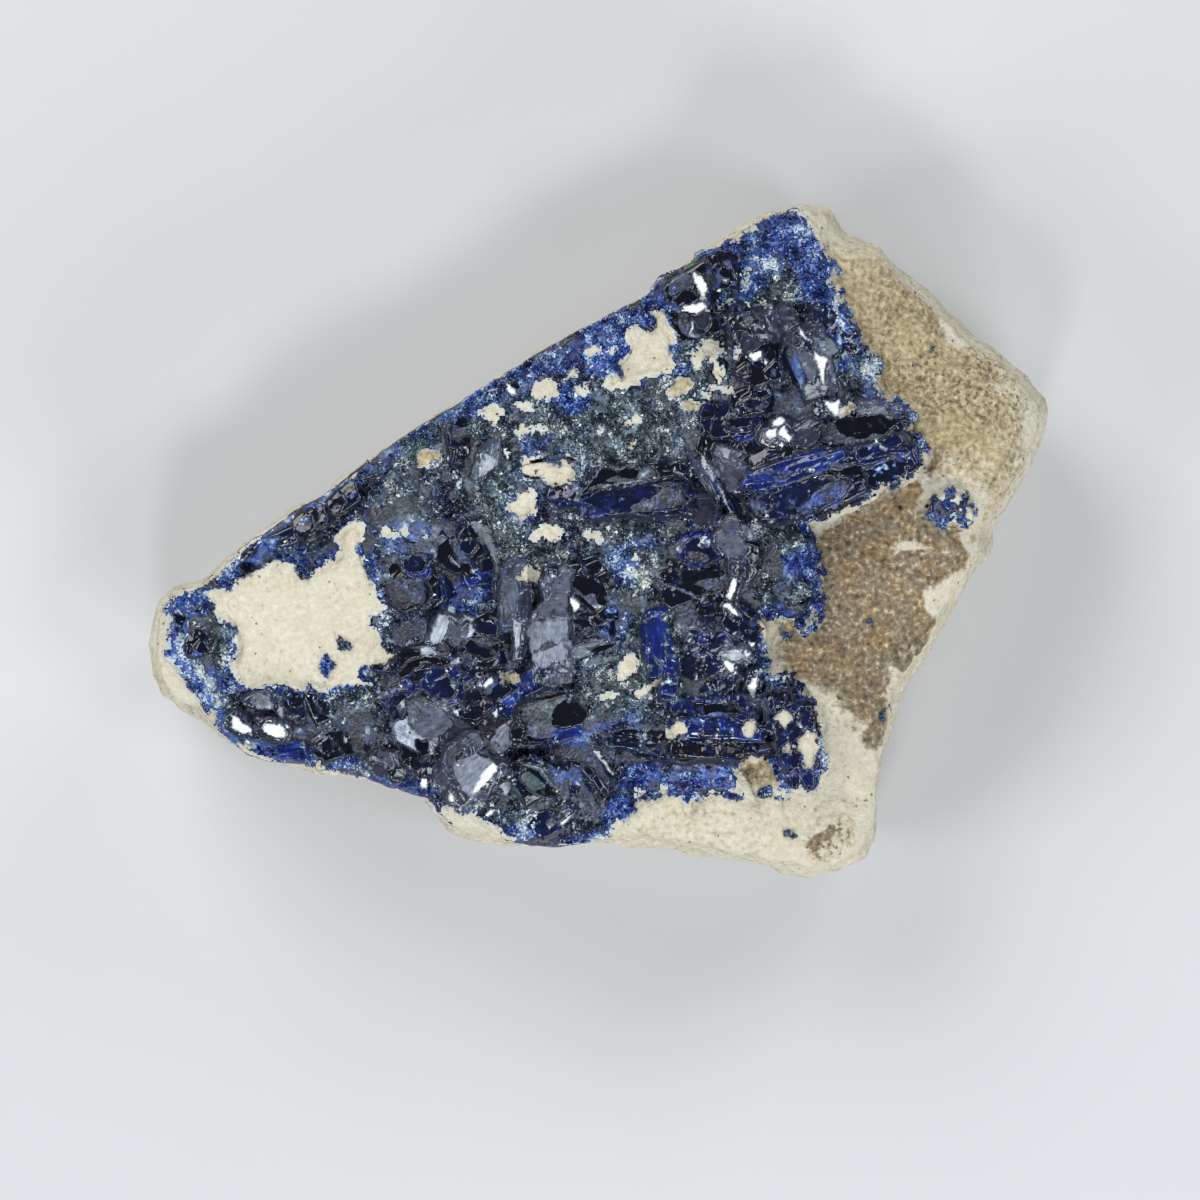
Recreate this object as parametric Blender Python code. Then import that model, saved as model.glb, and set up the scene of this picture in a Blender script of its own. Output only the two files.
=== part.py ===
"""An azurite specimen: a slab of pale sandstone with a crust of dark blue crystals over most of one face.

The slab lies on its flat back with the crystals up. Lengths are in millimetres and are turned into metres
where a mesh is made. +X runs along the slab's longest side, +Z points up out of the crystal face, and the
origin is on the resting plane under the middle of the outline.
"""

import math

import bmesh
import bpy
from mathutils import Matrix, Vector, noise
from mathutils.geometry import delaunay_2d_cdt

MM = 0.001

# Driving dimensions of the slab.
SEAT_HEIGHT = 21.5  # the rock's face under the crust, above the resting plane
RIM_INSET = 1.0  # from the outline to where the top face begins
ROCK_SPACING = 2.5  # between the points that shape the rock's top face
EDGE_SPACING = 2.7  # between the points along the outline
WALL_SHARES = (0.88, 0.72, 0.55, 0.38, 0.20, 0.06, 0.00)  # of the rim's height, where the walls have points
WIDEST_SHARE = 0.60  # where the walls reach the outline, on average
WIDEST_VARIATION = 0.24
WIDEST_BAND = 0.09  # half the share over which the walls keep to the outline
FOOT_INSET = 4.2  # from the outline to the edge of the flat back
WALL_ROUGHNESS = 0.55
WALL_WAVE = 1.2  # how far the walls' points wander up and down
RIM_BEVEL_DEPTH = 1.7  # how far the top face rounds down towards the rim
RIM_BEVEL_WIDTH = 3.4

# How the bare rock right of the azurite lies against the seat: a slope's rise per millimetre, the direction
# in which it falls and the point where it starts.
UPPER_RIGHT_SLOPE = (0.24, (0.64, 0.77), (25.5, 19.0))
LOWER_RIGHT_SLOPE = (0.16, (0.86, -0.51), (33.0, 3.0))
STAINED_HOLLOW_CENTRE = (27.0, -5.5)
STAINED_HOLLOW_RADII = (9.5, 15.5)
STAINED_HOLLOW_DEPTH = 0.9
PALE_RIDGE = ((27.5, -16.0), (26.0, -26.0), (24.5, -31.0))
PALE_RIDGE_HEIGHT = 0.5
PALE_RIDGE_HALF_WIDTH = 2.2
LEDGE_HEIGHT = 0.55  # of the steps in the upper right fracture

# Roughness, as height, size of its features and seed.
BARE_ROCK_GRAIN = ((0.55, 7.0, 5), (0.30, 3.0, 6))
LEDGE_PATTERN = (1.6, 11.0, 8)
CRUST_GRAIN = ((0.32, 2.6, 2), (0.22, 1.3, 3))
ISLET_GRAIN = ((0.30, 1.3, 4),)

# Driving dimensions of the azurite.
CRUST_THICKNESS = 1.7
CRUST_EDGE_THICKNESS = 0.7
CRUST_EDGE_WIDTH = 1.6
CRUST_ROOT = 1.5  # how far the uncut crust reaches below the rock's face before the rock is cut from it
ROOT_VARIATION = 0.9
CRUST_SPACING = 2.1
GAP = 0.3  # kept between the azurite and the rock it sits on
PATCH_WALL = 0.4  # width of the step round a patch of bare rock
PATCH_RECESS = 3.0  # how far the crust's top drops inside a patch, so that none is left there
CRYSTAL_SPREAD = 1.22  # of the tabled length and width, so that neighbours grow into one another
CRYSTAL_RISE = 0.62  # of the tabled rise
HIDDEN_SHARE = 0.5  # of a crystal's tabled size, inside which the crust under it needs no points
WELD = 0.06  # points closer than this are joined after the cuts
FLAT_ANGLE = math.radians(2)  # faces that meet at less than this are one face after the cuts

# The slab seen from above, anticlockwise from the narrow left end.
SLAB_OUTLINE = (
    (-44.9, -10.9), (-44.7, -13.4), (-43.8, -15.3), (-41.0, -17.4), (-38.0, -19.6), (-35.0, -21.6),
    (-31.5, -22.5), (-27.5, -23.5), (-23.5, -23.8), (-20.5, -24.9), (-17.2, -25.8), (-16.5, -27.4),
    (-15.2, -29.3), (-11.5, -30.2), (-8.5, -30.5), (-4.5, -30.7), (-0.5, -30.4), (4.0, -30.6),
    (9.0, -31.2), (14.0, -31.9), (17.8, -33.0), (21.0, -33.7), (24.0, -33.0), (26.6, -31.9),
    (27.5, -29.9), (27.8, -25.9), (28.2, -22.4), (29.5, -18.9), (30.1, -15.7), (32.0, -12.9),
    (34.5, -8.7), (35.8, -5.9), (37.5, -3.1), (39.0, -1.5), (39.2, 1.1), (41.2, 4.1),
    (43.0, 7.1), (44.2, 10.1), (44.9, 13.1), (44.6, 14.5), (42.8, 16.3), (40.0, 18.9),
    (37.2, 20.9), (34.0, 24.3), (30.5, 26.9), (28.0, 29.5), (24.7, 30.7), (23.8, 32.1),
    (22.8, 33.4), (20.0, 33.8), (17.2, 33.1), (14.0, 31.5), (10.0, 28.9), (6.0, 26.4),
    (4.5, 24.5), (1.5, 23.1), (-2.0, 21.2), (-6.0, 19.0), (-10.0, 16.5), (-14.0, 14.1),
    (-18.0, 11.6), (-22.0, 8.9), (-25.5, 6.5), (-28.2, 4.3), (-31.0, 3.3), (-34.5, 0.6),
    (-37.5, -1.5), (-39.7, -3.7), (-42.5, -4.5), (-44.2, -5.9), (-44.8, -8.4),
)

MIDDLE_LINE = ((-30.0, -10.0), (20.0, 0.0))  # the way from the slab's walls inwards leads to this line

# The azurite's edge, anticlockwise from the left end.
CRUST_OUTLINE = (
    (-43.6, -10.0), (-43.4, -11.7), (-41.6, -12.9), (-40.5, -14.2), (-39.5, -16.2), (-38.4, -18.6),
    (-36.8, -20.0), (-35.3, -21.3), (-33.0, -22.1), (-31.0, -22.2), (-28.0, -22.7), (-25.5, -23.2),
    (-23.4, -23.6), (-21.4, -24.4), (-19.0, -25.1), (-16.9, -25.9), (-16.2, -27.1), (-15.2, -28.0),
    (-12.5, -27.7), (-11.0, -28.6), (-9.6, -29.8), (-7.0, -30.4), (-4.5, -30.5), (-2.0, -30.3),
    (-0.6, -29.9), (1.8, -28.8), (2.5, -27.2), (3.0, -25.8), (4.2, -25.1), (6.6, -24.7),
    (7.9, -25.2), (8.4, -26.9), (8.9, -27.3), (9.3, -25.7), (11.5, -24.9), (13.5, -25.1),
    (15.4, -26.0), (15.2, -24.9), (14.4, -23.3), (13.6, -22.7), (14.6, -21.9), (16.2, -21.2),
    (17.0, -22.2), (17.1, -25.0), (18.4, -25.6), (20.2, -25.1), (21.6, -24.5), (22.3, -22.5),
    (22.4, -20.5), (21.4, -18.6), (21.0, -16.8), (20.0, -15.3), (18.7, -14.0), (17.2, -13.2),
    (16.2, -12.9), (16.4, -11.0), (16.2, -9.0), (15.4, -7.6), (16.6, -6.9), (17.8, -8.0),
    (19.1, -9.2), (20.6, -9.3), (21.7, -7.9), (22.2, -5.5), (22.1, -2.8), (21.5, -0.4),
    (20.6, 1.2), (20.2, 2.3), (21.7, 2.9), (23.6, 3.6), (25.1, 4.6), (27.3, 5.2),
    (29.4, 6.0), (31.3, 7.0), (32.2, 8.3), (31.8, 9.8), (30.9, 11.2), (30.4, 12.3),
    (32.2, 13.1), (31.0, 14.0), (29.2, 14.3), (28.2, 15.3), (27.7, 16.9), (26.8, 18.4),
    (25.8, 19.7), (25.0, 20.4), (24.8, 22.2), (24.2, 24.2), (23.7, 26.2), (22.8, 28.0),
    (22.1, 29.4), (21.8, 30.9), (20.6, 32.4), (19.6, 33.4), (17.6, 32.6), (15.0, 31.4),
    (12.4, 29.8), (9.8, 28.3), (7.4, 26.8), (5.9, 25.9), (4.6, 24.3), (1.6, 22.9),
    (-2.0, 21.0), (-6.0, 18.8), (-10.0, 16.3), (-14.0, 13.9), (-18.0, 11.4), (-22.0, 8.7),
    (-25.3, 6.3), (-27.6, 4.4), (-30.2, 3.2), (-32.8, 1.2), (-35.2, -0.8), (-37.4, -2.8),
    (-39.4, -4.4), (-41.2, -4.9), (-42.8, -6.0), (-43.7, -7.8),
)

# Bare rock that shows through the azurite: outline and its level against the crust's top.
PATCHES = (
    (-0.45, (
        (-39.5, -5.1), (-38.2, -6.9), (-36.8, -8.1), (-36.0, -10.4), (-36.4, -12.4), (-35.7, -14.2),
        (-32.5, -14.2), (-29.5, -14.9), (-26.5, -14.8), (-24.2, -13.1), (-22.2, -11.9), (-21.4, -10.4),
        (-22.8, -8.4), (-22.0, -7.1), (-22.4, -4.9), (-23.4, -1.9), (-23.8, 0.6), (-24.5, 2.4),
        (-26.0, 0.8), (-25.8, -1.4), (-27.0, -2.3), (-28.8, -3.5), (-29.7, -2.5), (-32.0, -2.2),
        (-33.5, -3.0), (-35.5, -4.1), (-37.2, -4.9),
    )),
    (-0.10, (
        (5.5, 22.9), (4.0, 21.6), (2.6, 21.0), (3.2, 19.6), (2.5, 17.9), (1.0, 16.2),
        (0.4, 14.6), (1.8, 15.5), (3.6, 16.4), (5.8, 16.8), (7.2, 17.6), (7.2, 20.5), (6.6, 22.1),
    )),
    (-0.10, (
        (-8.5, 7.6), (-8.5, 6.6), (-7.0, 6.1), (-4.8, 6.1), (-3.8, 4.9), (-2.5, 5.3),
        (-2.0, 6.6), (-0.3, 7.1), (-0.5, 7.9), (-2.2, 7.9), (-4.0, 8.7), (-5.2, 8.3), (-7.0, 7.9),
    )),
    (-0.10, (
        (-9.5, 4.1), (-8.8, 2.6), (-7.2, 2.1), (-6.5, 3.6), (-6.7, 5.3), (-8.0, 4.8),
    )),
)

ISLET_OUTLINE = (
    (33.2, 3.9), (33.5, 2.1), (34.8, 1.5), (36.2, 1.4), (37.3, 2.4), (36.5, 3.6), (35.8, 4.6), (34.5, 4.8),
)
ISLET_THICKNESS = 1.0
ISLET_EDGE_THICKNESS = 0.3
ISLET_EDGE_WIDTH = 0.9
ISLET_SPACING = 1.0

# Broad relief of the crust: x, y, half length, half width, heading, height, flat share of the radius.
LUMPS = (
    (-40.5, -9.9, 3.0, 6.0, 0, 0.6, 0.3),
    (-31.0, 1.1, 7.5, 1.9, 34, 1.2, 0.3),
    (-20.0, 2.8, 6.0, 4.6, 150, 1.6, 0.4),
    (-15.5, -3.6, 6.0, 5.4, 0, -0.8, 0.5),
    (-0.5, 9.5, 14.0, 8.0, 22, 1.0, 0.7),
    (-9.0, -4.9, 7.2, 2.4, 92, 1.2, 0.6),
    (18.0, 26.6, 6.5, 6.0, 0, 0.5, 0.4),
    (4.0, -14.2, 7.0, 5.4, 0, 1.1, 0.7),
    (3.2, -6.5, 5.0, 3.6, 0, 0.8, 0.5),
    (9.5, -2.2, 5.2, 6.4, 0, -0.6, 0.5),
    (18.9, -4.0, 6.4, 3.9, 98, 1.9, 0.5),
    (19.5, -19.6, 6.8, 3.4, 102, 1.3, 0.7),
    (-4.4, -26.0, 6.6, 5.0, 0, 1.7, 0.4),
    (-3.0, -17.4, 6.6, 3.2, 0, 1.3, 0.4),
    (-13.4, -23.6, 5.0, 4.4, 20, 0.9, 0.4),
    (12.0, -19.4, 6.6, 4.4, 0, 0.9, 0.6),
    (-17.0, -16.0, 7.4, 5.6, 0, 0.5, 0.5),
    (-33.4, -18.4, 5.4, 3.4, -12, 0.8, 0.4),
    (23.0, 6.4, 10.5, 3.4, 22, 1.3, 0.5),
    (19.5, 16.5, 8.0, 7.0, 0, 0.8, 0.5),
    (9.4, 24.2, 5.4, 4.4, 20, 0.9, 0.4),
)

# Cracks between the lobes: their depth and the line they follow.
CREVICES = (
    (1.3, ((-26.0, 6.0), (-21.2, 7.0), (-17.2, 5.1), (-14.6, 2.6))),
    (1.2, ((-10.2, 2.2), (-11.4, 0.4), (-10.2, -2.4), (-10.6, -7.6))),
    (1.4, ((-6.4, -19.9), (-3.0, -20.0), (0.2, -21.4), (1.9, -23.8))),
    (1.0, ((-6.6, -21.8), (-4.4, -23.4), (-3.2, -25.2))),
    (1.3, ((15.6, -14.4), (16.2, -17.4), (16.6, -20.8))),
    (1.0, ((2.4, -5.4), (6.4, -6.0), (8.0, -9.6), (8.4, -14.4), (8.0, -16.8))),
    (1.1, ((14.6, 6.2), (14.2, 3.6), (15.8, 1.8), (20.0, 1.6))),
)
CREVICE_HALF_WIDTH = 1.0

# Forms of azurite crystals, as faces cut from a box: the face's direction and its share of the reach.
BLOCK = (((0.76, 0.65, 0.0), 0.74), ((-0.76, -0.65, 0.0), 0.70), ((-0.76, 0.65, 0.0), 0.84),
         ((0.66, -0.20, 0.72), 0.76), ((-0.20, 0.70, 0.68), 0.80), ((-0.62, -0.40, 0.68), 0.84))
BLADE = (((0.50, 0.86, 0.0), 0.70), ((-0.50, -0.86, 0.0), 0.72), ((0.10, 0.76, 0.65), 0.72),
         ((-0.06, -0.76, 0.65), 0.78), ((0.70, 0.0, 0.70), 0.86), ((-0.75, 0.1, 0.65), 0.88))
PLATE = (((0.76, 0.65, 0.0), 0.76), ((-0.76, -0.65, 0.0), 0.72), ((0.76, -0.65, 0.0), 0.84),
         ((-0.76, 0.65, 0.0), 0.84), ((0.10, 0.50, 0.86), 0.92))

# The crystals that stand out of the crust: x, y, length, width, height, heading of the length, tilt of
# the broad face, the heading that it tilts towards, how far it rises out of the crust, and its form.
CRYSTALS = (
    # The cluster at the upper edge.
    (9.2, 25.0, 4.4, 3.6, 4.2, 15, 8, 120, 2.6, BLOCK),
    (11.8, 27.0, 4.2, 2.8, 3.4, 350, 14, 80, 1.8, BLOCK),
    (9.9, 21.9, 3.6, 2.8, 3.2, 30, 10, 60, 1.8, BLOCK),
    (6.8, 25.0, 2.6, 2.2, 2.4, 50, 18, 150, 1.0, BLOCK),
    # Large glassy crystals on the right.
    (15.0, 20.2, 4.6, 3.4, 3.4, 110, 18, 340, 1.8, BLOCK),
    (15.8, 17.2, 3.8, 3.2, 3.0, 20, 10, 90, 1.4, BLOCK),
    (15.7, 18.5, 1.5, 1.1, 1.6, 20, 20, 262, 2.1, BLOCK),
    (19.0, 20.6, 5.0, 2.2, 2.6, 125, 16, 345, 1.9, BLADE),
    (20.4, 17.6, 6.2, 2.6, 2.8, 112, 17, 340, 2.2, BLADE),
    (22.3, 17.6, 5.6, 1.5, 2.2, 105, 20, 300, 2.0, BLADE),
    (23.2, 20.6, 4.4, 3.0, 2.4, 140, 15, 330, 1.2, PLATE),
    (23.4, 13.4, 2.0, 1.5, 1.8, 40, 20, 262, 1.4, BLOCK),
    (18.0, 11.0, 2.8, 2.5, 2.6, 60, 20, 264, 1.8, BLOCK),
    (20.6, 10.7, 3.2, 2.6, 2.6, 20, 14, 345, 1.3, BLOCK),
    (15.0, 13.8, 3.4, 2.4, 2.4, 10, 10, 100, 1.0, BLOCK),
    (12.0, 12.1, 3.8, 2.8, 2.6, 170, 8, 80, 1.0, BLOCK),
    (14.6, 11.3, 3.6, 2.6, 2.4, 20, 12, 100, 0.9, BLOCK),
    (11.3, 9.9, 3.2, 2.6, 2.4, 60, 10, 90, 0.8, BLOCK),
    (14.8, 9.2, 3.8, 2.6, 2.6, 30, 12, 120, 1.0, BLOCK),
    (17.8, 8.5, 5.0, 1.8, 2.2, 25, 14, 110, 1.2, BLADE),
    (27.8, 13.1, 4.2, 1.6, 1.8, 355, 16, 300, 1.2, BLADE),
    (27.0, 10.8, 6.5, 2.4, 2.8, 8, 12, 100, 1.2, BLADE),
    (23.6, 10.9, 3.8, 2.6, 2.6, 15, 10, 80, 1.2, BLOCK),
    # Long blades across the middle.
    (20.8, 4.3, 9.6, 2.8, 3.2, 20, 14, 110, 1.6, BLADE),
    (19.2, 6.9, 9.0, 2.0, 2.6, 20, 10, 110, 2.0, BLADE),
    (25.6, 8.2, 7.0, 2.0, 2.6, 16, 12, 100, 1.4, BLADE),
    (29.4, 7.9, 4.8, 2.8, 2.6, 28, 10, 280, 1.2, BLADE),
    (26.6, 6.1, 4.2, 2.0, 2.2, 30, 16, 300, 0.8, BLADE),
    (3.0, 4.2, 11.4, 3.0, 3.4, 4, 14, 100, 1.3, BLADE),
    (3.8, 6.6, 8.4, 1.6, 2.4, 10, 10, 100, 1.5, BLADE),
    (10.2, 7.0, 6.5, 0.9, 2.4, 122, 16, 200, 1.5, BLADE),
    (11.8, 5.6, 6.5, 0.9, 2.4, 125, 18, 210, 1.6, BLADE),
    (8.8, 5.6, 5.6, 0.9, 2.2, 118, 16, 200, 1.2, BLADE),
    (13.1, 7.6, 4.0, 2.6, 2.4, 160, 16, 330, 1.0, PLATE),
    (10.1, 2.8, 3.0, 2.8, 2.6, 90, 5, 90, 1.1, BLOCK),
    (13.2, 0.2, 3.8, 3.0, 2.8, 150, 18, 335, 1.6, PLATE),
    (14.0, -2.4, 3.0, 2.4, 2.4, 100, 14, 340, 1.0, BLOCK),
    (10.0, -0.8, 4.0, 3.0, 2.8, 20, 12, 100, 1.2, BLOCK),
    # Dark crystals right of the middle.
    (9.8, -3.9, 5.0, 1.8, 2.4, 175, 14, 95, 1.0, BLADE),
    (11.6, -5.8, 4.0, 2.8, 2.6, 165, 10, 110, 0.8, BLOCK),
    (7.4, -4.9, 3.6, 3.0, 2.8, 20, 8, 100, 0.7, BLOCK),
    (13.3, -4.7, 2.4, 1.1, 1.4, 70, 20, 268, 1.7, PLATE),
    (13.2, -7.1, 2.0, 1.1, 1.4, 320, 20, 262, 1.6, PLATE),
    (5.6, -10.4, 6.2, 2.6, 2.8, 100, 12, 40, 1.4, BLADE),
    (10.4, -11.4, 4.6, 3.8, 3.0, 60, 12, 150, 1.2, BLOCK),
    (14.2, -8.8, 3.8, 2.6, 2.6, 330, 14, 60, 1.2, BLADE),
    (13.4, -11.2, 2.8, 1.6, 1.8, 5, 17, 290, 1.6, PLATE),
    (12.8, -12.8, 1.8, 1.3, 1.6, 330, 20, 265, 1.5, BLOCK),
    (15.0, -14.2, 2.8, 1.4, 2.2, 80, 19, 258, 1.6, BLADE),
    (11.4, -14.8, 3.6, 2.8, 2.4, 70, 10, 140, 0.8, BLOCK),
    (11.4, -16.8, 8.2, 1.7, 2.6, 2, 14, 100, 1.3, BLADE),
    (11.6, -18.6, 8.0, 2.0, 2.8, 2, 8, 270, 1.7, BLADE),
    (11.4, -20.7, 7.6, 1.8, 2.6, 6, 14, 100, 1.2, BLADE),
    (5.6, -20.4, 5.6, 2.6, 2.6, 350, 12, 110, 0.9, BLADE),
    (19.6, -20.4, 7.2, 3.4, 4.0, 100, 8, 300, 1.2, BLOCK),
    (17.8, -15.6, 3.0, 2.2, 2.8, 105, 14, 20, 1.2, BLADE),
    # Grey faces in the middle.
    (-5.2, -8.7, 4.6, 4.0, 3.4, 90, 17, 325, 2.0, BLOCK),
    (-4.8, -11.8, 4.2, 3.4, 3.2, 75, 16, 320, 1.6, BLOCK),
    (-4.2, -5.2, 4.6, 3.2, 3.2, 92, 17, 345, 1.6, BLOCK),
    (-8.8, -5.4, 6.2, 2.4, 3.0, 92, 13, 20, 1.5, BLADE),
    (-8.2, -9.7, 3.8, 1.2, 2.4, 88, 18, 340, 1.8, BLADE),
    (-6.6, -14.2, 2.6, 2.2, 2.2, 40, 14, 300, 1.2, BLOCK),
    (-0.8, -4.4, 4.2, 3.4, 3.2, 130, 8, 90, 1.0, BLOCK),
    (-0.8, -8.4, 4.2, 2.2, 2.6, 5, 10, 110, 0.9, BLOCK),
    (-1.2, -10.5, 4.6, 1.4, 2.0, 22, 16, 300, 1.2, BLADE),
    # The hollow left of the middle.
    (-19.2, -4.8, 4.2, 3.8, 3.0, 20, 8, 100, 0.7, BLOCK),
    (-18.4, -1.8, 3.4, 2.6, 2.4, 100, 12, 80, 0.7, BLOCK),
    (-15.4, -1.2, 4.4, 2.8, 2.8, 160, 12, 100, 0.9, BLOCK),
    (-12.6, -0.4, 3.8, 3.0, 3.0, 40, 14, 60, 1.0, BLOCK),
    (-12.4, -3.0, 2.8, 2.8, 2.8, 100, 10, 60, 0.9, BLOCK),
    (-16.6, -5.0, 3.2, 2.6, 2.4, 30, 14, 200, 0.7, BLOCK),
    # Large crystals towards the lower left.
    (-15.9, -8.7, 3.2, 1.7, 2.4, 62, 19, 280, 1.6, BLADE),
    (-13.6, -8.9, 3.0, 2.2, 2.4, 40, 16, 330, 1.3, BLOCK),
    (-11.2, -8.9, 3.2, 2.8, 2.8, 10, 8, 100, 1.2, BLOCK),
    (-11.4, -11.5, 3.4, 2.6, 2.6, 20, 10, 120, 0.9, BLOCK),
    (-17.4, -11.6, 5.0, 2.2, 2.6, 15, 14, 100, 1.0, BLADE),
    (-15.6, -14.6, 3.4, 3.2, 3.0, 15, 6, 150, 1.2, BLOCK),
    (-13.2, -12.9, 2.2, 1.9, 2.0, 70, 8, 90, 1.2, BLOCK),
    (-17.0, -18.0, 5.4, 3.4, 3.0, 340, 17, 325, 1.6, PLATE),
    (-20.2, -15.2, 3.2, 2.6, 2.4, 30, 10, 110, 0.8, BLOCK),
    (-18.4, -21.4, 2.8, 2.4, 2.4, 300, 12, 60, 0.9, BLOCK),
    (-21.4, -22.4, 3.4, 2.4, 2.4, 330, 15, 320, 0.8, PLATE),
    (-12.6, -16.4, 3.2, 2.6, 2.6, 40, 12, 90, 1.1, BLOCK),
    (-11.1, -14.0, 1.6, 1.3, 1.6, 60, 20, 262, 1.6, BLOCK),
    (-9.6, -16.4, 3.0, 2.0, 2.4, 350, 12, 120, 1.0, BLOCK),
    (-21.0, -12.2, 3.6, 2.4, 2.4, 150, 10, 60, 0.8, BLOCK),
    (-13.2, -23.2, 5.2, 4.4, 3.4, 35, 13, 285, 1.8, BLOCK),
    (-10.8, -23.6, 3.8, 1.3, 2.0, 58, 20, 262, 2.2, BLADE),
    (-10.0, -19.8, 5.6, 1.6, 2.2, 52, 15, 300, 1.8, BLADE),
    # The lobes at the lower edge.
    (-5.2, -17.4, 5.4, 3.4, 3.2, 10, 12, 300, 1.2, PLATE),
    (-3.4, -21.6, 3.6, 1.8, 2.4, 350, 14, 80, 0.9, BLADE),
    (-0.6, -22.8, 4.2, 1.8, 2.4, 305, 14, 50, 0.9, BLADE),
    (-7.2, -24.0, 3.6, 2.6, 2.8, 300, 10, 60, 1.2, BLOCK),
    (-3.8, -27.4, 3.0, 1.0, 1.8, 42, 18, 262, 1.4, BLADE),
    (-5.4, -28.4, 2.8, 2.0, 2.2, 30, 10, 120, 0.9, BLOCK),
    # The lower left edge.
    (-36.0, -18.2, 2.6, 1.8, 2.0, 335, 20, 262, 1.6, PLATE),
    (-32.2, -18.6, 2.7, 1.9, 2.0, 350, 20, 262, 1.6, PLATE),
    (-34.0, -15.9, 2.6, 1.7, 2.0, 20, 12, 300, 1.1, BLOCK),
    (-30.6, -16.2, 2.6, 1.6, 2.2, 110, 14, 20, 1.2, BLADE),
    (-28.4, -16.6, 3.2, 1.6, 2.2, 120, 14, 40, 1.2, BLADE),
    (-30.8, -21.0, 2.4, 1.8, 1.8, 0, 12, 100, 0.8, BLOCK),
    (-26.8, -20.4, 3.2, 2.6, 2.2, 20, 10, 120, 0.8, BLOCK),
    # The left end and the ridge along the upper left edge.
    (-40.0, -10.2, 2.6, 2.0, 2.0, 60, 12, 100, 0.8, BLOCK),
    (-34.2, -1.2, 3.0, 1.8, 2.2, 33, 16, 120, 1.0, BLOCK),
    (-31.4, 0.4, 3.2, 1.8, 2.2, 30, 10, 300, 1.0, BLADE),
    (-28.6, 2.0, 3.2, 2.2, 2.4, 35, 14, 110, 1.1, BLOCK),
    (-25.4, 4.2, 3.4, 2.2, 2.6, 35, 14, 120, 1.1, BLOCK),
    # Inside the upper left edge.
    (-11.6, 7.6, 3.0, 1.8, 2.2, 75, 16, 320, 1.4, BLADE),
    (-14.2, 9.6, 3.4, 2.0, 2.2, 95, 14, 40, 0.9, BLADE),
)

ISLET_CRYSTALS = (
    (34.6, 3.4, 2.2, 1.5, 1.6, 40, 12, 200, 0.7, BLOCK),
    (35.9, 2.6, 2.0, 1.3, 1.6, 330, 14, 280, 0.6, BLOCK),
)

SANDSTONE_COLOUR = (0.70, 0.60, 0.43, 1.0)
AZURITE_COLOUR = (0.02, 0.04, 0.22, 1.0)


def clear_scene():
    for obj in list(bpy.data.objects):
        bpy.data.objects.remove(obj, do_unlink=True)


def new_collection(name):
    collection = bpy.data.collections.new(name)
    bpy.context.scene.collection.children.link(collection)
    return collection


def principled(name, colour, roughness):
    material = bpy.data.materials.new(name)
    material.use_nodes = True
    shader = material.node_tree.nodes["Principled BSDF"]
    shader.inputs["Base Color"].default_value = colour
    shader.inputs["Roughness"].default_value = roughness
    shader.inputs["Metallic"].default_value = 0.0
    return material


def grain(x, y, z, scale, seed):
    """Smooth noise from about -1 to 1, with features about as large as the scale."""
    return noise.noise(Vector((x, y, z)) / scale + Vector((seed * 7.3, seed * 3.1, seed * 5.7)))


def layered(x, y, layers):
    """The sum of several sizes of noise."""
    return sum(height * grain(x, y, 0, scale, seed) for height, scale, seed in layers)


def smooth_step(value, low, high):
    t = min(1.0, max(0.0, (value - low) / (high - low)))
    return t * t * (3 - 2 * t)


def polygon_distance(polygon, x, y):
    """Distance from a point to a closed outline, positive inside it."""
    nearest = math.inf
    inside = False
    for (ax, ay), (bx, by) in zip(polygon, polygon[1:] + polygon[:1]):
        dx, dy = bx - ax, by - ay
        t = min(1.0, max(0.0, ((x - ax) * dx + (y - ay) * dy) / (dx * dx + dy * dy)))
        nearest = min(nearest, math.hypot(x - ax - t * dx, y - ay - t * dy))
        if (ay > y) != (by > y) and x < ax + (y - ay) * dx / dy:
            inside = not inside
    return nearest if inside else -nearest


def line_distance(line, x, y):
    """Distance from a point to an open line."""
    nearest = math.inf
    for (ax, ay), (bx, by) in zip(line, line[1:]):
        dx, dy = bx - ax, by - ay
        t = min(1.0, max(0.0, ((x - ax) * dx + (y - ay) * dy) / (dx * dx + dy * dy)))
        nearest = min(nearest, math.hypot(x - ax - t * dx, y - ay - t * dy))
    return nearest


def resample(polygon, spacing):
    """Points along a closed outline, about as far apart as spacing."""
    points = []
    for (ax, ay), (bx, by) in zip(polygon, polygon[1:] + polygon[:1]):
        steps = max(1, round(math.hypot(bx - ax, by - ay) / spacing))
        points += [(ax + (bx - ax) * i / steps, ay + (by - ay) * i / steps) for i in range(steps)]
    return points


def inset(points, distance):
    """A closed outline moved inwards."""
    moved = []
    for i, (x, y) in enumerate(points):
        before, after = points[i - 1], points[(i + 1) % len(points)]
        along = Vector((after[0] - before[0], after[1] - before[1])).normalized()
        moved.append((x - along.y * distance, y + along.x * distance))
    return moved


def lump_height(x, y):
    """The crust's broad lumps and hollows."""
    total = 0.0
    for cx, cy, half_length, half_width, heading, height, flat in LUMPS:
        turn = math.radians(heading)
        u = ((x - cx) * math.cos(turn) + (y - cy) * math.sin(turn)) / half_length
        v = ((y - cy) * math.cos(turn) - (x - cx) * math.sin(turn)) / half_width
        total += height * (1 - smooth_step(math.hypot(u, v), flat, 1.0))
    return total


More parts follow.
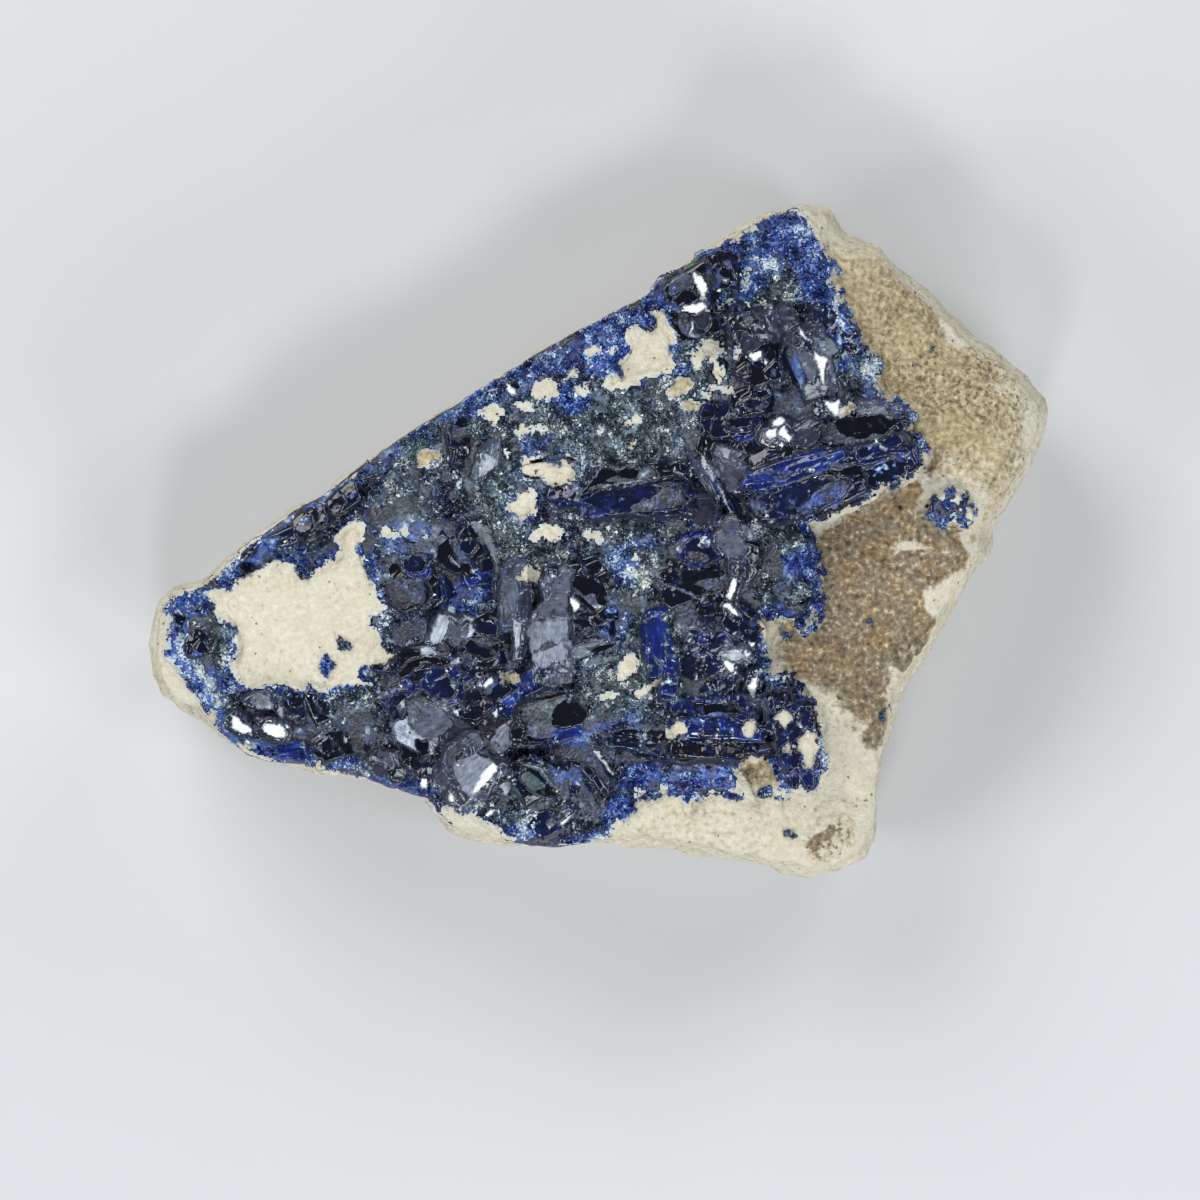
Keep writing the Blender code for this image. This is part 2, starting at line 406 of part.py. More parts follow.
def crust_top(x, y):
    """Height of the crust without its crystals and without the patches in it."""
    edge = smooth_step(polygon_distance(CRUST_OUTLINE, x, y), 0.0, CRUST_EDGE_WIDTH)
    thickness = CRUST_EDGE_THICKNESS + (CRUST_THICKNESS - CRUST_EDGE_THICKNESS) * edge
    crack = 0.0
    for depth, line in CREVICES:
        crack = max(crack, depth * max(0.0, 1 - line_distance(line, x, y) / CREVICE_HALF_WIDTH))
    relief = lump_height(x, y) + layered(x, y, CRUST_GRAIN)
    return slab_face(x, y) + thickness + edge * relief - crack


def fall(x, y, slope):
    """How far a slope has fallen at a point: nothing before its start."""
    rise, (dx, dy), (start_x, start_y) = slope
    return rise * max(0.0, dx * (x - start_x) + dy * (y - start_y))


def slab_face(x, y):
    """Height of the rock's face, without the patches that stand up through the crust."""
    rim = polygon_distance(SLAB_OUTLINE, x, y)
    bevel = RIM_BEVEL_DEPTH * (1 - smooth_step(rim, 0.0, RIM_BEVEL_WIDTH)) ** 1.5
    upper_right = fall(x, y, UPPER_RIGHT_SLOPE)
    from_hollow = math.hypot((x - STAINED_HOLLOW_CENTRE[0]) / STAINED_HOLLOW_RADII[0],
                             (y - STAINED_HOLLOW_CENTRE[1]) / STAINED_HOLLOW_RADII[1])
    hollow = STAINED_HOLLOW_DEPTH * (1 - smooth_step(from_hollow, 0.55, 1.0))
    from_ridge = line_distance(PALE_RIDGE, x, y)
    ridge = PALE_RIDGE_HEIGHT * (1 - smooth_step(from_ridge, 0.3, PALE_RIDGE_HALF_WIDTH))
    height = SEAT_HEIGHT - bevel - upper_right - fall(x, y, LOWER_RIGHT_SLOPE) - hollow + ridge

    # Only the bare rock is rough, and the upper right fracture most of all.
    bare = 1 - smooth_step(polygon_distance(CRUST_OUTLINE, x, y), -1.5, 0.5)
    broken = smooth_step(upper_right, 0.0, 1.0)
    steps = LEDGE_HEIGHT * math.floor(layered(x, y, (LEDGE_PATTERN,)) + 0.5)
    return height + bare * ((0.45 + 0.55 * broken) * layered(x, y, BARE_ROCK_GRAIN) + broken * steps)


def patch_at(x, y):
    """The level of the patch of bare rock that holds this point, or None."""
    for level, outline in PATCHES:
        if polygon_distance(outline, x, y) > PATCH_WALL / 2:
            return level
    return None


def rock_top(x, y):
    level = patch_at(x, y)
    if level is None:
        return slab_face(x, y)
    return crust_top(x, y) + level


def crust_cut_top(x, y):
    """The crust's top, lowered inside the patches so that the rock stands above it there."""
    lowered = PATCH_RECESS if patch_at(x, y) is not None else 0.0
    return crust_top(x, y) - lowered


def fill_points(outline, spacing, clearance, seed):
    """Scattered points inside an outline, on a grid that noise has loosened."""
    xs = [x for x, _ in outline]
    ys = [y for _, y in outline]
    points = []
    row = 0
    y = min(ys)
    while y < max(ys):
        x = min(xs) + (spacing / 2 if row % 2 else 0)
        while x < max(xs):
            px = x + 0.55 * spacing * grain(x, y, 0, 0.77 * spacing, seed)
            py = y + 0.55 * spacing * grain(x, y, 9, 0.77 * spacing, seed)
            if polygon_distance(outline, px, py) > clearance:
                points.append((px, py))
            x += spacing
        y += spacing * 0.87
        row += 1
    return points


def under_crystal(x, y):
    """Whether a crystal hides this point of the crust."""
    for cx, cy, length, width, _, heading, *_ in CRYSTALS:
        turn = math.radians(heading)
        along = (x - cx) * math.cos(turn) + (y - cy) * math.sin(turn)
        across = (y - cy) * math.cos(turn) - (x - cx) * math.sin(turn)
        if abs(along) < HIDDEN_SHARE * length and abs(across) < HIDDEN_SHARE * width:
            return True
    return False


def triangulated(outline, rings, spacing, seed, left_out=None):
    """A flat triangle net inside an outline, with edges kept along the rings."""
    points = [Vector(p) for p in outline]
    edges = [(i, (i + 1) % len(outline)) for i in range(len(outline))]
    for loop in rings:
        start = len(points)
        points += [Vector(p) for p in loop]
        edges += [(start + i, start + (i + 1) % len(loop)) for i in range(len(loop))]
    kept_clear = spacing * 0.4
    for p in fill_points(outline, spacing, kept_clear, seed):
        clear_of_rings = all(abs(polygon_distance(loop, *p)) > kept_clear for loop in rings)
        if clear_of_rings and not (left_out and left_out(*p)):
            points.append(Vector(p))
    only_inside = 1
    net_points, _, net_faces, *_ = delaunay_2d_cdt(points, edges, [], only_inside, 1e-5)
    return net_points, net_faces


def patch_rings():
    """The foot and the brow of each patch's wall."""
    rings = []
    for _, outline in PATCHES:
        rings.append(list(outline))
        rings.append(inset(outline, PATCH_WALL))
    return rings


def sheet_mesh(net, top):
    """A bmesh of a triangle net with each point raised to its height, in millimetres."""
    points, faces = net
    mesh = bmesh.new()
    vertices = [mesh.verts.new((p.x, p.y, top(p.x, p.y))) for p in points]
    for face in faces:
        mesh.faces.new([vertices[i] for i in face])
    bmesh.ops.recalc_face_normals(mesh, faces=mesh.faces)
    if sum(face.normal.z for face in mesh.faces) < 0:
        bmesh.ops.reverse_faces(mesh, faces=mesh.faces)
    return mesh


def object_from(mesh, name, collection, material):
    """Finishes a bmesh that is in millimetres as an object in metres."""
    bmesh.ops.scale(mesh, vec=(MM, MM, MM), verts=mesh.verts)
    data = bpy.data.meshes.new(name)
    mesh.to_mesh(data)
    mesh.free()
    data.materials.append(material)
    obj = bpy.data.objects.new(name, data)
    collection.objects.link(obj)
    return obj


def toward_middle(x, y, distance):
    """A point moved towards the slab's middle line, so that no two paths cross."""
    (ax, ay), (bx, by) = MIDDLE_LINE
    dx, dy = bx - ax, by - ay
    t = min(1.0, max(0.0, ((x - ax) * dx + (y - ay) * dy) / (dx * dx + dy * dy)))
    step = Vector((ax + t * dx - x, ay + t * dy - y)).normalized() * distance
    return x + step.x, y + step.y


def wall_point(x, y, share, rim_height):
    """A point of the slab's wall below one point of its outline."""
    widest = WIDEST_SHARE + WIDEST_VARIATION * grain(x, y, 0, 9.0, 13)
    z = share * rim_height
    away = max(0.0, abs(share - widest) - WIDEST_BAND)
    if share < widest:
        distance = FOOT_INSET * (away / widest) ** 1.5
    else:
        distance = RIM_INSET * (away / (1 - widest)) ** 2
    rough = WALL_ROUGHNESS * smooth_step(away, 0.0, 0.2)
    distance += rough * (1 + grain(x, y, z, 4.5, 14) + 0.7 * grain(x, y, z, 2.0, 15))
    # The wave dies away at the flat back and at the rim.
    lifted = WALL_WAVE * grain(x, y, z, 6.0, 16) * 4 * share * (1 - share)
    return (*toward_middle(x, y, distance), z + lifted)


def rock_mesh():
    """The slab: its relief on top, walls of broken rock round it and a flat back to rest on."""
    outline = resample(SLAB_OUTLINE, EDGE_SPACING)
    rim = [toward_middle(x, y, RIM_INSET + 0.3 * grain(x, y, 0, 4.0, 11)) for x, y in outline]
    mesh = sheet_mesh(triangulated(rim, patch_rings(), ROCK_SPACING, 12), rock_top)
    mesh.verts.ensure_lookup_table()
    loop = mesh.verts[:len(rim)]
    heights = [vertex.co.z for vertex in loop]
    for share in WALL_SHARES:
        ring = [mesh.verts.new(wall_point(x, y, share, height)) for (x, y), height in zip(outline, heights)]
        for i in range(len(ring)):
            j = (i + 1) % len(ring)
            mesh.faces.new((loop[i], ring[i], ring[j]))
            mesh.faces.new((loop[i], ring[j], loop[j]))
        loop = ring
    mesh.faces.new(loop)
    bmesh.ops.recalc_face_normals(mesh, faces=mesh.faces)
    return mesh


def root_height(x, y):
    """The uneven lower limit of the azurite, which shows only where it hangs over the slab's rim."""
    return slab_face(x, y) - CRUST_ROOT - ROOT_VARIATION * grain(x, y, 0, 3.0, 17)


def skin_mesh(net, top):
    """A triangle net raised to its heights, and closed below at its root."""
    mesh = sheet_mesh(net, top)
    walls = bmesh.ops.extrude_face_region(mesh, geom=mesh.faces[:])
    # The extrusion leaves the first faces behind as the root.
    copied = {v for v in walls["geom"] if isinstance(v, bmesh.types.BMVert)}
    for vertex in mesh.verts:
        if vertex not in copied:
            vertex.co.z = root_height(vertex.co.x, vertex.co.y)
    bmesh.ops.recalc_face_normals(mesh, faces=mesh.faces)
    return mesh


def crystal_mesh(length, width, height, form):
    """One crystal, centred: a box with the corners cut off along the form's faces."""
    mesh = bmesh.new()
    bmesh.ops.create_cube(mesh, size=1.0)
    bmesh.ops.scale(mesh, vec=(length, width, height), verts=mesh.verts)
    for direction, share in form:
        normal = Vector(direction)
        reach = sum(abs(n) * side / 2 for n, side in zip(normal, (length, width, height)))
        geometry = mesh.verts[:] + mesh.edges[:] + mesh.faces[:]
        cut = bmesh.ops.bisect_plane(mesh, geom=geometry, plane_co=normal * reach * share, plane_no=normal,
                                     clear_outer=True)
        edges = [e for e in cut["geom_cut"] if isinstance(e, bmesh.types.BMEdge)]
        bmesh.ops.edgenet_fill(mesh, edges=edges)
    bmesh.ops.recalc_face_normals(mesh, faces=mesh.faces)
    return mesh


def place_crystals(table, collection, material, surface):
    """Sets each crystal of a table into the surface, turned and leaning as the table says."""
    for number, row in enumerate(table):
        x, y, length, width, height, heading, tilt, toward, rise, form = row
        mesh = crystal_mesh(CRYSTAL_SPREAD * length, CRYSTAL_SPREAD * width, height, form)
        facing = math.radians(toward)
        axis = Vector((-math.sin(facing), math.cos(facing), 0))
        turn = Matrix.Rotation(math.radians(tilt), 4, axis) @ Matrix.Rotation(math.radians(heading), 4, "Z")
        centre = Vector((x, y, surface(x, y) + CRYSTAL_RISE * rise - height / 2))
        bmesh.ops.transform(mesh, matrix=Matrix.Translation(centre) @ turn, verts=mesh.verts)
        object_from(mesh, f"crystal_{number}", collection, material)


def inflated_copy(rock, collection):
    """The rock moved outwards by the gap, to cut the azurite that sits on it."""
    cutter = rock.copy()
    cutter.data = rock.data.copy()
    collection.objects.link(cutter)
    cutter.hide_render = True
    normals = [vertex.normal.copy() for vertex in cutter.data.vertices]
    for vertex, normal in zip(cutter.data.vertices, normals):
        vertex.co += normal * GAP * MM
    return cutter


def boolean(obj, operation, operand):
    modifier = obj.modifiers.new(operation.lower(), "BOOLEAN")
    modifier.operation = operation
    modifier.solver = "EXACT"
    if isinstance(operand, bpy.types.Collection):
        modifier.operand_type = "COLLECTION"
        modifier.collection = operand
    else:
        modifier.object = operand


def largest_body(mesh):
    """Deletes all but the largest connected piece of a bmesh."""
    left = set(mesh.verts)
    pieces = []
    while left:
        reached = [left.pop()]
        for vertex in reached:
            for edge in vertex.link_edges:
                other = edge.other_vert(vertex)
                if other in left:
                    left.remove(other)
                    reached.append(other)
        pieces.append(reached)
    pieces.sort(key=len)
    print("pieces left by the cuts:", [len(piece) for piece in pieces])
    for piece in pieces[:-1]:
        bmesh.ops.delete(mesh, geom=piece, context="VERTS")


def grown_solid(name, skin, crystals, cutter):
    """Joins the crystals to their skin, cuts the rock's seat out of it and keeps it as one plain mesh."""
    boolean(skin, "UNION", crystals)
    boolean(skin, "DIFFERENCE", cutter)
    evaluated = skin.evaluated_get(bpy.context.evaluated_depsgraph_get())
    mesh = bmesh.new()
    mesh.from_mesh(evaluated.to_mesh())
    largest_body(mesh)
    bmesh.ops.dissolve_degenerate(mesh, dist=WELD * MM, edges=mesh.edges)
    bmesh.ops.dissolve_limit(mesh, angle_limit=FLAT_ANGLE, verts=mesh.verts, edges=mesh.edges)
    bmesh.ops.triangulate(mesh, faces=mesh.faces)
    material = skin.data.materials[0]
    skin.modifiers.clear()
    mesh.to_mesh(skin.data)
    mesh.free()
    skin.data.materials.clear()
    skin.data.materials.append(material)
    skin.name = name


def islet_top(x, y):
    """Height of the small separate cluster without its crystals."""
    edge = smooth_step(polygon_distance(ISLET_OUTLINE, x, y), 0.0, ISLET_EDGE_WIDTH)
    relief = ISLET_THICKNESS + layered(x, y, ISLET_GRAIN)
    return slab_face(x, y) + GAP + ISLET_EDGE_THICKNESS + edge * relief


def main():
    clear_scene()
    finished = new_collection("finished")
    tools = new_collection("tools")
    crystals = new_collection("crystals")
    islet_crystals = new_collection("islet crystals")
    sandstone = principled("sandstone", SANDSTONE_COLOUR, 0.95)
    azurite = principled("azurite", AZURITE_COLOUR, 0.2)

    rock = object_from(rock_mesh(), "matrix_rock", finished, sandstone)
    cutter = inflated_copy(rock, tools)

    crust_net = triangulated(resample(CRUST_OUTLINE, CRUST_SPACING), patch_rings(), CRUST_SPACING, 21,
                             under_crystal)
    crust = object_from(skin_mesh(crust_net, crust_cut_top), "crust", finished, azurite)
    place_crystals(CRYSTALS, crystals, azurite, crust_top)
    grown_solid("azurite_crust", crust, crystals, cutter)

    islet_net = triangulated(resample(ISLET_OUTLINE, ISLET_SPACING), [], ISLET_SPACING, 22)
    islet = object_from(skin_mesh(islet_net, islet_top), "islet", finished, azurite)
    place_crystals(ISLET_CRYSTALS, islet_crystals, azurite, islet_top)
    grown_solid("azurite_islet", islet, islet_crystals, cutter)

    for collection in (tools, crystals, islet_crystals):
        for obj in list(collection.objects):
            bpy.data.objects.remove(obj, do_unlink=True)
    for obj in finished.objects:
        print(obj.name, "faces:", len(obj.data.polygons))


main()
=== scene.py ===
# %% [markdown]
# # An azurite specimen on sandstone
#
# A collector's hand specimen: a broken slab of pale sandstone, and on its face a crust of azurite, a deep
# blue copper mineral. The CAD solids give the true sizes. This script keeps to them and adds what is too
# small for CAD: the grain of the rock, the sharp glassy crystals and the sugar of tiny ones between them.

# %% Load the solids
import math

import bmesh
import bpy
import numpy as np
from mathutils import Matrix, Vector
from mathutils.bvhtree import BVHTree


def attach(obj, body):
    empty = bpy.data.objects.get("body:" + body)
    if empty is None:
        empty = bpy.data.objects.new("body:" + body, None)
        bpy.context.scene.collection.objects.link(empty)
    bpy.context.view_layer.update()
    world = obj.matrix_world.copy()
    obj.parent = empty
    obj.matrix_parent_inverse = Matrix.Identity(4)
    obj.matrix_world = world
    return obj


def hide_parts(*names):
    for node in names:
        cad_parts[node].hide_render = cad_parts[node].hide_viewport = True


MM = 0.001
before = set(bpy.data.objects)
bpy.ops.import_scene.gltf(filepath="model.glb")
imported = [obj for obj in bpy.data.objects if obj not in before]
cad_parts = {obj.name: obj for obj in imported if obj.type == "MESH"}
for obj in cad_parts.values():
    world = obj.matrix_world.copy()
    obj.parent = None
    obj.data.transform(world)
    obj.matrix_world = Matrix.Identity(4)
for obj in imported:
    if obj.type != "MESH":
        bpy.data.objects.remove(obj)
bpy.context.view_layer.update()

# %% [markdown]
# The specimen lies on its flat back and the camera looks straight down on the crystals. A long lens far
# away keeps the outline true. The frame takes in 120 mm across at the height of the outline.

# %% Camera
VIEW_WIDTH = 120 * MM
VIEW_CENTRE = Vector((0, -5.9 * MM))
CAMERA_HEIGHT = 2.0
OUTLINE_HEIGHT = 14 * MM

camera_data = bpy.data.cameras.new("camera")
camera_data.sensor_fit = "HORIZONTAL"
camera_data.lens = camera_data.sensor_width * (CAMERA_HEIGHT - OUTLINE_HEIGHT) / VIEW_WIDTH
camera = bpy.data.objects.new("camera", camera_data)
camera.location = (VIEW_CENTRE.x, VIEW_CENTRE.y, CAMERA_HEIGHT)
bpy.context.scene.collection.objects.link(camera)
bpy.context.scene.camera = camera
print("lens", round(camera_data.lens), "mm")

# %% [markdown]
# Flat crystal faces are mirrors: each shows black until it points at a lamp. So a few lamps hang at known
# angles, and crystals that flash in the light lean towards one of them by half its angle. Their colour is
# painted pale as well, a painted highlight.

# %% Lamps
bpy.context.scene.view_settings.view_transform = "Standard"


def softbox(name, heading, off_vertical, size, power, colour=(1, 1, 1), distance=0.6):
    """A square lamp at a compass heading and an angle off the vertical, pointed at the specimen."""
    turn, lean = math.radians(heading), math.radians(off_vertical)
    direction = Vector((math.sin(lean) * math.cos(turn), math.sin(lean) * math.sin(turn), math.cos(lean)))
    data = bpy.data.lights.new(name, "AREA")
    data.shape = "SQUARE"
    data.size = size
    data.energy = power
    data.color = colour
    lamp = bpy.data.objects.new(name, data)
    lamp.location = direction * distance + Vector((0, 0, 0.02))
    lamp.rotation_euler = direction.to_track_quat("Z", "Y").to_euler()
    bpy.context.scene.collection.objects.link(lamp)


softbox("key", heading=125, off_vertical=50, size=0.36, power=2.35, colour=(0.98, 0.98, 0.97))
softbox("flash", heading=262, off_vertical=40, size=0.10, power=0.8)
softbox("side", heading=335, off_vertical=34, size=0.16, power=0.75, colour=(0.86, 0.95, 1.0))
softbox("fill", heading=50, off_vertical=62, size=0.28, power=1.0, colour=(0.90, 0.97, 1.0))
softbox("low", heading=300, off_vertical=64, size=0.28, power=1.7, colour=(0.96, 0.98, 1.0))
softbox("back", heading=205, off_vertical=56, size=0.24, power=1.30, colour=(0.85, 0.95, 1.0))

world = bpy.data.worlds.new("room")
world.use_nodes = True
world.node_tree.nodes["Background"].inputs["Color"].default_value = (0.60, 0.62, 0.66, 1)
world.node_tree.nodes["Background"].inputs["Strength"].default_value = 0.15
bpy.context.scene.world = world
print("lamps:", len(bpy.data.lights))

# %% [markdown]
# Materials are trees of shader nodes. These helpers keep the trees short: one adds a node and plugs in its
# inputs, another turns a number into a colour through a ramp.

# %% Helpers for shader trees


class Shader:
    """A material's node tree, with a Principled BSDF at its end."""

    def __init__(self, name, **constants):
        self.material = bpy.data.materials.new(name)
        self.material.use_nodes = True
        self.tree = self.material.node_tree
        self.principled = self.tree.nodes["Principled BSDF"]
        for socket, value in constants.items():
            self.principled.inputs[socket.replace("_", " ")].default_value = value
        position = self.add("ShaderNodeTexCoord")
        mapping = self.add("ShaderNodeMapping", Vector=position.outputs["Object"])
        mapping.inputs["Scale"].default_value = (1 / MM, 1 / MM, 1 / MM)
        self.millimetres = mapping.outputs["Vector"]

    def add(self, kind, settings=None, **inputs):
        node = self.tree.nodes.new(kind)
        for key, value in (settings or {}).items():
            setattr(node, key, value)
        for socket, value in inputs.items():
            self.plug(node.inputs[socket.replace("_", " ")], value)
        return node

    def plug(self, socket, value):
        if isinstance(value, bpy.types.NodeSocket):
            self.tree.links.new(value, socket)
        else:
            socket.default_value = value

    def attribute(self, name):
        return self.add("ShaderNodeAttribute", {"attribute_name": name}).outputs["Fac"]

    def noise(self, scale, detail=3.0, vector=None):
        """Noise from 0 to 1 with features of about 1 / scale mm."""
        return self.add("ShaderNodeTexNoise", Vector=vector or self.millimetres, Scale=scale,
                        Detail=detail).outputs["Fac"]

    def cells(self, scale):
        """Rounded cells, scale of them to a mm."""
        return self.add("ShaderNodeTexVoronoi", Vector=self.millimetres, Scale=scale)

    def cell_shade(self, cells, channel=0):
        """A random number for each cell."""
        return self.add("ShaderNodeSeparateColor", Color=cells.outputs["Color"]).outputs[channel]

    def math(self, operation, a, b):
        node = self.add("ShaderNodeMath", {"operation": operation})
        self.plug(node.inputs[0], a)
        self.plug(node.inputs[1], b)
        return node.outputs[0]

    def plus(self, a, b):
        return self.math("ADD", a, b)

    def minus(self, a, b):
        return self.math("SUBTRACT", a, b)

    def times(self, a, b):
        return self.math("MULTIPLY", a, b)

    def ramp(self, value, stops):
        """A colour for a number: stops are (position, colour) pairs in order."""
        node = self.add("ShaderNodeValToRGB", Fac=value)
        band = node.color_ramp
        while len(band.elements) < len(stops):
            band.elements.new(1.0)
        for element, (position, colour) in zip(band.elements, stops):
            element.position = position
            element.color = (*colour, 1)
        return node.outputs["Color"]

    def mask(self, value, low, high):
        """A number from 0 at the low value to 1 at the high one."""
        node = self.add("ShaderNodeMapRange", Value=value)
        node.inputs["From Min"].default_value = low
        node.inputs["From Max"].default_value = high
        return node.outputs["Result"]

    def mix(self, factor, a, b, blend="MIX"):
        """Two colours mixed, each of them a socket or three numbers."""
        node = self.add("ShaderNodeMix", {"data_type": "RGBA", "blend_type": blend})
        self.plug(node.inputs["Factor"], factor)
        self.plug(node.inputs[6], a if isinstance(a, bpy.types.NodeSocket) else (*a, 1))
        self.plug(node.inputs[7], b if isinstance(b, bpy.types.NodeSocket) else (*b, 1))
        return node.outputs[2]

    def finish(self, colour, roughness, bump=None, distance=0.0, strength=1.0):
        """Plugs in the colour, the roughness and a bump of that many mm."""
        self.plug(self.principled.inputs["Base Color"], colour)
        self.plug(self.principled.inputs["Roughness"], roughness)
        if bump is not None:
            node = self.add("ShaderNodeBump", Height=bump, Strength=strength, Distance=distance * MM)
            self.plug(self.principled.inputs["Normal"], node.outputs["Normal"])
        return self.material


# %% [markdown]
# Sandstone is a mass of quartz grains, 0.3 to 0.4 mm across, in a paler cement. A Voronoi texture at that
# size gives each grain its own shade. The mesh carries more numbers: where iron has stained the
# rock brown, where it is tan, and how much painted shade darkens the pitted broken face and the sides. A
# fourth says where azurite has dyed it pale blue.

# %% Sandstone finish
GRAINS_PER_MM = 2.7
SPECKS_PER_MM = 1.7
SPECK_SHARE = 0.07  # of the places where a black grain could be


def sandstone_colours(s, grain_shade):
    """Cream, tan and brown sandstone, whose grains differ in shade."""
    cream = s.ramp(grain_shade, [(0.0, (0.48, 0.42, 0.31)), (0.25, (0.61, 0.56, 0.445)),
                                 (0.7, (0.68, 0.635, 0.515)), (1.0, (0.75, 0.715, 0.605))])
    tan = s.ramp(grain_shade, [(0.0, (0.11, 0.078, 0.038)), (0.30, (0.32, 0.25, 0.140)),
                               (0.65, (0.49, 0.40, 0.235)), (1.0, (0.72, 0.64, 0.46))])
    brown = s.ramp(grain_shade, [(0.0, (0.040, 0.030, 0.020)), (0.30, (0.16, 0.125, 0.085)),
                                 (0.66, (0.30, 0.24, 0.155)), (1.0, (0.66, 0.60, 0.46))])
    cream = s.mix(s.mask(s.noise(0.35, 4.0), 0.45, 0.75), cream, (0.96, 0.93, 0.86), "MULTIPLY")
    rusty = s.mix(1.0, brown, (1.10, 0.98, 0.80), "MULTIPLY")
    brown = s.mix(s.mask(s.noise(0.45, 5.0), 0.46, 0.62), brown, rusty)
    return cream, tan, brown


def with_painted_shade(s, colour):
    """Painted shade in patches on the pitted broken face, and sparse black grains."""
    painted_shade = s.times(s.mask(s.noise(2.2, 7.0), 0.51, 0.62), s.attribute("painted_shade"))
    colour = s.mix(s.times(painted_shade, 0.85), colour, (0.13, 0.105, 0.07))
    specks = s.cells(SPECKS_PER_MM)
    is_chosen = s.math("GREATER_THAN", s.cell_shade(specks, 1), 1 - SPECK_SHARE)
    is_close = s.math("LESS_THAN", specks.outputs["Distance"], s.times(s.noise(5.0, 2.0), 0.45))
    return s.mix(s.times(s.times(is_chosen, is_close), 0.75), colour, (0.09, 0.075, 0.055))


def sandstone_finish():
    s = Shader("sandstone", Specular_IOR_Level=0.25)
    grain = s.cells(GRAINS_PER_MM)
    cloudy = s.mask(s.noise(1.9, 8.0), 0.28, 0.72)
    grain_shade = s.plus(s.times(s.cell_shade(grain), 0.27), s.times(cloudy, 0.75))
    cream, tan, brown = sandstone_colours(s, grain_shade)
    uneven = s.minus(s.noise(1.6, 6.0), 0.5)
    tan_amount = s.mask(s.plus(s.attribute("tan"), s.times(uneven, 1.6)), 0.25, 0.85)
    stain_amount = s.mask(s.plus(s.attribute("stain"), s.times(uneven, 1.1)), 0.32, 0.70)
    colour = s.mix(stain_amount, s.mix(tan_amount, cream, tan), brown)
    halo = s.times(s.attribute("halo"), s.mask(s.noise(1.7, 6.0), 0.36, 0.60))
    colour = with_painted_shade(s, s.mix(halo, colour, (0.42, 0.57, 0.70)))
    height = s.plus(s.times(grain.outputs["Distance"], -0.5), s.noise(3.5, 5.0))
    return s.finish(colour, roughness=0.9, bump=height, distance=0.18, strength=0.9)


sandstone = sandstone_finish()
print("finish:", sandstone.name)

# %% [markdown]
# Azurite is glassy and so deeply coloured that a thick crystal looks black, a thin edge royal blue. Two
# finishes cover it: one for crystals large enough to show a face, one for the fine sugar of tiny crystals,
# whose shade changes from grain to grain. A face that should look lit gets a painted highlight: a number on
# the mesh paints it pale, grey to white.

# %% Azurite finishes
AZURITE_IOR = 1.73


def sugar_colour(s, tone):
    """Colour of the finest crystals, whose shade changes from one to the next and from clump to clump."""
    tone = s.plus(s.plus(s.times(tone, 0.60), 0.19), s.times(s.attribute("clump"), 0.30))
    dark = s.ramp(tone, [(0.0, (0.002, 0.003, 0.008)), (0.38, (0.005, 0.008, 0.018)),
                         (0.54, (0.010, 0.018, 0.05)), (0.66, (0.022, 0.048, 0.15)),
                         (0.75, (0.065, 0.10, 0.14)), (0.85, (0.20, 0.28, 0.30)), (0.98, (0.74, 0.80, 0.78))])
    grey = s.ramp(tone, [(0.0, (0.004, 0.007, 0.009)), (0.30, (0.013, 0.022, 0.030)),
                         (0.48, (0.045, 0.068, 0.080)), (0.62, (0.11, 0.15, 0.165)),
                         (0.70, (0.09, 0.16, 0.29)), (0.77, (0.27, 0.34, 0.34)),
                         (0.86, (0.60, 0.64, 0.58)), (0.96, (0.88, 0.88, 0.78))])
    blue = s.ramp(tone, [(0.0, (0.002, 0.004, 0.018)), (0.28, (0.005, 0.013, 0.085)),
                         (0.46, (0.012, 0.040, 0.27)), (0.62, (0.026, 0.095, 0.46)),
                         (0.74, (0.10, 0.24, 0.60)), (0.85, (0.32, 0.47, 0.68)), (0.97, (0.78, 0.85, 0.84))])
    colour = s.mix(s.attribute("grey"), dark, grey)
    colour = s.mix(s.attribute("blue"), colour, blue)
    return s.mix(s.attribute("green"), colour, (0.035, 0.12, 0.05))


def growth_lines(s, tone):
    """Streaks that run along each crystal."""
    along, across = s.times(s.attribute("along"), 0.6), s.times(s.attribute("across"), 4.6)
    lengthwise = s.add("ShaderNodeCombineXYZ", X=along, Y=across, Z=s.times(tone, 30.0))
    return s.noise(1.0, 5.0, lengthwise.outputs[0])


def glass_colour(s, tone, streaks):
    """Clear azurite, from black where it is deep to royal blue."""
    inner = s.plus(s.times(s.noise(0.9, 6.0), 0.75), s.times(streaks, 0.5))
    depth = s.mask(s.plus(inner, s.times(tone, 0.62)), 0.55, 1.55)
    return s.ramp(depth, [(0.0, (0.002, 0.003, 0.006)), (0.32, (0.002, 0.004, 0.012)),
                          (0.58, (0.004, 0.008, 0.044)), (0.78, (0.009, 0.021, 0.17)),
                          (1.0, (0.050, 0.12, 0.48))])


def painted_highlight_colour(s, tone, painted_highlight, streaks):
    """A painted highlight: a face that should catch the light is painted grey to white, darker and lighter
    along its growth lines.
    """
    pale = s.ramp(painted_highlight, [(0.15, (0.018, 0.021, 0.034)), (0.30, (0.040, 0.043, 0.066)),
                        (0.50, (0.110, 0.128, 0.16)), (0.62, (0.175, 0.20, 0.225)),
                        (0.75, (0.31, 0.355, 0.40)), (1.0, (0.74, 0.77, 0.77))])
    tint = s.mix(s.mask(tone, 0.32, 0.52), (1.00, 0.98, 1.07), (0.97, 1.03, 0.96))
    lines = s.ramp(s.plus(s.times(streaks, 0.5), s.times(s.noise(1.6, 8.0), 0.5)),
                   [(0.36, (0.45, 0.46, 0.52)), (0.46, (0.85, 0.85, 0.87)), (0.54, (1.05, 1.05, 1.05)),
                    (0.64, (1.5, 1.5, 1.45))])
    return s.mix(1.0, s.mix(1.0, pale, tint, "MULTIPLY"), lines, "MULTIPLY")


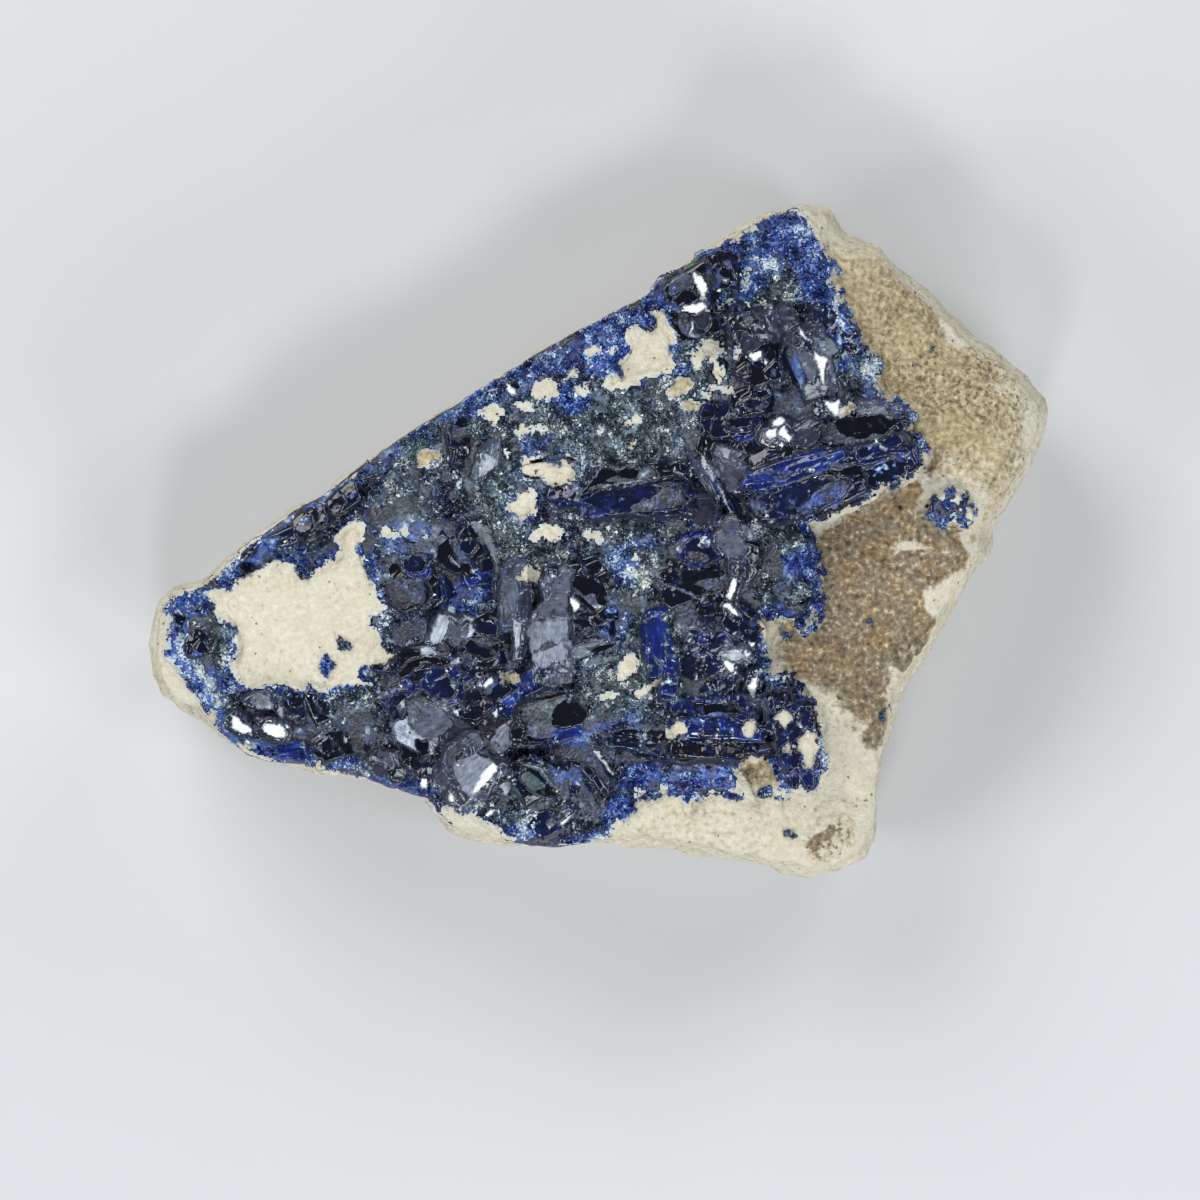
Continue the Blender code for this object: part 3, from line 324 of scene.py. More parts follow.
def seam_colour(s):
    return s.ramp(s.noise(1.6, 5.0), [(0.35, (0.012, 0.026, 0.034)), (0.54, (0.05, 0.085, 0.09)),
                                      (0.68, (0.27, 0.35, 0.33))])


def face_finish():
    s = Shader("azurite_face", IOR=AZURITE_IOR, Specular_IOR_Level=0.34)
    names = ("tone", "painted_highlight", "fine", "seam", "clean", "steep")
    tone, painted_highlight, fine, seam, clean, steep = (s.attribute(name) for name in names)
    # The faces painted as the white flash of a lamp.
    painted_flash = s.mask(painted_highlight, 0.90, 0.98)
    streaks = growth_lines(s, tone)
    whole = s.math("MAXIMUM", clean, s.mask(s.noise(0.5, 2.0), 0.24, 0.50))
    # Faces with a painted highlight are painted pale, grey to white.
    colour = s.mix(s.times(s.mask(painted_highlight, 0.05, 0.20), whole), glass_colour(s, tone, streaks),
                   painted_highlight_colour(s, tone, painted_highlight, streaks))
    # Thin edges let the blue through.
    edge_light = s.times(s.attribute("rim"), s.mask(s.noise(0.9, 2.0), 0.40, 0.62))
    colour = s.mix(s.times(edge_light, 0.4), colour, (0.016, 0.055, 0.28))
    # Finer growth on the larger crystals: in patches, and along the seams between them.
    spread = s.minus(s.noise(0.8, 8.0), s.times(clean, 0.075))
    patches = s.times(s.mask(spread, 0.55, 0.59), s.minus(0.9, s.times(painted_flash, 0.8)))
    growth = s.math("MAXIMUM", patches, s.times(fine, s.minus(1.0, clean)))
    small_tone = s.plus(s.times(s.minus(tone, 0.5), 0.35), s.mask(s.noise(3.0, 2.5), 0.34, 0.66))
    colour = s.mix(growth, colour, sugar_colour(s, small_tone))
    seam_line = s.times(seam, s.mask(s.noise(0.7, 4.0), 0.46, 0.60))
    seam_line = s.times(seam_line, s.minus(1.0, s.times(clean, 0.7)))
    colour = s.mix(seam_line, colour, seam_colour(s))
    # The steep sides between crystals are painted darker, a painted shade, and made dull, so that they don't
    # mirror the pale floor.
    colour = s.mix(s.times(steep, 0.5), colour, (0.004, 0.008, 0.022))
    roughness = s.plus(s.plus(0.12, s.times(painted_flash, 0.07)),
                       s.plus(s.times(growth, 0.25), s.times(s.noise(1.3, 4.0), 0.10)))
    roughness = s.math("MAXIMUM", roughness, s.times(steep, 0.75))
    bumps = s.plus(s.times(s.noise(0.9, 1.5), 0.30), s.times(s.times(s.noise(4.0, 4.0), growth), 0.5))
    height = s.plus(bumps, s.times(s.times(streaks, s.plus(painted_highlight, 0.1)), 0.22))
    height = s.times(height, s.minus(1.0, s.times(painted_flash, 0.75)))
    return s.finish(colour, roughness, bump=height, distance=0.06, strength=0.5)


def druse_finish():
    s = Shader("azurite_druse", IOR=AZURITE_IOR)
    return s.finish(sugar_colour(s, s.attribute("tone")), 0.22)


azurite_face = face_finish()
azurite_druse = druse_finish()
print("finishes:", azurite_face.name, azurite_druse.name)

# %% [markdown]
# The CAD rock is faceted. Remeshing a copy of it with voxels gives an even skin that is fine enough to carry
# the roughness of broken sandstone as real relief. The flat back stays flat, because the slab rests on it.

# %% Helpers for dense meshes


def copy_of_node(name, new_name):
    """A welded copy of a CAD node, which comes as loose triangles."""
    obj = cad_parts[name].copy()
    obj.data = obj.data.copy()
    obj.name = new_name
    obj.parent = None
    obj.matrix_world = Matrix.Identity(4)
    bpy.context.scene.collection.objects.link(obj)
    mesh = bmesh.new()
    mesh.from_mesh(obj.data)
    bmesh.ops.remove_doubles(mesh, verts=mesh.verts, dist=0.002 * MM)
    mesh.to_mesh(obj.data)
    mesh.free()
    return obj


def apply_modifiers(obj):
    """Turns an object's modifiers into plain mesh."""
    evaluated = obj.evaluated_get(bpy.context.evaluated_depsgraph_get())
    made = bpy.data.meshes.new_from_object(evaluated)
    obj.modifiers.clear()
    obj.data = made
    return obj


def tree_of(obj):
    """A search tree of an object's faces."""
    return BVHTree.FromObject(obj, bpy.context.evaluated_depsgraph_get())


def voxel_skin(obj, voxel):
    modifier = obj.modifiers.new("remesh", "REMESH")
    modifier.mode = "VOXEL"
    modifier.voxel_size = voxel
    modifier.use_smooth_shade = True
    return apply_modifiers(obj)


def points_of(mesh):
    """A mesh's vertices as an array, in millimetres."""
    flat = np.empty(len(mesh.vertices) * 3)
    mesh.vertices.foreach_get("co", flat)
    return flat.reshape(-1, 3) / MM


def normals_of(mesh):
    flat = np.empty(len(mesh.vertices) * 3)
    mesh.vertices.foreach_get("normal", flat)
    return flat.reshape(-1, 3)


def move_points(mesh, points):
    mesh.vertices.foreach_set("co", (points * MM).ravel())
    mesh.update()


def lattice(corner, seed):
    """A fixed random number from -1 to 1 for each corner of an endless cubic lattice."""
    mixed = corner[0] * 374761393 + corner[1] * 668265263 + corner[2] * 1274126177 + seed * 974634777
    mixed = mixed & 0xFFFFFFFF
    mixed = ((mixed ^ (mixed >> 13)) * 1103515245) & 0xFFFFFFFF
    mixed = ((mixed ^ (mixed >> 15)) * 362437) & 0xFFFFFFFF
    return ((mixed >> 8) & 0xFFFF) / 32767.5 - 1


def noise_at(points, size, seed=0):
    """Smooth noise from -1 to 1 at each point, with features of about that size in mm."""
    scaled = points.T / size + 1000
    low = np.floor(scaled).astype(np.int64)
    part = scaled - low
    part = part * part * (3 - 2 * part)
    total = np.zeros(points.shape[0])
    for corner in np.ndindex(2, 2, 2):
        step = np.array(corner)[:, None]
        weight = np.prod(np.where(step == 1, part, 1 - part), axis=0)
        total += weight * lattice(low + step, seed)
    return total


def smooth_step(values, low, high):
    t = np.clip((values - low) / (high - low), 0, 1)
    return t * t * (3 - 2 * t)


def store(mesh, name, values):
    layer = mesh.attributes.new(name, "FLOAT", "POINT")
    layer.data.foreach_set("value", np.asarray(values, dtype=np.float32))


# %% [markdown]
# Stains and patches have soft, irregular shapes. Each is drawn as an ellipse, and noise bends its edge. The
# numbers of an ellipse are its centre, its two half lengths, its heading in degrees and its strength.

# %% Helper for stains and patches


def blobs(points, table, wobble=0.8, size=2.2, seed=0, soft=(0.65, 1.15)):
    """How strongly a table of ellipses covers each point, from 0 to 1."""
    bent = points[:, :2].copy()
    bent[:, 0] += wobble * noise_at(points, size, seed + 31)
    bent[:, 1] += wobble * noise_at(points, size, seed + 32)
    cover = np.zeros(len(points))
    for x, y, half_length, half_width, heading, strength in table:
        turn = math.radians(heading)
        dx, dy = bent[:, 0] - x, bent[:, 1] - y
        u = (dx * math.cos(turn) + dy * math.sin(turn)) / half_length
        v = (dy * math.cos(turn) - dx * math.sin(turn)) / half_width
        cover = np.maximum(cover, strength * (1 - smooth_step(np.hypot(u, v), *soft)))
    return cover


# %% [markdown]
# The rock is an even skin of its solid, pushed in and out by noise. The tables say where the sandstone is
# stained or tan, and where its pits go deeper and painted shade darkens it, and a later cell paints that on
# the rock.

# %% Rock
ROCK_VOXEL = 0.48 * MM
ROCK_RELIEF = ((0.30, 3.2, 1), (0.20, 1.5, 2), (0.12, 0.8, 3))  # height, size and seed of each layer, in mm
CAD_GAP = 0.3  # mm between the solids of rock and crust
FLAT_BACK = 0.6  # mm above the resting plane, up to which the relief fades in
CLOSE = 1.0 * MM

IRON_STAIN = (
    (27.5, -1.5, 8.5, 5.5, 20, 1.0), (24.5, -9.0, 8.0, 6.0, 30, 1.0), (30.0, -8.0, 4.0, 6.0, 20, 1.0),
    (26.5, -16.0, 3.0, 5.5, 10, 0.9), (29.5, 4.0, 3.6, 2.4, 20, 0.8), (34.0, -1.5, 3.4, 2.4, 30, 0.9),
    (22.0, -29.8, 1.7, 1.2, 60, 1.0), (33.2, 8.2, 1.6, 0.9, 70, 0.7), (14.8, -22.8, 1.6, 2.0, 20, 0.5),
    (-8.9, -14.0, 1.4, 0.7, 0, 0.6), (25.0, 13.2, 0.9, 1.0, 0, 0.7), (15.4, -7.4, 1.2, 0.5, 0, 0.5),
)
PALE_IN_STAIN = ((30.8, -0.6, 0.9, 2.4, 80, 1.0), (25.6, -21.0, 1.4, 5.5, 12, 0.8))
TAN = (
    (33.0, 14.5, 9.5, 7.5, -30, 1.0), (30.0, 20.5, 9.0, 5.0, -40, 0.95), (26.0, 25.0, 6.0, 4.0, -50, 0.75),
    (38.0, 10.0, 5.0, 6.0, 0, 0.75), (14.0, -28.0, 13.0, 4.0, 8, 0.30), (41.0, 3.0, 4.0, 8.0, 0, 0.6),
    (15.5, -23.0, 2.0, 2.2, 0, 0.8), (23.0, -30.0, 4.0, 2.0, 20, 0.5), (-17.0, 8.0, 1.1, 0.9, 0, 0.9),
)
# Where the broken face is pitted: the pits go deeper there, and painted shade darkens it.
SHADED_PITS = (
    (35.0, 15.5, 9.0, 2.6, -18, 1.0), (38.5, 17.0, 3.0, 3.0, 0, 0.9), (31.5, 24.0, 6.0, 2.0, -42, 0.7),
    (28.0, 20.5, 3.0, 1.5, 0, 0.5), (22.5, -30.0, 3.0, 2.0, 0, 1.0), (25.5, -12.0, 7.0, 8.0, 0, 0.5),
    (34.5, 8.0, 2.5, 2.0, 0, 0.6), (37.0, 13.4, 6.0, 1.3, 0, 1.0), (38.0, 17.0, 2.2, 2.6, 0, 1.0),
    (33.0, 18.0, 2.0, 1.0, -30, 0.8), (41.5, 9.0, 1.2, 3.0, 0, 0.8), (29.0, 23.0, 2.6, 1.0, -40, 0.8),
)


def close_to_crust(points):
    """One at points within a millimetre of the CAD crust, where the rock is made to touch it."""
    tree = tree_of(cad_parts["azurite_crust"])
    found = [tree.find_nearest(Vector(point) * MM, CLOSE)[0] for point in points]
    return np.array([0.0 if place is None else 1.0 for place in found])


def make_rock():
    rock = voxel_skin(copy_of_node("matrix_rock", "sandstone_slab"), ROCK_VOXEL)
    points, normals = points_of(rock.data), normals_of(rock.data)
    free = smooth_step(points[:, 2], 0.0, FLAT_BACK)[:, None]
    height = sum(amount * noise_at(points, size, seed) for amount, size, seed in ROCK_RELIEF) - 0.15
    pits = smooth_step(noise_at(points, 1.1, 6), 0.35, 0.8) * (0.3 + 0.7 * blobs(points, SHADED_PITS, 1.5))
    height -= 0.45 * pits
    moved = points + normals * height[:, None] * free
    sideways = 1 - normals[:, 2] ** 2
    moved += normals * (close_to_crust(points) * sideways * CAD_GAP * 1.3)[:, None] * free
    moved[:, 2] = np.maximum(moved[:, 2], 0.0)
    moved[:, 2] = np.where(points[:, 2] < 0.3, np.minimum(moved[:, 2], points[:, 2]), moved[:, 2])
    move_points(rock.data, moved)
    rock.data.materials.clear()
    rock.data.materials.append(sandstone)
    return rock


rock = make_rock()
print("rock:", len(rock.data.polygons), "faces")

# %% [markdown]
# The crust gets a finer skin. It is what shows from the sides. On top it is drawn back a little, because a
# mosaic of crystals covers it there.

# %% Crust
CRUST_VOXEL = 0.34 * MM
CRUST_RELIEF = ((0.16, 1.3, 4), (0.12, 0.7, 5))
CRUST_DRAWN_BACK = 0.40  # on top, where the mosaic covers it


def make_crust(node, name):
    crust = voxel_skin(copy_of_node(node, name), CRUST_VOXEL)
    points, normals = points_of(crust.data), normals_of(crust.data)
    height = sum(amount * noise_at(points, size, seed) for amount, size, seed in CRUST_RELIEF)
    height = np.minimum(height, 0.1) - CRUST_DRAWN_BACK * smooth_step(normals[:, 2], 0.2, 0.7)
    move_points(crust.data, points + normals * height[:, None])
    return crust


crust = make_crust("azurite_crust", "azurite_ground")
islet = make_crust("azurite_islet", "islet_ground")
print("crust:", len(crust.data.polygons), "faces; islet:", len(islet.data.polygons))

# %% [markdown]
# Azurite grows as blocks, blades and plates. A crystal here is a box whose corners are cut off by its
# natural faces. Each of those has a direction and a share of the box's own reach that way.

# %% Crystal shapes
BLOCK = (((0.76, 0.65, 0.0), 0.74), ((-0.76, -0.65, 0.0), 0.70), ((-0.76, 0.65, 0.0), 0.84),
         ((0.66, -0.20, 0.72), 0.76), ((-0.20, 0.70, 0.68), 0.80), ((-0.62, -0.40, 0.68), 0.84))
BLADE = (((0.50, 0.86, 0.0), 0.70), ((-0.50, -0.86, 0.0), 0.72), ((0.10, 0.76, 0.65), 0.72),
         ((-0.06, -0.76, 0.65), 0.78), ((0.70, 0.0, 0.70), 0.86), ((-0.75, 0.1, 0.65), 0.88))
PLATE = (((0.76, 0.65, 0.0), 0.76), ((-0.76, -0.65, 0.0), 0.72), ((0.76, -0.65, 0.0), 0.84),
         ((-0.76, 0.65, 0.0), 0.84), ((0.10, 0.50, 0.86), 0.92))
print("forms with", [len(form) for form in (BLOCK, BLADE, PLATE)], "faces besides the box's own")

# %% [markdown]
# The crystals that the eye picks out are listed, as in the CAD: x, y, length, width, height, the
# heading of the length, the lean of the broad face and the heading that it leans towards, the form, and a
# letter for how it looks: d dark, b blue inside, g grey with growth lines, l lilac, w white in the lamp,
# s blue and dusted with finer crystals. Grey, lilac and white are a painted highlight on the face.

# %% Crystals placed one by one
SPREAD = 1.22  # of the tabled length and width, as in the CAD

CRYSTALS = (
    # The cluster at the upper edge.
    (9.2, 25.0, 4.4, 3.6, 4.2, 15, 8, 120, BLOCK, "d"),
    (11.8, 27.0, 4.2, 2.8, 3.4, 350, 14, 80, BLOCK, "d"),
    (9.9, 21.9, 3.6, 2.8, 3.2, 30, 10, 60, BLOCK, "d"),
    (6.8, 25.0, 2.6, 2.2, 2.4, 50, 18, 150, BLOCK, "b"),
    # Large glassy crystals on the right.
    (15.0, 20.2, 4.6, 3.4, 3.4, 110, 18, 340, BLOCK, "l"),
    (15.8, 17.2, 3.8, 3.2, 3.0, 20, 10, 90, BLOCK, "d"),
    (15.7, 18.5, 1.5, 1.1, 1.6, 20, 20, 262, BLOCK, "w"),
    (19.0, 20.6, 5.0, 2.2, 2.6, 125, 16, 345, BLADE, "l"),
    (20.4, 17.6, 6.2, 2.6, 2.8, 112, 17, 340, BLADE, "l"),
    (22.3, 17.6, 5.6, 1.5, 2.2, 105, 20, 300, BLADE, "g"),
    (23.2, 20.6, 4.4, 3.0, 2.4, 140, 15, 330, PLATE, "s"),
    (23.4, 13.4, 2.0, 1.5, 1.8, 40, 20, 262, BLOCK, "w"),
    (18.0, 11.0, 2.8, 2.5, 2.6, 60, 20, 264, BLOCK, "w"),
    (20.6, 10.7, 3.2, 2.6, 2.6, 20, 14, 345, BLOCK, "l"),
    (15.0, 13.8, 3.4, 2.4, 2.4, 10, 10, 100, BLOCK, "d"),
    (12.0, 12.1, 3.8, 2.8, 2.6, 170, 8, 80, BLOCK, "b"),
    (14.6, 11.3, 3.6, 2.6, 2.4, 20, 12, 100, BLOCK, "b"),
    (11.3, 9.9, 3.2, 2.6, 2.4, 60, 10, 90, BLOCK, "d"),
    (14.8, 9.2, 3.8, 2.6, 2.6, 30, 12, 120, BLOCK, "d"),
    (17.8, 8.5, 5.0, 1.8, 2.2, 25, 14, 110, BLADE, "d"),
    (27.8, 13.1, 4.2, 1.6, 1.8, 355, 16, 300, BLADE, "g"),
    (27.0, 10.8, 6.5, 2.4, 2.8, 8, 12, 100, BLADE, "d"),
    (23.6, 10.9, 3.8, 2.6, 2.6, 15, 10, 80, BLOCK, "d"),
    # Long blades across the middle.
    (20.8, 4.3, 9.6, 2.8, 3.2, 20, 14, 110, BLADE, "b"),
    (19.2, 6.9, 9.0, 2.0, 2.6, 20, 10, 110, BLADE, "s"),
    (25.6, 8.2, 7.0, 2.0, 2.6, 16, 12, 100, BLADE, "s"),
    (29.4, 7.9, 4.8, 2.8, 2.6, 28, 10, 280, BLADE, "s"),
    (26.6, 6.1, 4.2, 2.0, 2.2, 30, 16, 300, BLADE, "b"),
    (3.0, 4.2, 11.4, 3.0, 3.4, 4, 14, 100, BLADE, "b"),
    (3.8, 6.6, 8.4, 1.6, 2.4, 10, 10, 100, BLADE, "d"),
    (10.2, 7.0, 6.5, 0.9, 2.4, 122, 16, 200, BLADE, "g"),
    (11.8, 5.6, 6.5, 0.9, 2.4, 125, 18, 210, BLADE, "d"),
    (8.8, 5.6, 5.6, 0.9, 2.2, 118, 16, 200, BLADE, "d"),
    (13.1, 7.6, 4.0, 2.6, 2.4, 160, 16, 330, PLATE, "g"),
    (10.1, 2.8, 3.0, 2.8, 2.6, 90, 5, 90, BLOCK, "b"),
    (13.2, 0.2, 3.8, 3.0, 2.8, 150, 18, 335, PLATE, "l"),
    (14.0, -2.4, 3.0, 2.4, 2.4, 100, 14, 340, BLOCK, "l"),
    (10.0, -0.8, 4.0, 3.0, 2.8, 20, 12, 100, BLOCK, "b"),
    # Dark crystals right of the middle.
    (9.8, -3.9, 5.0, 1.8, 2.4, 175, 14, 95, BLADE, "d"),
    (11.6, -5.8, 4.0, 2.8, 2.6, 165, 10, 110, BLOCK, "d"),
    (7.4, -4.9, 3.6, 3.0, 2.8, 20, 8, 100, BLOCK, "d"),
    (13.3, -4.7, 2.4, 1.1, 1.4, 70, 20, 268, PLATE, "w"),
    (13.2, -7.1, 2.0, 1.1, 1.4, 320, 20, 262, PLATE, "w"),
    (5.6, -10.4, 6.2, 2.6, 2.8, 100, 12, 40, BLADE, "b"),
    (10.4, -11.4, 4.6, 3.8, 3.0, 60, 12, 150, BLOCK, "b"),
    (14.2, -8.8, 3.8, 2.6, 2.6, 330, 14, 60, BLADE, "d"),
    (13.4, -11.2, 2.8, 1.6, 1.8, 5, 17, 290, PLATE, "g"),
    (12.8, -12.8, 1.8, 1.3, 1.6, 330, 20, 265, BLOCK, "w"),
    (15.0, -14.2, 2.8, 1.4, 2.2, 80, 19, 258, BLADE, "w"),
    (11.4, -14.8, 3.6, 2.8, 2.4, 70, 10, 140, BLOCK, "b"),
    (11.4, -16.8, 8.2, 1.7, 2.6, 2, 14, 100, BLADE, "s"),
    (11.6, -18.6, 8.0, 2.0, 2.8, 2, 8, 270, BLADE, "s"),
    (11.4, -20.7, 7.6, 1.8, 2.6, 6, 14, 100, BLADE, "d"),
    (5.6, -20.4, 5.6, 2.6, 2.6, 350, 12, 110, BLADE, "d"),
    (19.6, -20.4, 7.2, 3.4, 4.0, 100, 8, 300, BLOCK, "s"),
    (17.8, -15.6, 3.0, 2.2, 2.8, 105, 14, 20, BLADE, "d"),
    # Grey faces in the middle.
    (-5.2, -8.7, 4.6, 4.0, 3.4, 90, 17, 325, BLOCK, "g"),
    (-4.8, -11.8, 4.2, 3.4, 3.2, 75, 16, 320, BLOCK, "g"),
    (-4.2, -5.2, 4.6, 3.2, 3.2, 92, 17, 345, BLOCK, "g"),
    (-8.8, -5.4, 6.2, 2.4, 3.0, 92, 13, 20, BLADE, "g"),
    (-8.2, -9.7, 3.8, 1.2, 2.4, 88, 18, 340, BLADE, "g"),
    (-6.6, -14.2, 2.6, 2.2, 2.2, 40, 14, 300, BLOCK, "b"),
    (-0.8, -4.4, 4.2, 3.4, 3.2, 130, 8, 90, BLOCK, "d"),
    (-0.8, -8.4, 4.2, 2.2, 2.6, 5, 10, 110, BLOCK, "d"),
    (-1.2, -10.5, 4.6, 1.4, 2.0, 22, 16, 300, BLADE, "g"),
    # The hollow left of the middle.
    (-19.2, -4.8, 4.2, 3.8, 3.0, 20, 8, 100, BLOCK, "d"),
    (-18.4, -1.8, 3.4, 2.6, 2.4, 100, 12, 80, BLOCK, "b"),
    (-15.4, -1.2, 4.4, 2.8, 2.8, 160, 12, 100, BLOCK, "d"),
    (-12.6, -0.4, 3.8, 3.0, 3.0, 40, 14, 60, BLOCK, "d"),
    (-12.4, -3.0, 2.8, 2.8, 2.8, 100, 10, 60, BLOCK, "b"),
    (-16.6, -5.0, 3.2, 2.6, 2.4, 30, 14, 200, BLOCK, "b"),
    # Large crystals towards the lower left.
    (-15.9, -8.7, 3.2, 1.7, 2.4, 62, 19, 280, BLADE, "g"),
    (-13.6, -8.9, 3.0, 2.2, 2.4, 40, 16, 330, BLOCK, "g"),
    (-11.2, -8.9, 3.2, 2.8, 2.8, 10, 8, 100, BLOCK, "d"),
    (-11.4, -11.5, 3.4, 2.6, 2.6, 20, 10, 120, BLOCK, "d"),
    (-17.4, -11.6, 5.0, 2.2, 2.6, 15, 14, 100, BLADE, "d"),
    (-15.6, -14.6, 3.4, 3.2, 3.0, 15, 6, 150, BLOCK, "b"),
    (-13.2, -12.9, 2.2, 1.9, 2.0, 70, 8, 90, BLOCK, "b"),
    (-17.0, -18.0, 5.4, 3.4, 3.0, 340, 17, 325, PLATE, "g"),
    (-20.2, -15.2, 3.2, 2.6, 2.4, 30, 10, 110, BLOCK, "b"),
    (-18.4, -21.4, 2.8, 2.4, 2.4, 300, 12, 60, BLOCK, "d"),
    (-21.4, -22.4, 3.4, 2.4, 2.4, 330, 15, 320, PLATE, "l"),
    (-12.6, -16.4, 3.2, 2.6, 2.6, 40, 12, 90, BLOCK, "d"),
    (-11.1, -14.0, 1.6, 1.3, 1.6, 60, 20, 262, BLOCK, "w"),
    (-9.6, -16.4, 3.0, 2.0, 2.4, 350, 12, 120, BLOCK, "b"),
    (-21.0, -12.2, 3.6, 2.4, 2.4, 150, 10, 60, BLOCK, "d"),
    (-13.2, -23.2, 5.2, 4.4, 3.4, 35, 13, 285, BLOCK, "g"),
    (-10.8, -23.6, 3.8, 1.3, 2.0, 58, 20, 262, BLADE, "w"),
    (-10.0, -19.8, 5.6, 1.6, 2.2, 52, 15, 300, BLADE, "g"),
    # The lobes at the lower edge.
    (-5.2, -17.4, 5.4, 3.4, 3.2, 10, 12, 300, PLATE, "d"),
    (-3.4, -21.6, 3.6, 1.8, 2.4, 350, 14, 80, BLADE, "d"),
    (-0.6, -22.8, 4.2, 1.8, 2.4, 305, 14, 50, BLADE, "d"),
    (-7.2, -24.0, 3.6, 2.6, 2.8, 300, 10, 60, BLOCK, "d"),
    (-3.8, -27.4, 3.0, 1.0, 1.8, 42, 18, 262, BLADE, "w"),
    (-5.4, -28.4, 2.8, 2.0, 2.2, 30, 10, 120, BLOCK, "b"),
    # The lower left edge.
    (-36.0, -18.2, 2.6, 1.8, 2.0, 335, 20, 262, PLATE, "w"),
    (-32.2, -18.6, 2.7, 1.9, 2.0, 350, 20, 262, PLATE, "w"),
    (-34.0, -15.9, 2.6, 1.7, 2.0, 20, 12, 300, BLOCK, "g"),
    (-30.6, -16.2, 2.6, 1.6, 2.2, 110, 14, 20, BLADE, "d"),
    (-28.4, -16.6, 3.2, 1.6, 2.2, 120, 14, 40, BLADE, "d"),
    (-30.8, -21.0, 2.4, 1.8, 1.8, 0, 12, 100, BLOCK, "b"),
    (-26.8, -20.4, 3.2, 2.6, 2.2, 20, 10, 120, BLOCK, "d"),
    # The left end and the ridge along the upper left edge.
    (-40.0, -10.2, 2.6, 2.0, 2.0, 60, 12, 100, BLOCK, "d"),
    (-34.2, -1.2, 3.0, 1.8, 2.2, 33, 16, 120, BLOCK, "d"),
    (-31.4, 0.4, 3.2, 1.8, 2.2, 30, 10, 300, BLADE, "b"),
    (-28.6, 2.0, 3.2, 2.2, 2.4, 35, 14, 110, BLOCK, "d"),
    (-25.4, 4.2, 3.4, 2.2, 2.6, 35, 14, 120, BLOCK, "d"),
    # Inside the upper left edge.
    (-11.6, 7.6, 3.0, 1.8, 2.2, 75, 16, 320, BLADE, "g"),
    (-14.2, 9.6, 3.4, 2.0, 2.2, 95, 14, 40, BLADE, "d"),
)

# For each letter: how blue the inside is, and how much painted highlight its face has.
LOOKS = {
    "d": (0.15, 0.0), "b": (0.85, 0.0), "g": (0.25, 0.36),
    "l": (0.25, 0.22), "w": (0.2, 0.22), "s": (0.8, 0.0),
}
print("crystals placed by hand:", len(CRYSTALS))
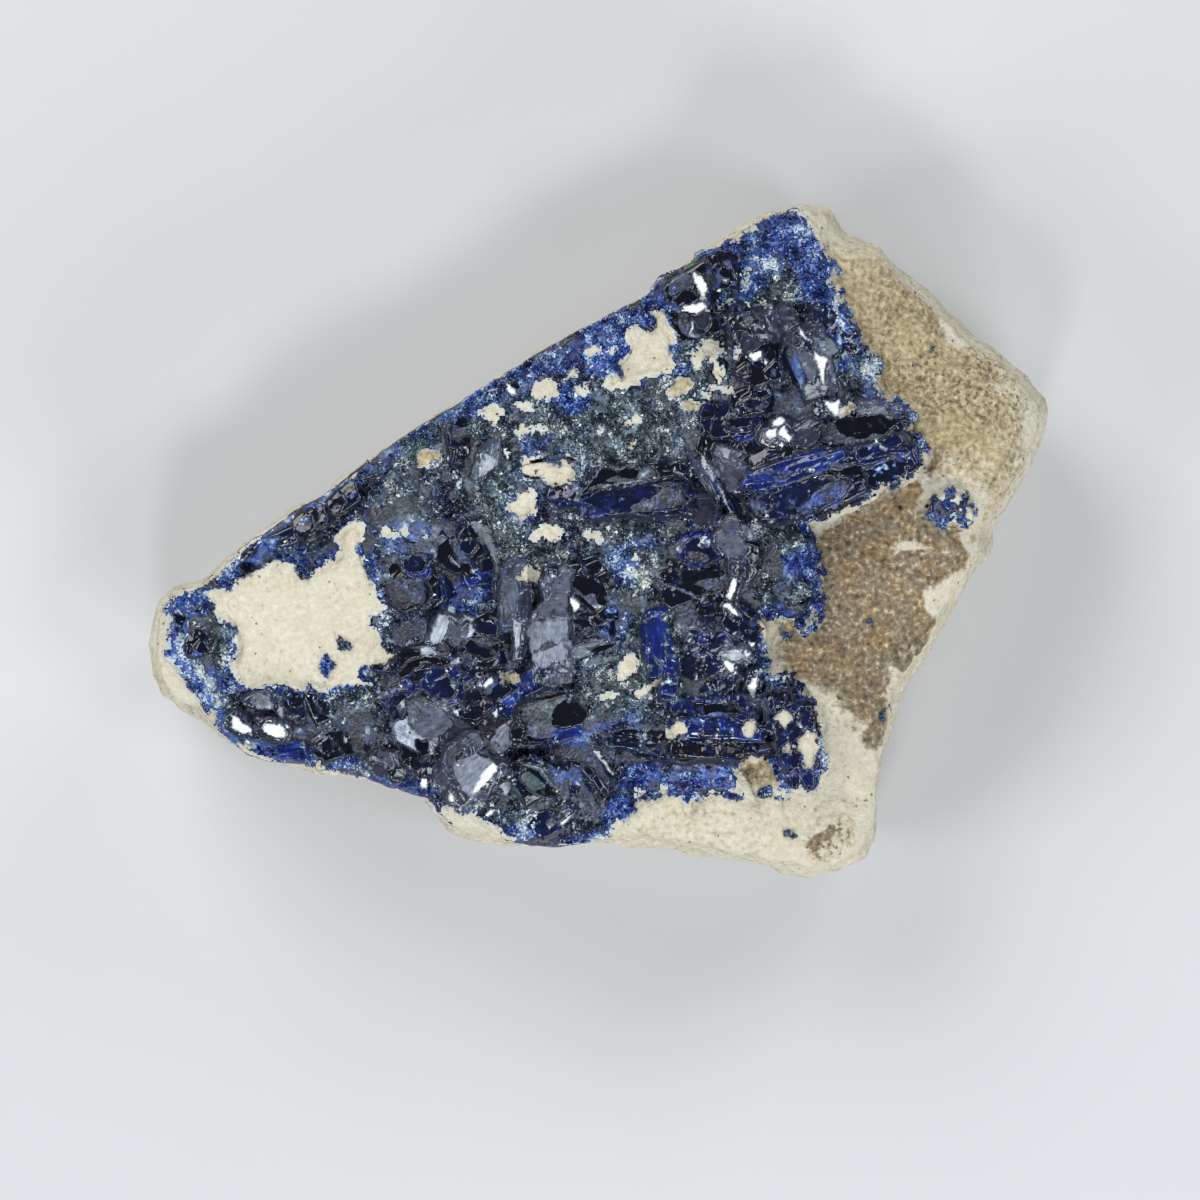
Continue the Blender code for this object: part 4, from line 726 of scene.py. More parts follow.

# %% [markdown]
# Some faces stand out so clearly in the photograph that their outlines are drawn here too, corner by corner:
# flashes of the lamp and smooth grey cleavages, both with a painted highlight, and black hollows. Each has a
# letter for its look, the heading of its growth lines and its corners in mm.

# %% Faces drawn corner by corner
FACETS = (
    # The cluster at the upper edge.
    ("w", 0, ((9.2, 26.8), (10.1, 26.5), (10.6, 25.1), (10.7, 23.3), (10.2, 23.1), (10.0, 24.1),
              (9.6, 25.4), (9.1, 26.1))),
    ("w", 0, ((8.0, 23.2), (9.0, 23.5), (10.2, 23.8), (10.7, 23.2), (10.0, 22.7), (9.3, 22.5),
              (8.2, 22.8))),
    ("k", 0, ((7.2, 23.9), (8.4, 25.1), (9.3, 24.9), (10.0, 24.0), (9.0, 23.5), (7.9, 23.3))),
    ("l", 0, ((9.2, 22.3), (10.6, 23.1), (11.1, 21.7), (10.6, 20.8), (9.8, 21.1), (9.2, 21.9))),
    ("h", 0, ((6.9, 23.1), (8.0, 22.8), (9.0, 22.3), (9.3, 21.1), (10.4, 20.7), (9.0, 19.9), (8.2, 19.6),
              (7.2, 20.6))),
    ("w", 0, ((9.1, 21.9), (9.4, 21.8), (9.0, 20.3), (8.7, 20.3))),
    ("m", 35, ((6.8, 25.6), (8.0, 26.7), (9.0, 26.4), (9.2, 25.3), (8.0, 24.8), (6.8, 24.4))),
    ("k", 0, ((10.6, 26.9), (11.6, 27.5), (13.0, 27.3), (13.5, 25.9), (12.8, 24.9), (11.0, 25.1),
              (10.4, 25.8))),
    ("w", 0, ((12.1, 26.0), (12.6, 26.0), (12.5, 25.6), (12.2, 25.7))),
    # The glassy crystals on the right.
    ("l", 60, ((14.2, 20.9), (16.1, 19.6), (15.5, 18.9), (14.3, 18.5), (13.7, 18.9))),
    ("w", 0, ((14.7, 18.6), (16.0, 18.8), (16.1, 18.3), (15.4, 17.8), (14.8, 18.1))),
    ("w", 0, ((16.4, 18.0), (16.7, 17.8), (16.6, 17.3), (16.3, 17.5))),
    ("l", 130, ((18.1, 21.4), (19.0, 20.7), (19.7, 20.1), (19.7, 19.7), (18.8, 19.6), (18.1, 20.6))),
    ("k", 0, ((18.0, 19.6), (19.3, 19.1), (20.0, 17.6), (20.6, 16.1), (20.0, 14.9), (19.0, 15.3),
              (18.2, 16.9), (17.8, 18.3))),
    ("g", 120, ((19.6, 19.3), (20.3, 19.1), (21.1, 18.4), (21.6, 17.5), (21.5, 16.3), (21.2, 15.6),
                (20.8, 15.8), (20.1, 17.1), (19.5, 18.6))),
    ("w", 0, ((21.3, 18.9), (22.0, 18.3), (22.6, 18.1), (22.4, 16.9), (22.4, 15.6), (22.1, 15.6),
              (21.8, 16.9), (21.2, 18.3))),
    ("v", 30, ((21.2, 20.3), (23.0, 20.1), (23.8, 18.9), (22.8, 18.3), (21.6, 19.1))),
    ("w", 0, ((19.7, 21.2), (20.1, 21.0), (20.8, 20.0), (20.6, 19.8), (19.9, 20.5))),
    ("v", 80, ((23.2, 18.1), (23.8, 18.3), (23.6, 16.9), (23.0, 16.1), (22.8, 16.9))),
    ("w", 0, ((17.8, 12.6), (18.5, 12.1), (17.8, 11.4), (17.3, 11.3), (17.2, 11.9))),
    ("w", 0, ((16.6, 11.0), (17.6, 11.1), (17.4, 10.3), (17.0, 10.1), (16.5, 10.4))),
    ("w", 0, ((18.3, 11.6), (18.7, 10.8), (19.2, 10.3), (18.8, 9.8), (18.0, 10.4), (17.7, 10.7))),
    ("w", 0, ((22.4, 13.9), (23.2, 13.7), (23.7, 14.1), (23.9, 13.3), (23.8, 12.3), (23.4, 12.3),
              (22.8, 13.0), (22.3, 13.6))),
    ("p", 0, ((21.2, 13.1), (21.8, 13.3), (22.1, 12.7), (21.6, 12.4))),
    ("l", 20, ((19.7, 10.9), (20.7, 11.3), (21.7, 11.1), (22.0, 10.3), (21.3, 9.5), (19.5, 9.3),
               (19.0, 9.8))),
    ("n", 0, ((14.2, 13.9), (15.2, 14.3), (16.2, 14.1), (16.6, 13.6), (15.8, 13.0), (14.6, 13.0))),
    ("n", 0, ((12.6, 12.1), (14.0, 12.4), (15.0, 12.2), (15.1, 11.3), (13.8, 11.1), (12.7, 11.1))),
    ("n", 0, ((15.6, 15.0), (16.6, 15.2), (17.0, 14.5), (16.2, 14.1), (15.6, 14.5))),
    ("m", 5, ((26.0, 13.6), (28.5, 13.8), (28.6, 13.4), (26.1, 13.2))),
    ("v", 5, ((25.8, 13.0), (28.4, 13.3), (28.7, 12.4), (26.2, 12.5))),
    ("k", 0, ((24.0, 12.3), (28.0, 12.7), (29.7, 11.7), (28.0, 10.1), (24.5, 9.6), (22.2, 10.1),
              (22.0, 11.3))),
    ("m", 150, ((11.6, 7.9), (13.5, 7.6), (14.6, 7.1), (14.2, 6.1), (13.5, 4.9), (12.7, 4.7), (12.2, 6.1))),
    ("p", 120, ((10.0, 8.7), (10.3, 8.5), (10.8, 7.5), (11.4, 6.3), (11.2, 6.0), (10.5, 6.9), (10.1, 7.9))),
    ("p", 0, ((11.5, 5.8), (11.8, 5.6), (12.8, 3.5), (12.5, 3.5))),
    ("k", 0, ((10.4, 9.3), (12.0, 8.1), (11.6, 7.1), (10.4, 8.5))),
    ("h", 0, ((14.5, 3.7), (15.2, 4.1), (16.2, 3.6), (16.4, 2.3), (15.6, 1.9), (14.8, 2.5))),
    ("n", 25, ((17.0, 4.9), (19.0, 5.4), (21.5, 6.1), (23.5, 6.3), (25.0, 5.9), (24.5, 4.7), (22.0, 3.3),
               (19.5, 2.4), (18.0, 2.7), (17.0, 3.6))),
    ("r", 20, ((17.2, 6.3), (19.0, 6.5), (21.5, 7.5), (22.8, 7.9), (22.6, 7.1), (20.5, 6.3), (18.5, 5.5),
               (17.3, 5.5))),
    ("n", 25, ((26.2, 7.1), (29.5, 8.6), (30.5, 7.9), (30.0, 6.3), (27.5, 4.9), (26.5, 5.6))),
    ("k", 0, ((23.0, 7.6), (26.0, 7.6), (26.5, 6.5), (24.0, 6.4), (22.6, 6.8))),
    ("w", 0, ((27.8, 9.6), (28.4, 9.2), (28.3, 8.9), (27.8, 9.2))),
    # The middle.
    ("v", 100, ((-13.0, 1.9), (-12.0, 1.9), (-11.0, 0.9), (-10.3, -0.7), (-10.0, -1.9), (-9.9, -3.4),
                (-9.6, -4.9), (-9.0, -5.9), (-8.8, -7.1), (-9.0, -7.7), (-9.5, -8.1), (-10.3, -7.7),
                (-10.4, -5.9), (-10.3, -3.4), (-10.7, -2.1), (-11.2, -0.7), (-12.2, 0.6))),
    ("g", 90, ((-9.9, -3.4), (-8.2, -4.0), (-8.0, -6.5), (-8.2, -7.4), (-8.8, -7.1), (-9.5, -5.4))),
    ("g", 0, ((-4.8, -4.4), (-4.2, -3.4), (-3.4, -2.7), (-2.9, -3.4), (-2.8, -4.9), (-3.1, -6.1),
              (-3.2, -7.5), (-6.3, -7.5), (-6.0, -6.5), (-5.1, -5.7))),
    ("q", 80, ((-7.3, -8.1), (-6.3, -7.6), (-3.2, -7.6), (-3.2, -9.5), (-4.0, -9.9), (-3.4, -10.9),
               (-3.7, -12.3), (-4.5, -11.9), (-5.2, -12.7), (-6.0, -12.7), (-6.7, -11.9), (-7.0, -10.4),
               (-7.3, -9.3))),
    ("h", 0, ((-3.2, -5.1), (-2.9, -5.1), (-2.8, -9.8), (-3.1, -9.8))),
    ("k", 0, ((-2.8, -3.4), (-1.0, -3.5), (0.5, -4.4), (1.0, -5.9), (-0.2, -7.1), (-1.7, -6.5),
              (-2.4, -5.6), (-3.0, -4.9))),
    ("k", 0, ((-2.8, -7.5), (-1.0, -7.9), (-0.2, -8.9), (-1.5, -9.5), (-2.7, -9.1))),
    ("w", 0, ((-3.1, -5.3), (-2.4, -5.9), (-1.9, -6.6), (-2.7, -7.1), (-3.0, -6.4))),
    ("v", 15, ((-3.0, -10.9), (-0.2, -9.9), (0.3, -10.4), (-2.0, -11.4), (-2.9, -11.6))),
    ("k", 15, ((-1.5, -10.7), (1.2, -10.1), (1.8, -10.7), (0.0, -11.4))),
    ("v", 10, ((-2.0, -12.1), (0.0, -11.4), (2.0, -11.4), (1.2, -12.2), (-1.5, -12.7))),
    ("p", 70, ((-16.0, -7.2), (-15.0, -7.6), (-15.3, -9.1), (-15.9, -10.1), (-16.6, -10.4), (-16.9, -9.9),
               (-16.8, -8.9), (-16.3, -7.9))),
    ("m", 50, ((-14.9, -7.9), (-13.8, -8.7), (-12.8, -8.2), (-13.5, -9.7), (-14.5, -9.9), (-15.4, -9.5))),
    ("p", 60, ((-12.8, -8.1), (-12.3, -8.9), (-12.9, -9.7), (-13.4, -9.8), (-13.1, -8.9))),
    ("n", 0, ((-12.2, -8.1), (-10.8, -8.0), (-9.8, -8.5), (-10.2, -9.4), (-11.8, -9.5), (-12.4, -8.9))),
    ("k", 0, ((-13.0, -9.6), (-11.5, -9.3), (-10.0, -9.9), (-10.0, -11.4), (-11.2, -11.9), (-12.8, -11.4),
              (-13.5, -10.4))),
    ("p", 85, ((-8.6, -7.9), (-7.9, -8.1), (-7.8, -9.1), (-8.0, -10.4), (-8.3, -11.1), (-8.5, -9.9),
               (-8.6, -8.9))),
    ("k", 0, ((-9.8, -8.7), (-8.7, -8.7), (-8.6, -10.4), (-8.8, -11.4), (-9.6, -10.9))),
    ("p", 0, ((-17.9, -10.7), (-16.8, -10.5), (-16.0, -11.5), (-16.8, -11.4), (-17.8, -11.4))),
    ("k", 0, ((-20.5, -13.3), (-19.0, -11.9), (-17.5, -11.4), (-15.8, -11.6), (-14.5, -12.1),
              (-15.5, -12.6), (-17.5, -12.3), (-19.0, -13.3), (-20.5, -14.3))),
    ("w", 0, ((-11.2, -13.7), (-10.8, -13.5), (-10.6, -14.1), (-10.9, -14.8), (-11.3, -14.8),
              (-11.6, -14.3))),
    ("w", 0, ((-15.2, -6.5), (-14.4, -6.7), (-14.5, -7.3), (-15.2, -7.1))),
    ("p", 0, ((-15.0, -12.0), (-13.9, -11.4), (-14.1, -12.2), (-14.8, -12.5))),
    ("n", 0, ((-14.1, -12.1), (-13.4, -11.9), (-12.9, -12.5), (-13.2, -13.4), (-13.8, -13.1),
              (-14.2, -12.7))),
    ("n", 0, ((-16.4, -13.9), (-15.2, -13.3), (-14.2, -14.1), (-14.4, -15.5), (-16.0, -15.9),
              (-16.8, -15.4))),
    ("n", 0, ((-11.8, -14.9), (-10.4, -14.0), (-9.0, -14.2), (-8.6, -15.0), (-9.6, -15.7), (-11.4, -15.9))),
    # The hollow left of the middle, and the upper left band.
    ("h", 0, ((-21.2, -4.2), (-20.0, -3.7), (-17.2, -3.9), (-16.8, -5.4), (-17.5, -6.5), (-20.2, -6.5),
              (-21.1, -5.6))),
    ("k", 0, ((-16.8, 0.1), (-14.5, 0.6), (-13.0, -1.9), (-12.2, -3.7), (-14.5, -3.4), (-16.5, -1.9))),
    ("n", 0, ((-19.8, -1.9), (-18.2, -1.2), (-17.0, -1.9), (-17.5, -3.2), (-19.0, -3.3), (-19.8, -2.7))),
    ("n", 0, ((-14.0, 0.0), (-12.4, 0.1), (-12.2, -0.7), (-13.0, -1.5), (-14.0, -1.1))),
    ("n", 0, ((-12.1, -1.9), (-11.0, -1.1), (-10.5, -2.4), (-10.6, -3.1), (-12.0, -3.1))),
    ("w", 0, ((-14.9, -1.6), (-14.3, -2.1), (-14.0, -2.5), (-14.5, -2.3))),
    ("w", 0, ((-12.8, -2.7), (-12.4, -2.9), (-12.5, -3.2), (-12.8, -3.1))),
    ("h", 0, ((-24.0, 6.2), (-21.0, 6.9), (-18.5, 6.4), (-16.5, 5.1), (-14.8, 3.2), (-15.2, 3.0),
              (-17.5, 4.4), (-19.5, 5.9), (-21.5, 6.2), (-24.0, 5.8))),
    ("p", 60, ((-11.5, 8.7), (-11.0, 8.6), (-10.4, 8.1), (-10.6, 7.1), (-11.5, 6.6), (-12.2, 6.3),
               (-12.0, 7.5))),
    ("h", 0, ((-13.5, 8.1), (-12.0, 8.1), (-12.2, 6.3), (-12.0, 5.1), (-13.2, 4.6), (-14.0, 6.1))),
    ("k", 0, ((-14.2, 12.6), (-13.0, 12.3), (-13.2, 10.6), (-14.5, 10.1), (-15.0, 11.1))),
    ("k", 0, ((-9.2, 16.1), (-8.0, 15.9), (-8.0, 14.3), (-8.6, 14.1))),
    ("w", 0, ((-9.4, 16.0), (-8.5, 15.2), (-8.3, 14.5), (-8.8, 14.4), (-9.6, 15.2))),
    ("p", 0, ((-11.8, 15.0), (-9.8, 15.3), (-9.8, 15.0), (-11.8, 14.7))),
    ("w", 0, ((-9.8, 9.4), (-9.2, 9.1), (-8.9, 8.2), (-9.3, 8.2), (-9.6, 8.8))),
    ("h", 0, ((-9.9, 8.0), (-8.7, 8.0), (-8.8, 7.1), (-9.7, 7.2))),
    # Towards the lower left.
    ("g", 20, ((-19.2, -16.4), (-18.0, -15.9), (-15.5, -17.1), (-14.5, -18.1), (-15.3, -19.1),
               (-16.8, -19.7), (-18.0, -19.4), (-19.0, -18.1))),
    ("n", 0, ((-21.0, -15.5), (-19.4, -15.0), (-19.2, -17.4), (-20.6, -18.2), (-21.2, -16.8))),
    ("n", 0, ((-18.4, -19.9), (-17.2, -19.8), (-16.9, -21.4), (-18.0, -21.6))),
    ("q", 45, ((-12.2, -21.1), (-11.0, -21.5), (-10.3, -22.4), (-11.1, -23.5), (-12.0, -24.7),
               (-12.6, -25.7), (-13.5, -24.9), (-14.5, -23.4), (-14.7, -22.4), (-13.5, -21.6))),
    ("w", 0, ((-10.6, -21.9), (-10.1, -22.9), (-11.0, -23.7), (-12.0, -24.9), (-12.6, -25.4),
              (-12.7, -24.9), (-12.0, -23.7), (-11.3, -22.5))),
    ("w", 0, ((-18.0, -23.7), (-17.0, -23.5), (-17.3, -24.9), (-17.8, -24.9), (-18.1, -24.3))),
    ("w", 0, ((-15.0, -24.9), (-14.5, -25.4), (-14.3, -26.2), (-14.9, -26.1), (-15.2, -25.5))),
    ("p", 0, ((-9.1, -23.7), (-8.8, -24.4), (-9.2, -25.4), (-9.7, -25.3), (-10.1, -24.4))),
    ("w", 0, ((-11.6, -27.3), (-10.8, -26.5), (-10.4, -27.0), (-11.0, -27.5), (-11.6, -27.7))),
    ("g", 60, ((-15.1, -20.4), (-14.0, -20.1), (-13.7, -21.1), (-14.5, -22.4), (-15.0, -22.7),
               (-15.4, -21.9))),
    ("q", 50, ((-10.3, -18.7), (-9.4, -18.1), (-8.8, -18.7), (-9.2, -19.7), (-10.0, -20.9), (-11.2, -21.6),
               (-12.2, -21.1), (-11.0, -20.1), (-10.4, -19.4))),
    ("w", 0, ((-10.8, -17.1), (-10.2, -16.7), (-10.1, -17.5), (-10.5, -17.7))),
    ("w", 0, ((-12.0, -18.6), (-11.6, -19.2), (-11.5, -19.9), (-11.9, -19.6))),
    ("p", 0, ((-17.2, -22.5), (-16.2, -22.7), (-16.6, -23.5), (-17.3, -23.3))),
    ("w", 0, ((-22.6, -18.5), (-22.2, -18.5), (-22.3, -19.0), (-22.6, -18.9))),
    ("l", 40, ((-22.8, -21.9), (-21.5, -22.3), (-20.9, -23.1), (-21.3, -24.3), (-22.4, -23.5),
               (-22.9, -22.6))),
    ("h", 0, ((-22.0, -13.0), (-20.4, -13.1), (-19.8, -14.4), (-21.8, -14.9))),
    ("k", 0, ((-21.8, -20.1), (-20.2, -20.2), (-20.1, -21.1), (-21.6, -20.9))),
    ("h", 0, ((-24.4, -16.3), (-23.0, -16.5), (-22.8, -17.6), (-24.2, -17.7))),
    ("w", 0, ((-25.6, -17.4), (-25.2, -17.5), (-25.3, -18.1), (-25.6, -18.0))),
    ("p", 0, ((-25.5, -19.5), (-25.0, -19.6), (-25.1, -20.1), (-25.5, -20.0))),
    # The lobes at the lower edge.
    ("k", 0, ((-7.0, -15.9), (-5.5, -15.2), (-3.5, -14.9), (-2.0, -15.9), (-1.0, -17.4), (-1.4, -18.1),
              (-2.5, -18.7), (-5.5, -18.7), (-7.8, -18.1), (-8.0, -16.9))),
    ("r", 0, ((-7.6, -18.3), (-4.0, -18.7), (-1.5, -18.3), (-1.8, -19.5), (-4.0, -20.1), (-7.0, -19.9))),
    ("h", 0, ((-4.7, -20.1), (-2.5, -20.0), (-1.0, -20.4), (0.0, -21.1), (1.2, -23.1), (1.9, -24.3),
              (1.2, -24.5), (0.0, -23.4), (-1.0, -22.4), (-2.5, -21.7), (-4.4, -21.7))),
    ("k", 0, ((-7.6, -22.2), (-5.8, -22.8), (-5.0, -24.2), (-3.8, -25.4), (-5.5, -25.7), (-7.0, -24.7),
              (-7.9, -23.7))),
    ("v", 0, ((-8.0, -22.0), (-5.7, -22.6), (-5.0, -23.8), (-3.8, -24.9), (-3.9, -25.2), (-5.2, -24.1),
              (-5.9, -22.9), (-8.0, -22.3))),
    ("p", 0, ((-0.8, -20.6), (0.0, -20.9), (0.8, -22.1), (1.5, -23.4), (1.2, -23.5), (0.2, -22.1),
              (-0.6, -21.3))),
    ("w", 0, ((-4.0, -28.2), (-3.0, -27.3), (-2.8, -27.5), (-3.8, -28.4))),
    ("w", 0, ((-2.8, -28.0), (-2.5, -28.1), (-2.6, -29.1), (-2.9, -28.6))),
    ("r", 0, ((-5.5, -20.1), (-4.9, -19.9), (-4.7, -21.4), (-5.3, -21.2))),
    # The long blades and right of the middle.
    ("k", 8, ((-2.5, 4.1), (0.0, 7.1), (2.0, 7.3), (4.0, 7.1), (5.0, 7.3), (5.8, 6.6), (5.5, 6.1),
              (2.0, 5.7), (-0.5, 5.1))),
    ("n", 5, ((-2.0, 3.9), (0.0, 5.1), (4.0, 5.7), (8.0, 5.3), (8.8, 4.1), (8.0, 3.3), (4.0, 2.6),
              (0.0, 2.9))),
    ("v", 0, ((-1.0, 5.2), (2.0, 5.9), (5.2, 6.2), (5.2, 6.0), (2.0, 5.6), (-1.0, 5.0))),
    ("w", 0, ((5.0, 6.2), (5.5, 6.5), (5.6, 6.1))),
    ("l", 0, ((8.8, 3.6), (9.5, 4.3), (11.0, 4.3), (11.8, 3.3), (11.4, 1.6), (10.0, 1.1), (9.0, 1.9))),
    ("m", 0, ((11.6, 1.9), (13.5, 2.1), (14.2, 0.9), (12.0, 1.1))),
    ("g", 30, ((11.2, 0.4), (12.2, 1.1), (13.5, 0.9), (14.5, -0.4), (14.8, -1.1), (13.5, -1.5),
               (12.5, -1.7), (12.0, -0.7), (11.2, 0.1))),
    ("n", 90, ((8.3, -0.4), (9.5, 0.4), (11.2, -0.4), (12.0, -1.9), (10.5, -2.4), (9.0, -1.9))),
    ("k", 0, ((8.0, -2.7), (12.6, -3.0), (12.8, -4.6), (10.0, -5.6), (7.5, -4.6))),
    ("v", 0, ((4.8, -3.9), (8.0, -4.7), (10.0, -5.7), (11.5, -4.7), (10.0, -5.9), (8.0, -4.9),
              (4.8, -4.1))),
    ("h", 0, ((1.0, -4.9), (3.0, -5.3), (5.5, -6.2), (5.0, -6.6), (2.5, -5.9), (1.0, -5.5))),
    ("r", 90, ((4.8, -7.7), (6.0, -7.1), (6.5, -9.9), (6.4, -12.7), (5.2, -11.4), (4.8, -9.9))),
    ("w", 0, ((13.2, -3.6), (13.7, -3.9), (13.5, -5.1), (12.9, -5.9), (12.6, -5.6), (12.8, -4.7))),
    ("w", 0, ((12.5, -6.2), (13.0, -6.2), (13.6, -6.9), (13.9, -7.6), (13.3, -7.3), (12.7, -6.9),
              (12.1, -6.6))),
    ("p", 10, ((12.6, -10.9), (14.0, -10.8), (14.6, -11.4), (13.8, -11.9), (12.2, -11.9), (12.0, -11.4))),
    ("w", 0, ((12.2, -11.9), (13.5, -12.2), (13.1, -13.2), (12.6, -12.8))),
    ("w", 0, ((14.3, -10.9), (15.0, -11.1), (14.5, -11.7))),
    ("w", 0, ((14.2, -12.1), (14.8, -12.1), (14.5, -12.7))),
    ("w", 0, ((14.8, -9.9), (15.4, -10.2), (15.0, -10.6))),
    ("w", 0, ((15.2, -13.5), (15.7, -13.7), (15.4, -15.7), (15.0, -15.6), (14.7, -14.4))),
    ("w", 0, ((15.9, -13.9), (16.2, -13.9), (15.9, -15.4), (15.6, -15.6))),
    ("q", 100, ((15.8, -15.9), (16.4, -15.9), (16.8, -17.4), (16.4, -18.4), (16.0, -17.1))),
    ("k", 0, ((9.2, -16.1), (13.5, -16.1), (14.0, -17.2), (9.6, -17.6))),
    ("h", 0, ((14.8, -16.4), (16.0, -16.6), (16.2, -18.4), (15.0, -18.2))),
    # The left end.
    ("h", 0, ((-42.5, -4.3), (-41.0, -4.0), (-38.0, -4.2), (-37.2, -4.7), (-38.0, -5.0), (-39.5, -4.7),
              (-42.0, -4.9))),
    ("h", 0, ((-34.5, -1.4), (-33.5, 0.2), (-31.8, 0.2), (-32.5, -1.9), (-33.8, -2.9), (-35.2, -3.2),
              (-36.0, -2.4))),
    ("k", 0, ((-42.8, -6.9), (-41.5, -7.4), (-40.2, -8.4), (-41.0, -9.4), (-42.6, -8.2))),
    ("w", 0, ((-41.1, -7.9), (-40.8, -7.9), (-40.7, -8.7), (-41.1, -8.7))),
    ("p", 0, ((-39.2, -13.6), (-38.4, -13.5), (-38.2, -14.5), (-38.6, -14.9), (-39.2, -14.6))),
    ("w", 0, ((-36.8, -17.4), (-36.0, -17.5), (-34.8, -18.6), (-34.5, -19.1), (-35.4, -19.2),
              (-36.5, -18.6))),
    ("w", 0, ((-33.6, -18.6), (-33.0, -18.1), (-31.9, -18.2), (-31.2, -19.1), (-31.5, -19.6),
              (-32.2, -19.5), (-33.3, -19.1))),
    ("v", 0, ((-34.6, -15.7), (-33.9, -15.1), (-33.4, -15.7), (-33.7, -16.3), (-34.6, -16.3))),
    ("v", 0, ((-33.6, -15.9), (-33.0, -15.2), (-32.8, -15.9), (-32.8, -16.3), (-33.5, -16.3))),
    ("w", 0, ((-34.0, -16.4), (-32.8, -16.4), (-32.8, -16.6), (-34.0, -16.6))),
    ("h", 0, ((-35.8, -16.4), (-34.0, -16.8), (-32.6, -16.9), (-32.0, -17.4), (-33.0, -17.7),
              (-35.0, -17.2))),
    ("p", 100, ((-32.0, -16.2), (-31.6, -16.6), (-31.4, -17.6), (-31.6, -17.8), (-32.0, -17.2))),
    ("p", 0, ((-35.4, -19.7), (-34.8, -19.6), (-34.2, -20.1), (-34.0, -20.9), (-35.0, -20.8),
              (-35.7, -20.3))),
    ("r", 0, ((-33.5, -20.1), (-32.7, -20.0), (-32.6, -21.2), (-33.3, -21.4))),
)

# For each letter: how blue the inside is, how much painted highlight the face has, how high it stands and
# how far it leans, in mm and degrees. h is a black hollow, k black glass, n navy, r royal blue, l, m, g and v
# greys from dark to light, q lilac, p pale, w the white flash of a lamp: these last are painted highlights.
FACET_LOOKS = {
    "h": (0.0, 0.0, -0.8, 3), "k": (0.1, 0.0, 0.10, 5), "n": (0.62, 0.0, 0.15, 6), "r": (1.05, 0.0, 0.2, 8),
    "l": (0.2, 0.30, 0.3, 5), "m": (0.2, 0.42, 0.3, 6), "g": (0.3, 0.49, 0.35, 8), "v": (0.5, 0.61, 0.3, 8),
    "q": (0.1, 0.69, 0.35, 9), "p": (0.4, 0.82, 0.4, 10), "w": (0.5, 1.0, 0.5, 20),
}
FLASH_HEADING = 262  # of the lamp that the white faces mirror
KEY_HEADING = 125
print("faces drawn by hand:", len(FACETS))

# %% [markdown]
# The face is built on a net: an even grid seen from above, with a height and a look at each of its points.
# A ray from above tells how high a surface reaches at a place.

# %% Helpers for the net


def top_at(tree, x, y):
    """Height of a surface at a place seen from above, in mm, or None."""
    hit = tree.ray_cast(Vector((x, y, 60)) * MM, Vector((0, 0, -1)))[0]
    return None if hit is None else hit.z / MM


def object_from(mesh, name, material):
    """Finishes a bmesh that is in millimetres as an object."""
    bmesh.ops.scale(mesh, vec=(MM, MM, MM), verts=mesh.verts)
    data = bpy.data.meshes.new(name)
    mesh.to_mesh(data)
    mesh.free()
    data.materials.append(material)
    obj = bpy.data.objects.new(name, data)
    bpy.context.scene.collection.objects.link(obj)
    return obj


# %% [markdown]
# The face of the specimen is one fine net of points, an eighth of a millimetre apart. The maps below say what
# grows where on it. They are tables of ellipses again: x, y, two half lengths, heading, strength.

# %% Maps of what grows where
# Bare sandstone that shows through the azurite in places too small for the CAD.
SAND_SPOTS = (
    (11.4, 18.6, 1.0, 2.2, 100, 0.9), (11.8, 16.6, 0.6, 1.4, 0, 0.9), (7.4, -18.4, 1.0, 0.7, 0, 1.0),
    (14.9, -18.5, 0.8, 1.2, 0, 0.9), (20.8, -20.8, 0.9, 1.7, 10, 0.9),
    (18.7, -20.9, 0.4, 0.4, 0, 1.0), (-4.8, 0.6, 1.3, 0.8, 0, 0.9), (-7.0, -3.6, 1.0, 0.7, 0, 1.0),
    (-0.5, 0.6, 0.5, 0.5, 0, 0.9), (12.2, 23.6, 1.6, 0.8, 0, 0.5), (14.6, 26.2, 0.9, 1.2, 0, 0.35),
    (-20.9, -6.6, 0.7, 1.0, 0, 0.8), (-21.6, -9.9, 1.0, 1.4, 0, 0.7),
    (-12.4, -28.6, 2.4, 0.9, -8, 1.0), (-14.6, -27.4, 1.2, 0.8, 0, 0.9), (15.2, -23.0, 1.6, 2.0, 20, 1.0),
    (1.8, 19.6, 1.0, 1.0, 0, 0.8), (-9.0, -13.9, 1.3, 0.5, 0, 0.6), (24.9, 13.3, 0.9, 0.9, 0, 0.8),
    (-34.0, -16.0, 0.3, 0.3, 0, 0.4), (-25.4, -15.6, 2.0, 0.9, 20, 0.5),
    (3.6, -1.4, 0.6, 0.6, 0, 0.7), (-14.2, 6.2, 0.7, 0.7, 0, 0.5),
)
